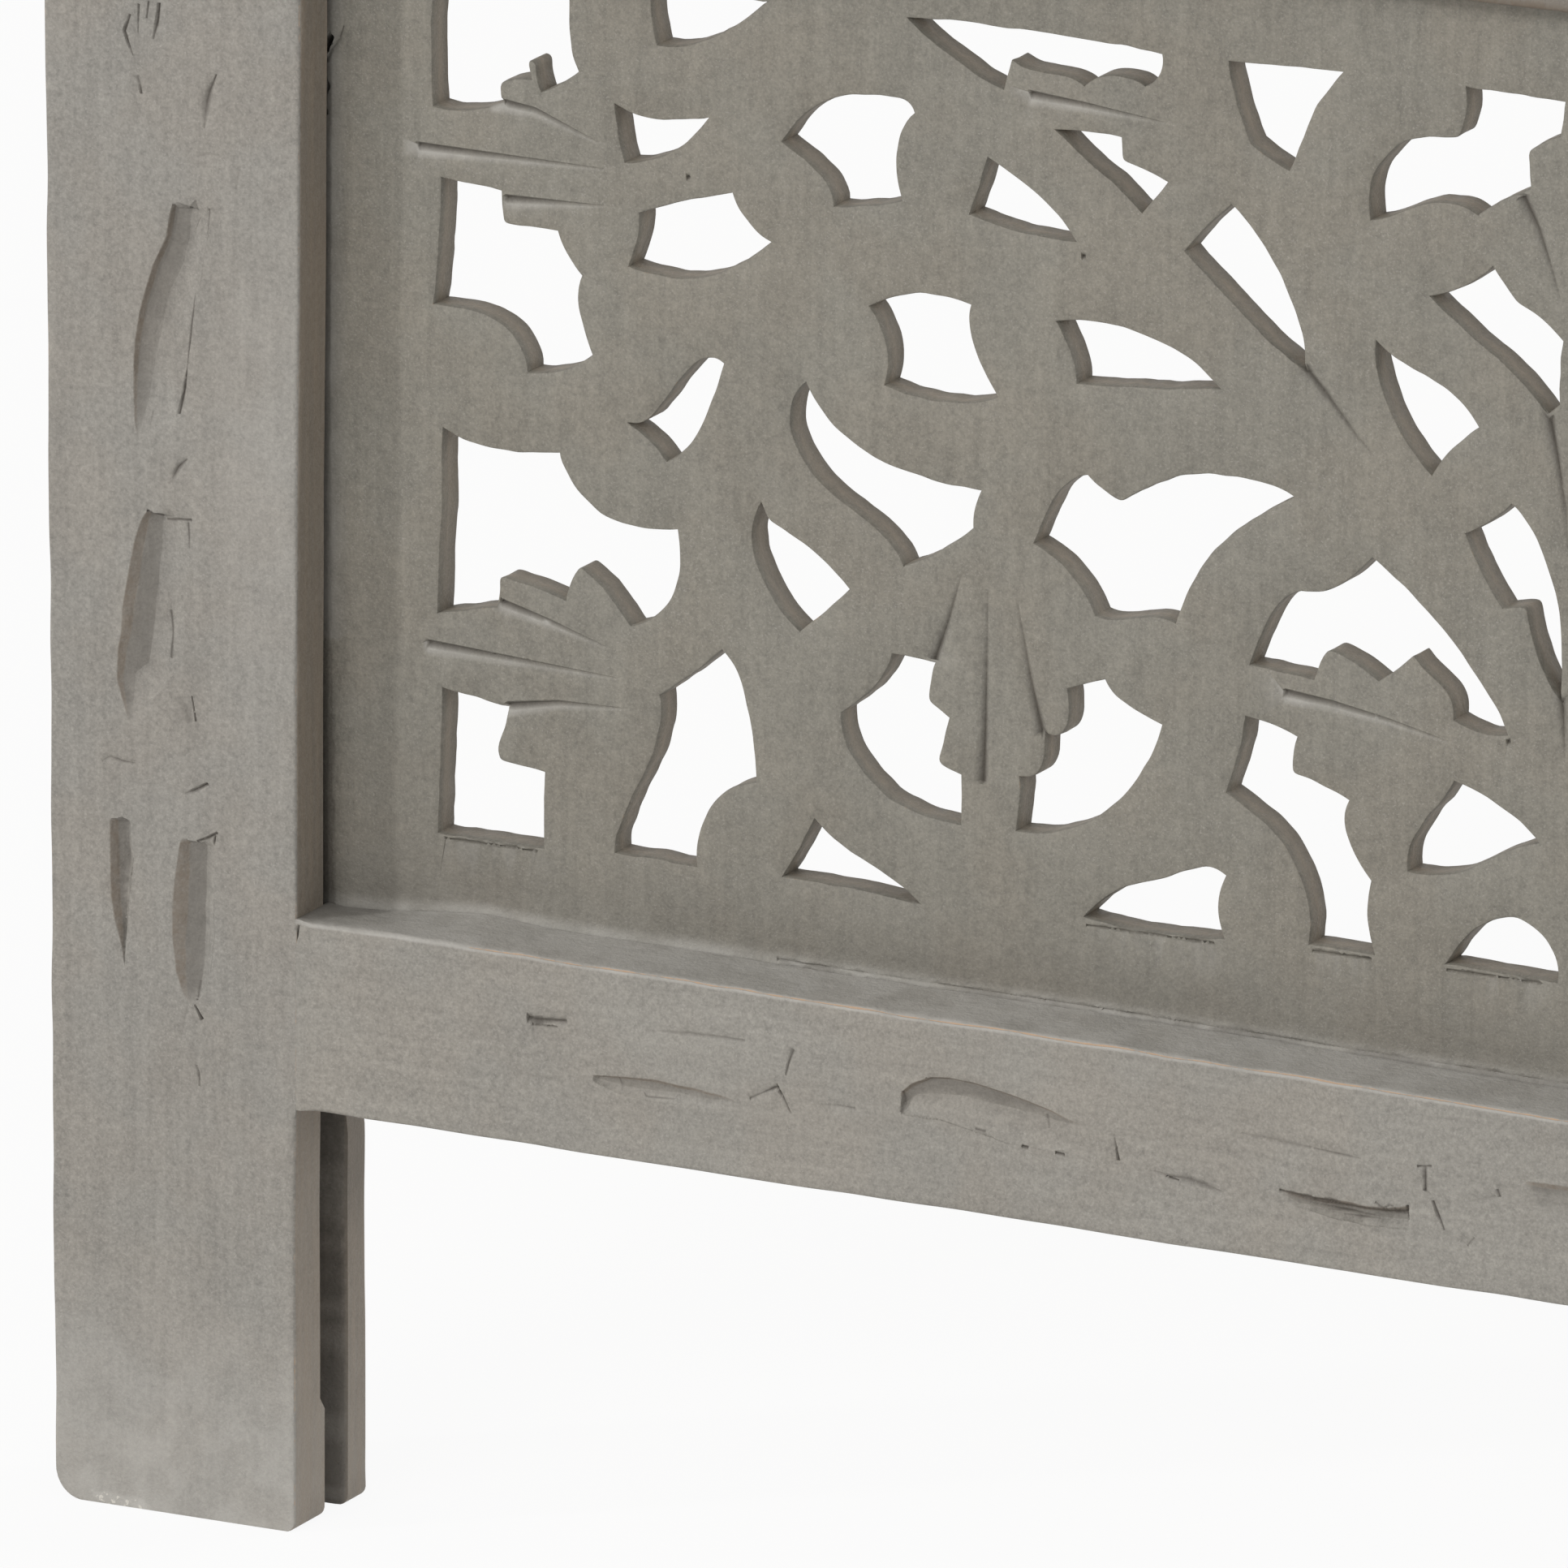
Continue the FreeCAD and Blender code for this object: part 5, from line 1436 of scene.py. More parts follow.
def chance_hollows(random, width, low, high, along_axis, spacing):
    """Struck hollows like those in the photograph, scattered over a bar's front. A hollow's lines
    are shares of its width, which grows to a round end, and all of them bow."""
    hollows = []
    for _ in range(int((high - low) / spacing)):
        across = random.uniform(HOLLOW_FROM_NEAR, width - HOLLOW_FROM_FAR)
        along = random.uniform(low + HOLLOW_FROM_LOW, high - HOLLOW_FROM_HIGH)
        length, wide = random.uniform(*HOLLOW_LENGTHS), random.uniform(*HOLLOW_WIDTHS)
        share = np.linspace(0.0, 1.0, HOLLOW_POINTS)
        bow = np.sin(share * np.pi) * random.uniform(*HOLLOW_BOWS)
        turn = (SWELLING_TURN[0] + SWELLING_TURN[1] * share) * ROUND_END
        swelling = SWELLING_WIDTH[0] + SWELLING_WIDTH[1] * np.sin(turn)
        lines = {}
        for key, part in zip(HOLLOW_LINES, HOLLOW_LINE_SHARES):
            line = np.column_stack([
                across + bow + part * wide * swelling,
                along + share * length,
            ])
            lines[key] = laid(line, along_axis)
        depth = random.uniform(*HOLLOW_DEPTHS)
        hollows.append(lines | {"depth": depth, "deep_end": random.choice(("low", "high"))})
    return hollows


def bar_marks(seed, width, span, along_axis, spacing, corner, photo_marks):
    """A bar's cuts and hollows in its panel: chance ones along a span of it, and those that the
    photograph shows."""
    random = np.random.default_rng(seed)
    cuts = chance_cuts(random, width, *span, along_axis, CUT_SPACING)
    cuts = [(path + corner, *rest) for path, *rest in cuts]
    hollows = chance_hollows(random, width, *span, along_axis, spacing)
    for hollow in hollows:
        for key in HOLLOW_LINES:
            hollow[key] = hollow[key] + corner
    photo_cuts, photo_hollows = photo_marks
    cuts += [photo_cut(cut) for cut in photo_cuts]
    hollows += [photo_hollow(hollow) for hollow in photo_hollows]
    return cuts, hollows


def front_marks(cuts, hollows, spacing):
    """Points for a bar's front to follow: along its cuts, and on and beside its hollows' lines."""
    marks = [groove_rows(path, half, spacing, (-1.0, 0.0, 1.0)) for path, half, *_ in cuts]
    for hollow in hollows:
        for key in HOLLOW_LINES:
            marks.append(groove_rows(hollow[key], (1.0, 1.0), spacing, LINE_OFFSETS))
    return np.concatenate(marks)


def bar_sinks(spots, cuts, hollows, along_axis, seed):
    """How far cuts and hollows sink each spot of a front, and the masks that they leave."""
    sink, bottom = sunk_by(spots, cuts)
    # Dirt and painted shade at the bottoms of cuts
    dirt = bottom * clamped(sink / DARKEST_DEPTH)
    wall, dusk = np.zeros((2, len(spots)))
    for index, hollow in enumerate(hollows):
        depth, in_painted_wall_shade, in_painted_shade = hollow_sink(spots, hollow, along_axis, seed + index)
        sink = np.maximum(sink, depth)
        wall = np.maximum(wall, in_painted_wall_shade)
        dusk = np.maximum(dusk, in_painted_shade)
    return sink, {"dirt": dirt, "wall": wall, "dusk": dusk}


def beside_rails(up):
    """One at the heights of the rails, falling to nought a millimetre outside them."""
    inside = np.zeros(len(up))
    for foot in RAIL_FEET.values():
        head = foot + RAIL_HEIGHT
        inside = np.maximum(inside, eased(up - foot + 1.0) * eased(head + 1.0 - up))
    return inside


def finish_bar(solid, width, low, high, joined, settings, seed):
    """A bar's arrises rounded by a radius that wanders along it and shrinks where it is joined,
    and its faces drawn in by a slow waver, so that it stays inside its sharp box."""
    across, back, along = solid.T
    radius = settings.arris / MM * face_value(along, across, ARRIS_WAVER, seed)
    to_end = np.minimum(along - low, high - along)
    radius = END_ARRIS + (radius - END_ARRIS) * eased(to_end / END_REACH + 0.02)
    radius = radius + (JOINED_ARRIS - radius) * joined
    bottom = np.array((0.0, 0.0, low))
    top = np.array((width, PANEL_THICKNESS, high))
    solid = rounded_arrises(solid, bottom, top, radius)

    def drawn_in(noise):
        return settings.waver / MM * (1.0 + noise)

    left = drawn_in(line_noise(along, LEFT_CELL, seed + 1)) * (1.0 - joined)
    right = drawn_in(line_noise(along, RIGHT_CELL, seed + 2)) * (1.0 - joined)
    front = drawn_in(soft_noise(across, along, FRONT_CELL, seed + 3)) * (1.0 - joined)
    rear = drawn_in(soft_noise(across, along, REAR_CELL, seed + 4))
    share_across, share_back = across / width, back / PANEL_THICKNESS
    solid[:, 0] += left * (1.0 - share_across) - right * share_across
    solid[:, 1] += front * (1.0 - share_back) - rear * share_back
    return solid


def arris_wear(sharp, width, reach):
    """One on a bar's long arrises, falling to nought at that reach from them."""
    to_side = np.minimum(sharp[:, 0], width - sharp[:, 0])
    to_face = np.minimum(sharp[:, 1], PANEL_THICKNESS - sharp[:, 1])
    near = falling(np.maximum(to_side, to_face), reach)
    return near * (np.minimum(to_side, to_face) < ON_ARRIS)


def rounded_foot(solid, low, outer, settings, width):
    """A leg's foot with its outer corner worn round and its inner one a little: each height is
    squeezed between the two corners' circles."""
    across, along = solid[:, 0], solid[:, 2] - low
    outer_radius = settings.foot_radius / MM
    inner_radius = outer_radius * INNER_FOOT_SHARE

    def bite(radius):
        rise = np.clip(radius - along, 0.0, radius)
        return radius - np.sqrt(radius ** 2 - rise ** 2)

    near, far = (outer_radius, inner_radius) if outer == "near" else (inner_radius, outer_radius)
    start, end = bite(near), bite(far)
    solid[:, 0] = start + across / width * (width - start - end)
    return solid


def leaned(across, near, far, width):
    """Places across a bar once its near and far sides have moved: each takes its share of both
    moves."""
    return across + near + (far - near) * across / width


def unleaned(across, near, far, width):
    """The same turned round: where leaned places were before."""
    return (across - near) / (1.0 + (far - near) / width)


def cheek_shift(from_inner, back, up, shown):
    """How far back the groove's front cheek stands out of line: a little beside the boards, where
    old paint packs the gap, and more near the shown foot, where it is split off. It falls to
    nothing at the groove's other side."""
    in_groove = (back >= GROOVE_FRONT) & (back <= GROOVE_BACK)
    in_groove &= from_inner < STILE_GROOVE_DEPTH + SIDE_TOLERANCE
    packed = PACKED * (1.0 - beside_rails(up)) * (up > BOARD_OPENINGS["bottom_jali"])
    split = CHEEK_STEP * eased((CHEEK_STEP_HEIGHT - up) / CHEEK_STEP_BLUR) * shown
    share = (GROOVE_BACK - back) / (GROOVE_BACK - GROOVE_FRONT)
    return in_groove * (packed + split) * share


def stile_masks(masks, sharp, from_inner, shown, seed):
    """A stile's masks: its groove is dark with dirt and painted shade, and chiselled, its inner
    side stained and, below the bottom rail, darkened with painted shade and a painted shadow, its
    arrises worn, and its foot and a place in the photograph washed pale."""
    across, back, up = sharp.T
    behind = back > GROOVE_BACK - SIDE_TOLERANCE
    in_groove = (back > GROOVE_FRONT - SIDE_TOLERANCE) & (back < GROOVE_BACK + SIDE_TOLERANCE)
    in_groove &= from_inner > SIDE_TOLERANCE
    in_groove &= from_inner < STILE_GROOVE_DEPTH + SIDE_TOLERANCE
    on_inner = (from_inner < SIDE_TOLERANCE) & (back > ON_ARRIS)
    slanting = back * CHISEL_SLANT[0] + up * CHISEL_SLANT[1]
    beside = back * CHISEL_SLANT[1] - up * CHISEL_SLANT[0]
    chisel = soft_noise(slanting, beside, CHISEL_CELL, seed + 12)
    # Dirt and painted shade in the groove, less on the chisel marks
    grime_and_shade = in_groove * (GROOVE_GRIME_AND_SHADE - CHISELLED * (chisel > CHISEL_LEVEL))
    # Painted shade on the leg's inner side, with a painted shadow under the bottom rail
    under_rail = eased((up - UNDER_RAIL_START) / UNDER_RAIL_BLUR)
    shaded = LEG_PAINTED_SHADE + behind * (BACK_PAINTED_SHADE + UNDER_RAIL_PAINTED_SHADOW * under_rail)
    shaded = shaded * on_inner * (up < RAIL_FEET["bottom_rail"])
    in_front = back < FRONT_REACH
    chipped = (across > CHIP_LEFT) & (across < CHIP_RIGHT) & (up < CHIP_HEIGHT) & in_front
    rubbed = faded(RUBBED, np.abs(up - RUBBED_HEIGHT))
    rubbed = rubbed * eased((across - RUBBED_START) / RUBBED_BLUR) * shown * in_front
    return masks | {
        "dirt": np.maximum(masks["dirt"], grime_and_shade),
        "dusk": np.maximum(masks["dusk"], shaded),
        "stain": INNER_STAIN * on_inner + GROOVE_STAIN * in_groove,
        "wear": STILE_WEAR * arris_wear(sharp, STILE_WIDTH, STILE_WEAR_REACH),
        "washed": np.maximum(np.maximum(faded(FOOT_WASH, up), chipped), rubbed),
    }


def shape_stile(panel, side, steps, cuts, hollows, settings, material):
    """One stile: a grooved bar that stands on the floor, with its cuts and hollows. Its inner
    arris stays sharp beside the rails, and the shown one's inner side leans."""
    name = panel + "_" + side + "_stile"
    left, outer, groove = (0.0, "near", "far") if side == "left" else (RAIL_RIGHT, "far", "near")
    profile = bar_profile(STILE_WIDTH, [(groove, STILE_GROOVE_DEPTH, GROOVE_FRONT)])
    profile = sampled_profile(profile, steps["side"])
    shown = name == SHOWN_STILE
    marks = front_marks(cuts, hollows, steps["mark"]) - (left, 0.0)
    lean = np.interp(marks[:, 1], *STILE_LEAN) * shown
    marks[:, 0] = unleaned(marks[:, 0], 0.0, lean, STILE_WIDTH)
    sharp, corners = bar_solid(STILE_WIDTH, profile, stile_stations(steps), marks, steps["front"])
    sharp, corners = welded(quantised(sharp), corners)
    seed = PIECE_SEEDS[panel] + (0 if side == "left" else RIGHT_STILE_SEED)
    across, back, up = sharp.T
    from_inner = STILE_WIDTH - across if side == "left" else across
    sharp[:, 1] += cheek_shift(from_inner, back, up, shown)
    joined = beside_rails(up) * (from_inner < STILE_WIDTH / 2)
    solid = finish_bar(sharp.copy(), STILE_WIDTH, 0.0, PANEL_HEIGHT, joined, settings, seed)
    lean = np.interp(up, *STILE_LEAN) * shown
    spots = np.column_stack([leaned(across, 0.0, lean, STILE_WIDTH) + left, up])
    sink, masks = bar_sinks(spots, cuts, hollows, 1, seed)
    fade = falling(back, MARK_REACH)
    solid[:, 1] += sink * fade
    solid = rounded_foot(solid, 0.0, outer, settings, STILE_WIDTH)
    solid[:, 0] = leaned(solid[:, 0], 0.0, lean, STILE_WIDTH)
    proud = eased((RAIL_FEET["bottom_rail"] - PROUD_START - up) / PROUD_BLUR) * shown
    proud = proud * (back > GROOVE_BACK - SIDE_TOLERANCE) * (from_inner < SIDE_TOLERANCE)
    solid[:, 0] += BACK_CHEEK_PROUD * proud
    placed = solid + (left, 0.0, 0.0)
    masks = {key: values * fade for key, values in masks.items()}
    masks = stile_masks(masks, sharp, from_inner, shown, seed)
    return make_piece(
        panel + "_worn_" + side + "_stile", panel, name, placed, corners,
        placed + seed * PLACE_SHIFT, masks, material
    )


def stile_stations(steps):
    """Heights along a stile: close together at its foot and head, then a step apart, with a finer
    step up to the height that the photograph shows."""
    shown, low_end, high_end = steps["shown_height"], STILE_ENDS[-1], PANEL_HEIGHT - STILE_ENDS[-1]
    low = np.linspace(low_end, shown, int(np.ceil((shown - low_end) / steps["low"])) + 1)
    high = np.linspace(shown, high_end, int(np.ceil((high_end - shown) / steps["high"])) + 1)
    return np.concatenate([STILE_ENDS[:-1], low[:-1], high, PANEL_HEIGHT - STILE_ENDS[-2::-1]])


def rail_stations(steps):
    """Places along a rail: close together at both ends, then a step apart."""
    low, high = RAIL_LEFT + RAIL_ENDS[-1], RAIL_RIGHT - RAIL_ENDS[-1]
    middle = np.linspace(low, high, int(np.ceil((high - low) / steps["low"])) + 1)
    return np.concatenate([RAIL_LEFT + RAIL_ENDS[:-1], middle, RAIL_RIGHT - RAIL_ENDS[-2::-1]])


def rail_lean(name, along):
    """How far the shown rail's head and foot have moved down at each place along it."""
    shown = name == SHOWN_RAIL
    return -np.interp(along, *HEAD_LEAN) * shown, np.interp(along, *FOOT_LEAN) * shown


def rail_masks(masks, sharp, edges, fade, seed):
    """A rail's masks: its head is made pale with painted light, dirty where it meets the board and
    darkened by the left stile's painted shadow beside it, its foot darkened with painted shade over
    a board, and its arrises worn."""
    down, back, along = sharp.T
    on_head = (down < HEAD_REACH) & (back < RAIL_CHEEK + SIDE_TOLERANCE)
    # Painted shade along a foot that lies over a board
    shaded = UNDER_PAINTED_SHADE * eased(UNDER_START - (RAIL_HEIGHT - down) / UNDER_REACH) * fade
    shaded = shaded * ("foot" in edges)
    broken = eased(line_value(along, LEDGE_BREAKS, seed + 10))
    ledge = falling(RAIL_CHEEK - back, LEDGE) * on_head * (along > SEAM_START)
    # The left stile's painted shadow on the head
    shadow_edge = RAIL_LEFT + SHADOW_SLOPE * back
    beside = STILE_PAINTED_SHADOW * eased((shadow_edge - along) / SHADOW_BLUR + 0.5) * on_head
    worn = np.where(on_head & (along > HEAD_WEAR_START), 1.0, RAIL_WEAR)
    return masks | {
        # Painted light on the head
        "washed": HEAD_PAINTED_LIGHT * on_head,
        "wall": np.maximum(masks["wall"], shaded),
        "dirt": np.maximum(masks["dirt"], LEDGE_DIRT * broken * ledge),
        "dusk": np.maximum(np.maximum(masks["dusk"], shaded), beside),
        "wear": arris_wear(sharp, RAIL_HEIGHT, RAIL_WEAR_REACH) * worn,
    }


def with_tenons(solid, corners, masks):
    """A rail with its two tenons, plain blocks that reach a little way into it."""
    for start, end in ((RAIL_LEFT - TENON_LENGTH, RAIL_LEFT + TENON_ROOT),
                       (RAIL_RIGHT - TENON_ROOT, RAIL_RIGHT + TENON_LENGTH)):
        low = (TENON_SHOULDER, TENON_FRONT, start)
        high = (RAIL_HEIGHT - TENON_SHOULDER, TENON_BACK, end)
        tenon, tenon_corners = block(low, high)
        corners = np.concatenate([corners, tenon_corners + len(solid)])
        solid = np.concatenate([solid, tenon])
        masks = {key: np.append(values, np.zeros(len(tenon))) for key, values in masks.items()}
    return solid, corners, masks


def shape_rail(panel, rail, steps, cuts, hollows, settings, material):
    """One rail: a bar that lies between the stiles, grooved for its boards, with a tenon at each
    end. Its across axis runs down from its head."""
    name = panel + "_" + rail
    foot, edges = RAIL_FEET[rail], RAIL_GROOVED_EDGES[rail]
    head = foot + RAIL_HEIGHT
    sides = {"head": "near", "foot": "far"}
    grooves = [(sides[edge], RAIL_GROOVE_DEPTH, RAIL_CHEEK) for edge in edges]
    profile = sampled_profile(bar_profile(RAIL_HEIGHT, grooves), steps["side"])
    marks = front_marks(cuts, hollows, steps["mark"])
    near, far = rail_lean(name, marks[:, 0])
    down = unleaned(head - marks[:, 1], near, far, RAIL_HEIGHT)
    marks = np.column_stack([down, marks[:, 0]])
    sharp, corners = bar_solid(RAIL_HEIGHT, profile, rail_stations(steps), marks, steps["front"])
    sharp, corners = welded(quantised(sharp), corners)
    seed = PIECE_SEEDS[panel] + int(foot)
    down, back, along = sharp.T
    joined = clamped(RAIL_JOINED_REACH - np.minimum(along - RAIL_LEFT, RAIL_RIGHT - along))
    solid = finish_bar(sharp.copy(), RAIL_HEIGHT, RAIL_LEFT, RAIL_RIGHT, joined, settings, seed)
    lumps = LUMPS * (1.0 + soft_noise(along, back, LUMP_CELL, seed + 9)) * (1.0 - joined)
    solid[:, 0] += lumps * falling(down, LUMP_REACH)
    near, far = rail_lean(name, along)
    spots = np.column_stack([along, head - leaned(down, near, far, RAIL_HEIGHT)])
    sink, masks = bar_sinks(spots, cuts, hollows, 0, seed)
    fade = falling(back, MARK_REACH)
    solid[:, 1] += sink * fade
    if "head" in edges:
        on_sill = (down < ON_FACE) & (back < RAIL_CHEEK + ON_FACE)
        solid[:, 0] -= sill_rise(along) * on_sill * back / RAIL_CHEEK
    solid[:, 0] = leaned(solid[:, 0], near, far, RAIL_HEIGHT)
    masks = {key: values * fade for key, values in masks.items()}
    masks = rail_masks(masks, sharp, edges, fade, seed)
    solid, corners, masks = with_tenons(solid, corners, masks)
    placed = np.column_stack([solid[:, 2], solid[:, 1], head - solid[:, 0]])
    return make_piece(
        panel + "_worn_" + rail, panel, name, placed, corners,
        solid + seed * PLACE_SHIFT, masks, material
    )


# Shader parts


# The masks: wear, dirt with painted shade, painted shade in walls, painted shade, pale wash with
# painted light, and stain
MASK_SOCKETS = {
    "wear": "Wear", "dirt": "Dirt", "wall": "Hollow", "dusk": "Dusk", "washed": "Washed",
    "stain": "Stain",
}
EVEN = (1.0, 1.0, 1.0)
ALONG_GRAIN = (1.0, 1.0, 0.05)
ALONG_METAL = (1.0, 1.0, 0.06)

# The paint's noises: scale, stretch and detail, and what each adds to its tone, its wear, its
# height and its roughness
PAINT_NOISES = {
    "grain": (2100.0, EVEN, 2.0),
    "mottle": (800.0, EVEN, 3.0),
    "blotch": (150.0, EVEN, 3.0),
    "broad": (26.0, EVEN, 3.0),
    "streak": (700.0, ALONG_GRAIN, 3.0),
    "warmth": (60.0, EVEN, 2.0),
    "dust": (3400.0, EVEN, 1.0),
}
TONE_WEIGHTS = {"grain": 0.62, "mottle": 0.55, "blotch": 0.16, "broad": 0.18, "streak": 0.32}
RUB_WEIGHTS = {"blotch": 0.6, "mottle": 0.5}
HEIGHT_WEIGHTS = {"grain": 0.08, "mottle": 0.14, "blotch": 0.12, "streak": 0.08}
ROUGH_WEIGHTS = {"mottle": 0.24}

# Which noise each layer of the paint follows, between which of its values, and to what shares
LAYER_RANGES = {
    "warm": ("warmth", 0.38, 0.64, 0.0, 0.4),
    "fleck": ("dust", 0.58, 0.74, 0.0, 0.24),
    "chip": ("mottle", 0.45, 0.6, 0.0, 1.0),
    "washed": ("blotch", 0.35, 0.65, 0.6, 1.0),
    "stain": ("streak", 0.3, 0.7, 0.6, 1.0),
    # The hollow layer mottles the painted shade in walls
    "hollow": ("mottle", 0.35, 0.65, 0.6, 0.9),
}
CHIP_RANGE = (0.72, 0.9, 0.0, 0.7)
BARE_RANGE = (0.40, 0.54, 0.0, 0.8)
BARE_START = 0.05
BARE_ROUGHNESS = 0.10
BARE_HEIGHT = -0.06
FLECK_HEIGHT = 0.06
ROUGHNESS = 0.50
# How much of the painted shade, and of the dirt with painted shade, is laid on
PAINTED_SHADE_SHARE = 0.62
DIRT_AND_PAINTED_SHADE_SHARE = 0.78

# Colours of the paint's layers
WARM_TINT = (1.035, 0.985, 0.945, 1.0)
FLECK_COLOUR = (0.46, 0.44, 0.41, 1.0)
# Pale paint where washed, chipped or scuffed, which also carries the painted light
WASHED_AND_PAINTED_LIGHT_COLOUR = (0.44, 0.428, 0.405, 1.0)
STAIN_COLOUR = (0.40, 0.31, 0.225, 1.0)
CHIP_COLOUR = (0.62, 0.60, 0.55, 1.0)
# Painted shade: a dark grey laid where shade falls
PAINTED_SHADE_COLOUR = (0.10, 0.090, 0.078, 1.0)
# Painted shade in the walls of holes and hollows and along rails' feet: a dark brown
PAINTED_WALL_SHADE_COLOUR = (0.125, 0.092, 0.063, 1.0)
# Dirt, with painted shade in cracks, grooves and the slit by the stile: nearly black
DIRT_AND_PAINTED_SHADE_COLOUR = (0.045, 0.037, 0.030, 1.0)
PAINT_SPECULAR = 0.35

# The metal's noises, how much darker it and its rust are where darkest, what each noise adds to
# its roughness and its height, and how rusty and how rough the iron and the steel are
METAL_NOISES = {
    "patches": (160.0, EVEN, 5.0),
    "grit": (1700.0, EVEN, 2.0),
    "scratch": (900.0, ALONG_METAL, 2.0),
}
DARK_METAL = 0.75
DARK_RUST = 0.45
RUST_START = 0.62
RUST_START_MOVE = 0.3
RUST_END = 0.74
RUST_END_MOVE = 0.2
MOST_RUST = 0.9
METAL_ROUGHNESS = 0.25
GRIT_HEIGHT = 0.05
PATCH_HEIGHT = 0.12
IRON_AGE = (0.5, 0.42)
STEEL_AGE = (0.3, 0.38)


def shader_node(tree, kind, inputs=None, **settings):
    """A node of that kind with its settings and its unlinked inputs' values."""
    node = tree.nodes.new(kind)
    for key, value in settings.items():
        setattr(node, key, value)
    for key, value in (inputs or {}).items():
        node.inputs[key].default_value = value
    return node


def calculated(tree, operation, first, second, held=False):
    """A Math node on two values, each a socket or a number."""
    node = shader_node(tree, "ShaderNodeMath", operation=operation, use_clamp=held)
    for socket, value in zip(node.inputs, (first, second)):
        if isinstance(value, bpy.types.NodeSocket):
            tree.links.new(value, socket)
        else:
            socket.default_value = value
    return node.outputs[0]


def noise_value(tree, place, scale, stretch, detail):
    """Noise from nought to one over a place in metres, stretched by a share on each axis."""
    stretched = shader_node(tree, "ShaderNodeVectorMath", {1: stretch}, operation="MULTIPLY")
    tree.links.new(place, stretched.inputs[0])
    noise = shader_node(tree, "ShaderNodeTexNoise", {"Scale": scale, "Detail": detail})
    tree.links.new(stretched.outputs[0], noise.inputs["Vector"])
    return noise.outputs["Fac"]


def ranged(tree, value, low, high, to_low, to_high):
    """A value moved from one range to another along an eased curve, and held to it."""
    node = shader_node(tree, "ShaderNodeMapRange", {
        "From Min": low, "From Max": high, "To Min": to_low, "To Max": to_high,
    }, interpolation_type="SMOOTHSTEP")
    tree.links.new(value, node.inputs["Value"])
    return node.outputs["Result"]


def mixed_colour(tree, share, first, second, blend="MIX"):
    """Two colours mixed by a share. Each is a socket or a colour."""
    node = shader_node(tree, "ShaderNodeMix", data_type="RGBA", blend_type=blend)
    for socket, value in zip((node.inputs[0], node.inputs[6], node.inputs[7]),
                             (share, first, second)):
        if isinstance(value, bpy.types.NodeSocket):
            tree.links.new(value, socket)
        else:
            socket.default_value = value
    return node.outputs[2]


def weighed_sum(tree, total, parts):
    """A number plus each part's value times its weight."""
    for value, weight in parts:
        total = calculated(tree, "ADD", total, calculated(tree, "MULTIPLY", value, weight))
    return total


def new_group(name, inputs, outputs):
    """An empty shader node group with named inputs and outputs."""
    group = bpy.data.node_groups.new(name, "ShaderNodeTree")
    for label, kind, value in inputs:
        socket = group.interface.new_socket(label, in_out="INPUT", socket_type=kind)
        if value is not None:
            socket.default_value = value
    for label, kind in outputs:
        group.interface.new_socket(label, in_out="OUTPUT", socket_type=kind)
    return group, group.nodes.new("NodeGroupInput"), group.nodes.new("NodeGroupOutput")


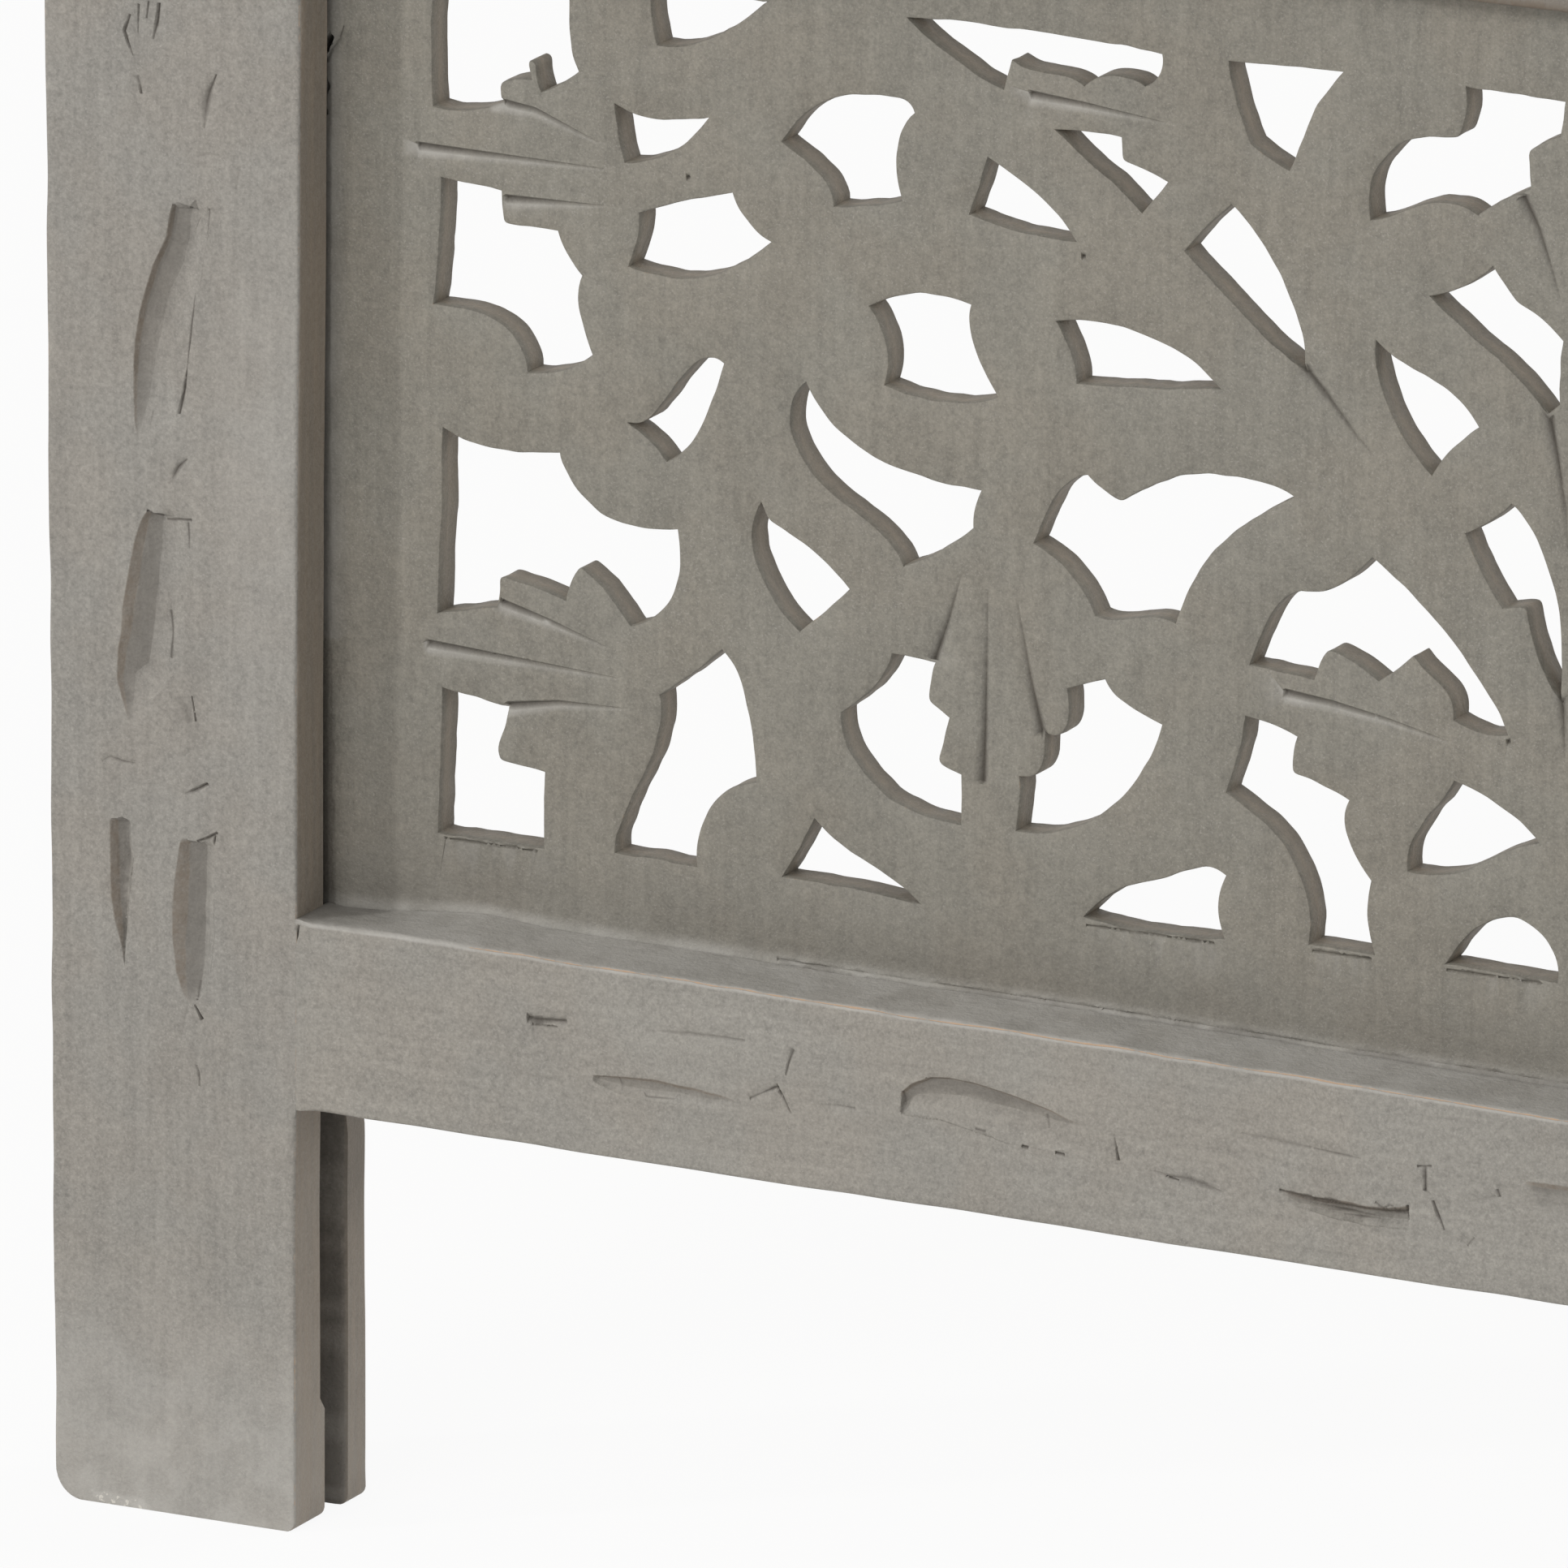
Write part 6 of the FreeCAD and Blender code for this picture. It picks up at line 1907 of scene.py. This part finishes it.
def worn_paint_group():
    """Old matt paint over brown wood. Its tone shifts in broad, middling and fine mottles and in
    streaks along the grain, with tiny pale flecks on it. It is paler in blotches where washed and
    where painted light lies, worn to the wood where the wear mask and a noise are both high, greyer
    and darker with painted shade, dark brown with painted shade in the walls of holes and hollows,
    and nearly black where dirt and painted shade lie in cracks and grooves."""
    colours = [(label, "NodeSocketColor", None) for label in ("Paint", "Wood")]
    masks = [(label, "NodeSocketFloat", 0.0) for label in MASK_SOCKETS.values()]
    group, given, result = new_group(
        "worn paint",
        colours + [("Place", "NodeSocketVector", None)] + masks,
        (
            ("Colour", "NodeSocketColor"),
            ("Roughness", "NodeSocketFloat"),
            ("Height", "NodeSocketFloat"),
        ),
    )
    noises = {
        label: noise_value(group, given.outputs["Place"], *sizes)
        for label, sizes in PAINT_NOISES.items()
    }

    def weighed(start, weights):
        return weighed_sum(group, start, [(noises[key], part) for key, part in weights.items()])

    def layer_share(label):
        noise, *limits = LAYER_RANGES[label]
        return ranged(group, noises[noise], *limits)

    def masked(label, share):
        return calculated(group, "MULTIPLY", given.outputs[label], share)

    toned = shader_node(group, "ShaderNodeVectorMath", operation="SCALE")
    group.links.new(given.outputs["Paint"], toned.inputs[0])
    tone = weighed(1.0 - sum(TONE_WEIGHTS.values()) / 2, TONE_WEIGHTS)
    group.links.new(tone, toned.inputs["Scale"])
    warm = layer_share("warm")
    colour = mixed_colour(group, warm, toned.outputs[0], WARM_TINT, "MULTIPLY")
    fleck = layer_share("fleck")
    chip = masked("Washed", layer_share("chip"))
    bare = ranged(group, masked("Wear", weighed(BARE_START, RUB_WEIGHTS)), *BARE_RANGE)
    # The washed layer also lays painted light, and the last three lay painted shade, painted shade
    # in walls, and dirt with painted shade
    layers = (
        (fleck, FLECK_COLOUR),
        (masked("Washed", layer_share("washed")), WASHED_AND_PAINTED_LIGHT_COLOUR),
        (masked("Stain", layer_share("stain")), STAIN_COLOUR),
        (ranged(group, chip, *CHIP_RANGE), CHIP_COLOUR),
        (bare, given.outputs["Wood"]),
        (masked("Dusk", PAINTED_SHADE_SHARE), PAINTED_SHADE_COLOUR),
        (masked("Hollow", layer_share("hollow")), PAINTED_WALL_SHADE_COLOUR),
        (masked("Dirt", DIRT_AND_PAINTED_SHADE_SHARE), DIRT_AND_PAINTED_SHADE_COLOUR),
    )
    for share, layer in layers:
        colour = mixed_colour(group, share, colour, layer)
    rough = weighed_sum(group, weighed(ROUGHNESS, ROUGH_WEIGHTS), [(bare, BARE_ROUGHNESS)])
    height = weighed_sum(group, weighed(0.0, HEIGHT_WEIGHTS), [
        (fleck, FLECK_HEIGHT), (bare, BARE_HEIGHT),
    ])
    for label, value in (("Colour", colour), ("Roughness", rough), ("Height", height)):
        group.links.new(value, result.inputs[label])
    return group


def surface_material(name):
    """A material with a Principled shader whose normal comes from a bump in millimetres."""
    material = bpy.data.materials.new(name)
    material.use_nodes = True
    tree = material.node_tree
    tree.nodes.clear()
    shader = shader_node(tree, "ShaderNodeBsdfPrincipled")
    surface = shader_node(tree, "ShaderNodeOutputMaterial")
    bump = shader_node(tree, "ShaderNodeBump", {"Strength": 1.0, "Distance": MM})
    tree.links.new(bump.outputs["Normal"], shader.inputs["Normal"])
    tree.links.new(shader.outputs[0], surface.inputs["Surface"])
    return material, tree, shader, bump


def painted_wood(name, group, paint, wood):
    """A painted piece's material: the worn paint group on the piece's own place and masks."""
    material, tree, shader, bump = surface_material(name)
    worn = shader_node(tree, "ShaderNodeGroup", node_tree=group)
    worn.inputs["Paint"].default_value = (*paint, 1.0)
    worn.inputs["Wood"].default_value = (*wood, 1.0)
    place = shader_node(tree, "ShaderNodeAttribute", attribute_name="place")
    tree.links.new(place.outputs["Vector"], worn.inputs["Place"])
    for label, socket in MASK_SOCKETS.items():
        mask = shader_node(tree, "ShaderNodeAttribute", attribute_name=label)
        tree.links.new(mask.outputs["Fac"], worn.inputs[socket])
    tree.links.new(worn.outputs["Colour"], shader.inputs["Base Color"])
    tree.links.new(worn.outputs["Roughness"], shader.inputs["Roughness"])
    tree.links.new(worn.outputs["Height"], bump.inputs["Height"])
    shader.inputs["Specular IOR Level"].default_value = PAINT_SPECULAR
    return material


def darker(colour, share):
    """A colour with each part multiplied by a share, as a shader reads it."""
    return (*[share * part for part in colour], 1.0)


def aged_metal(name, metal, rust, rust_share, roughness):
    """Bare metal gone dull: rust where a noise is high, scratches as stretched noise."""
    material, tree, shader, bump = surface_material(name)
    place = shader_node(tree, "ShaderNodeTexCoord").outputs["Object"]
    patches, grit, scratch = [
        noise_value(tree, place, *sizes) for sizes in METAL_NOISES.values()
    ]
    start = RUST_START - rust_share * RUST_START_MOVE
    end = RUST_END - rust_share * RUST_END_MOVE
    rusty = ranged(tree, patches, start, end, 0.0, MOST_RUST)
    worn = mixed_colour(tree, scratch, darker(metal, DARK_METAL), darker(metal, 1.0))
    rusted = mixed_colour(tree, grit, darker(rust, DARK_RUST), darker(rust, 1.0))
    tree.links.new(mixed_colour(tree, rusty, worn, rusted), shader.inputs["Base Color"])
    tree.links.new(calculated(tree, "SUBTRACT", MOST_RUST, rusty, True), shader.inputs["Metallic"])
    added = ((grit, METAL_ROUGHNESS), (rusty, METAL_ROUGHNESS))
    rough = weighed_sum(tree, roughness, added)
    tree.links.new(rough, shader.inputs["Roughness"])
    height = weighed_sum(tree, 0.0, ((grit, GRIT_HEIGHT), (patches, PATCH_HEIGHT)))
    tree.links.new(height, bump.inputs["Height"])
    return material


# What a user would change


class JaliPaint(bpy.types.PropertyGroup):
    """Colours of the paint, the wood under it, and the metal."""

    stile: bpy.props.FloatVectorProperty(
        name="Stile paint", description="Paint on the upright sides of each panel",
        subtype="COLOR", size=3, default=(0.252, 0.242, 0.222), min=0, max=1)
    rail: bpy.props.FloatVectorProperty(
        name="Rail paint", description="Paint on the cross pieces of each panel",
        subtype="COLOR", size=3, default=(0.265, 0.254, 0.231), min=0, max=1)
    board: bpy.props.FloatVectorProperty(
        name="Board paint", description="Paint on the carved boards",
        subtype="COLOR", size=3, default=(0.208, 0.198, 0.171), min=0, max=1)
    wood: bpy.props.FloatVectorProperty(
        name="Bare wood", description="Wood that shows where the paint is rubbed away",
        subtype="COLOR", size=3, default=(0.500, 0.330, 0.210), min=0, max=1)
    iron: bpy.props.FloatVectorProperty(
        name="Hinge iron", description="Iron of the hinges", subtype="COLOR", size=3,
        default=(0.075, 0.062, 0.052), min=0, max=1)
    steel: bpy.props.FloatVectorProperty(
        name="Screw steel", description="Steel of the hinge screws", subtype="COLOR", size=3,
        default=(0.20, 0.18, 0.155), min=0, max=1)
    rust: bpy.props.FloatVectorProperty(
        name="Rust", description="Rust on the hinges and screws", subtype="COLOR", size=3,
        default=(0.16, 0.072, 0.034), min=0, max=1)


class JaliCarving(bpy.types.PropertyGroup):
    """Sizes of the cutting on the carved boards."""

    lip: bpy.props.FloatProperty(
        name="Softened lip", description="Radius of the worn lip of each hole",
        subtype="DISTANCE", unit="LENGTH", default=0.00042, min=0.0001, max=0.001)
    wobble: bpy.props.FloatProperty(
        name="Hand wobble", description="How far a hole's edge wanders from its outline",
        subtype="DISTANCE", unit="LENGTH", default=0.00014, min=0.0, max=0.0005)
    groove_width: bpy.props.FloatProperty(
        name="Groove width", description="Width of a fan groove at its deep end",
        subtype="DISTANCE", unit="LENGTH", default=0.0026, min=0.0005, max=0.005)
    groove_tail_width: bpy.props.FloatProperty(
        name="Groove tail width", description="Width of a fan groove at its tail",
        subtype="DISTANCE", unit="LENGTH", default=0.0006, min=0.0002, max=0.003)
    groove_depth: bpy.props.FloatProperty(
        name="Groove depth", description="Depth of a fan groove at its deep end",
        subtype="DISTANCE", unit="LENGTH", default=0.00085, min=0.0001, max=0.002)
    groove_tail_depth: bpy.props.FloatProperty(
        name="Groove tail depth", description="Depth of a fan groove at its tail",
        subtype="DISTANCE", unit="LENGTH", default=0.00010, min=0.0, max=0.001)


class JaliFrameWood(bpy.types.PropertyGroup):
    """How worn the stiles and rails are."""

    arris: bpy.props.FloatProperty(
        name="Arris radius", description="Radius of the worn long edges",
        subtype="DISTANCE", unit="LENGTH", default=0.0007, min=0.0002, max=0.003)
    foot_radius: bpy.props.FloatProperty(
        name="Foot corner radius", description="Radius of the outer corner of each leg's foot",
        subtype="DISTANCE", unit="LENGTH", default=0.005, min=0.001, max=0.012)
    waver: bpy.props.FloatProperty(
        name="Waver", description="How far a face wanders from flat",
        subtype="DISTANCE", unit="LENGTH", default=0.00010, min=0.0, max=0.0005)


class JaliStage(bpy.types.PropertyGroup):
    """Light and floor."""

    key_power: bpy.props.FloatProperty(
        name="Key light", description="Power of the large soft lamp at the front left",
        subtype="POWER", unit="POWER", default=138.0, min=0, max=2000)
    side_power: bpy.props.FloatProperty(
        name="Side light", description="Power of the small lamp at the far left",
        subtype="POWER", unit="POWER", default=89.0, min=0, max=2000)
    back_power: bpy.props.FloatProperty(
        name="Back light", description="Power of the large soft lamp behind, on the right",
        subtype="POWER", unit="POWER", default=85.0, min=0, max=2000)
    sky: bpy.props.FloatProperty(
        name="Sky light", description="Strength of the even light from all round",
        default=0.5, min=0, max=2)
    floor: bpy.props.FloatVectorProperty(
        name="Floor", description="Colour of the floor under the light",
        subtype="COLOR", size=3, default=(0.86, 0.85, 0.84), min=0, max=1)


# Operators


def finished_once(name, make):
    """A material by name, made from its name the first time that it is asked for."""
    return bpy.data.materials.get(name) or make(name)


def paint_material(part):
    """The painted material of the stiles, rails or boards."""
    paint = bpy.context.scene.jali_paint

    def make(name):
        group = bpy.data.node_groups.get("worn paint") or worn_paint_group()
        return painted_wood(name, group, getattr(paint, part), paint.wood)

    return finished_once(part + " paint", make)


class JALI_OT_boards(bpy.types.Operator):
    """Carve the boards and round the lips of their holes"""

    bl_idname = "jali_screen.boards"
    bl_label = "Carve the boards"

    def execute(self, context):
        settings = context.scene.jali_carving
        material = paint_material("board")
        for panel in PANEL_TURNS:
            for name in BOARD_OPENINGS:
                steps = SHOWN_BOARD_STEPS if (panel, name) == SHOWN_BOARD else PLAIN_BOARD_STEPS
                piece = carve_board(panel, name, *steps, settings, material)
        return {"FINISHED"}


class JALI_OT_stiles(bpy.types.Operator):
    """Shape the stiles with their worn arrises, hollows and cracks"""

    bl_idname = "jali_screen.stiles"
    bl_label = "Shape the stiles"

    def execute(self, context):
        settings = context.scene.jali_frame_wood
        material = paint_material("stile")
        for panel in PANEL_TURNS:
            for side, left in (("left", 0.0), ("right", RAIL_RIGHT)):
                shown = panel + "_" + side + "_stile" == SHOWN_STILE
                steps = SHOWN_STEPS if shown else PLAIN_STEPS
                span = (steps["shown_height"] if shown else STILE_MARKS_START, PANEL_HEIGHT)
                cuts, hollows = bar_marks(
                    PIECE_SEEDS[panel] + len(side), STILE_WIDTH, span, 1, STILE_HOLLOW_SPACING,
                    (left, 0.0), (STILE_CUTS, STILE_HOLLOWS) if shown else NO_MARKS)
                piece = shape_stile(panel, side, steps, cuts, hollows, settings, material)
        return {"FINISHED"}


class JALI_OT_rails(bpy.types.Operator):
    """Shape the rails with their worn arrises, hollows and cracks"""

    bl_idname = "jali_screen.rails"
    bl_label = "Shape the rails"

    def execute(self, context):
        settings = context.scene.jali_frame_wood
        material = paint_material("rail")
        for panel in PANEL_TURNS:
            for rail, foot in RAIL_FEET.items():
                shown = panel + "_" + rail == SHOWN_RAIL
                steps = SHOWN_STEPS if shown else PLAIN_STEPS
                span = (SHOWN_RAIL_END if shown else RAIL_LEFT, RAIL_RIGHT)
                cuts, hollows = bar_marks(
                    PIECE_SEEDS[panel] + int(foot), RAIL_HEIGHT, span, 0, RAIL_HOLLOW_SPACING,
                    (0.0, foot), (RAIL_CUTS, RAIL_HOLLOWS) if shown else NO_MARKS)
                piece = shape_rail(panel, rail, steps, cuts, hollows, settings, material)
        return {"FINISHED"}


class JALI_OT_hinges(bpy.types.Operator):
    """Give the hinges their aged iron and the screws their dull steel"""

    bl_idname = "jali_screen.hinges"
    bl_label = "Finish the hinges"

    def execute(self, context):
        paint = context.scene.jali_paint
        iron = finished_once("aged hinge iron", lambda name: aged_metal(
            name, paint.iron, paint.rust, *IRON_AGE))
        steel = finished_once("dull screw steel", lambda name: aged_metal(
            name, paint.steel, paint.rust, *STEEL_AGE))
        for name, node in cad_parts.items():
            if "_hinge_" in name or name.endswith("_screws"):
                node.data.materials.clear()
                node.data.materials.append(steel if name.endswith("_screws") else iron)
        return {"FINISHED"}


class JALI_OT_stage(bpy.types.Operator):
    """Lay the pale floor, and set the lamps and the camera"""

    bl_idname = "jali_screen.stage"
    bl_label = "Set the stage"

    def execute(self, context):
        settings = context.scene.jali_stage
        lay_floor(settings)
        light_world(settings)
        for name, (power, heading, size) in LAMPS.items():
            hang_lamp(name, heading, size, getattr(settings, power))
        place_camera(context.scene)
        context.scene.view_settings.view_transform = "Standard"
        return {"FINISHED"}


# Each lamp's setting for its power, its heading in degrees and its size in metres, and then the
# lamps' distance and the looks of the sky and the floor
LAMPS = {
    "key light": ("key_power", (-33.0, 14.0), 2.6),
    "side light": ("side_power", (-72.0, 8.0), 0.35),
    "back light": ("back_power", (118.0, 16.0), 3.0),
}
LAMP_DISTANCE = 6.0
LAMP_COLOUR = (1.0, 0.985, 0.96)
SKY_COLOUR = (1.0, 0.99, 0.97, 1.0)
FLOOR_REACH = 60.0
FLOOR_LINES = 9
CAMERA_REACH = 100.0
SEEN_FLOOR = (1.0, 1.0, 1.0, 1.0)
SEEN_BEYOND = (0.96, 0.96, 0.96, 1.0)
EVEN_SHARE = 0.92
SEEN_RAYS = ("Is Camera Ray", "Is Glossy Ray", "Is Transmission Ray")


def seen_ray(tree):
    """One where the camera, a gloss or a clear piece looks, else nought."""
    path = shader_node(tree, "ShaderNodeLightPath")
    value = path.outputs[SEEN_RAYS[0]]
    for label in SEEN_RAYS[1:]:
        value = calculated(tree, "MAXIMUM", value, path.outputs[label])
    return value


def mixed_shaders(tree, share, first, second, output):
    """Two shaders mixed by a share, and joined to the output that the tree ends in."""
    mix = shader_node(tree, "ShaderNodeMixShader")
    surface = shader_node(tree, output)
    tree.links.new(share, mix.inputs[0])
    tree.links.new(first.outputs[0], mix.inputs[1])
    tree.links.new(second.outputs[0], mix.inputs[2])
    tree.links.new(mix.outputs[0], surface.inputs["Surface"])


def lay_floor(settings):
    """A wide square floor. What is seen of it is partly its own even colour and partly lit, so
    that the screen's shadow stays on it."""
    steps = np.linspace(-FLOOR_REACH, FLOOR_REACH, FLOOR_LINES)
    across, back = np.meshgrid(steps, steps, indexing="ij")
    points = np.column_stack([across.ravel(), back.ravel(), np.zeros(across.size)])
    triangles = strip_triangles(len(steps), len(steps), False)
    mesh = bpy.data.meshes.new("floor")
    mesh.from_pydata(points.tolist(), [], triangles.tolist())
    material = bpy.data.materials.new("pale floor")
    material.use_nodes = True
    tree = material.node_tree
    tree.nodes.clear()
    matt = shader_node(tree, "ShaderNodeBsdfDiffuse", {"Color": (*settings.floor, 1.0)})
    even = shader_node(tree, "ShaderNodeEmission", {"Color": SEEN_FLOOR})
    share = calculated(tree, "MULTIPLY", seen_ray(tree), EVEN_SHARE)
    mixed_shaders(tree, share, matt, even, "ShaderNodeOutputMaterial")
    mesh.materials.append(material)
    floor = bpy.data.objects.new("floor", mesh)
    bpy.context.scene.collection.objects.link(floor)


def light_world(settings):
    """An even sky for light, and the floor's pale colour where it is looked at."""
    world = bpy.data.worlds.new("studio")
    world.use_nodes = True
    tree = world.node_tree
    tree.nodes.clear()
    lighting = shader_node(tree, "ShaderNodeBackground", {
        "Color": SKY_COLOUR, "Strength": settings.sky,
    })
    looked_at = shader_node(tree, "ShaderNodeBackground", {
        "Color": SEEN_BEYOND, "Strength": 1.0,
    })
    mixed_shaders(tree, seen_ray(tree), lighting, looked_at, "ShaderNodeOutputWorld")
    bpy.context.scene.world = world


def hang_lamp(name, heading, size, power):
    """A square area lamp that looks at the screen's middle from a compass heading, in degrees
    from straight ahead towards the right and up."""
    lamp = bpy.data.lights.new(name, "AREA")
    lamp.shape = "SQUARE"
    lamp.size = size
    lamp.energy = power
    lamp.color = LAMP_COLOUR
    around, rise = np.radians(heading)
    aim = Vector((0.0, 0.0, PANEL_HEIGHT * MM / 2))
    away = Vector((np.sin(around) * np.cos(rise), -np.cos(around) * np.cos(rise), np.sin(rise)))
    hung = bpy.data.objects.new(name, lamp)
    hung.location = aim + away * LAMP_DISTANCE
    hung.rotation_euler = (-away).to_track_quat("-Z", "Y").to_euler()
    hung.visible_camera = False
    bpy.context.scene.collection.objects.link(hung)


def place_camera(scene):
    """The photograph's camera: its eye and axes are turned from the left panel's frame into the
    row's frame."""
    _, axes = panel_frame("left_panel")
    lens = bpy.data.cameras.new("photograph")
    lens.lens = LENS
    lens.sensor_width = SENSOR_WIDTH
    lens.clip_end = CAMERA_REACH
    camera = bpy.data.objects.new("photograph", lens)
    turned = np.array((EYE_RIGHT, EYE_UP, -EYE_AHEAD)) @ axes
    pose = Matrix(turned.T.tolist()).to_4x4()
    pose.translation = Vector(out_of_panel(EYE[None, :], "left_panel")[0])
    camera.matrix_world = pose
    scene.collection.objects.link(camera)
    scene.camera = camera


class JALI_PT_screen(bpy.types.Panel):
    """The screen's settings and the steps that make it"""

    bl_idname = "JALI_PT_screen"
    bl_label = "Carved jali screen"
    bl_space_type = "VIEW_3D"
    bl_region_type = "UI"
    bl_category = "Jali screen"

    def draw(self, context):
        scene = context.scene
        for settings in (scene.jali_paint, scene.jali_carving, scene.jali_frame_wood,
                         scene.jali_stage):
            box = self.layout.box()
            for key in settings.__annotations__:
                box.prop(settings, key)
        for step in STEPS:
            self.layout.operator(step.bl_idname)


STEPS = (JALI_OT_boards, JALI_OT_stiles, JALI_OT_rails, JALI_OT_hinges, JALI_OT_stage)
SETTINGS = {
    "jali_paint": JaliPaint,
    "jali_carving": JaliCarving,
    "jali_frame_wood": JaliFrameWood,
    "jali_stage": JaliStage,
}


def register():
    """Register the settings, the steps and the panel."""
    for group in SETTINGS.values():
        bpy.utils.register_class(group)
    for key, group in SETTINGS.items():
        setattr(bpy.types.Scene, key, bpy.props.PointerProperty(type=group))
    for step in STEPS:
        bpy.utils.register_class(step)
    bpy.utils.register_class(JALI_PT_screen)


def unregister():
    """Take them away again."""
    bpy.utils.unregister_class(JALI_PT_screen)
    for step in reversed(STEPS):
        bpy.utils.unregister_class(step)
    for key in SETTINGS:
        delattr(bpy.types.Scene, key)
    for group in reversed(list(SETTINGS.values())):
        bpy.utils.unregister_class(group)


def main():
    """Make every piece and the stage."""
    register()
    bpy.ops.jali_screen.boards()
    bpy.ops.jali_screen.stiles()
    bpy.ops.jali_screen.rails()
    bpy.ops.jali_screen.hinges()
    bpy.ops.jali_screen.stage()


if __name__ == "__main__":
    main()
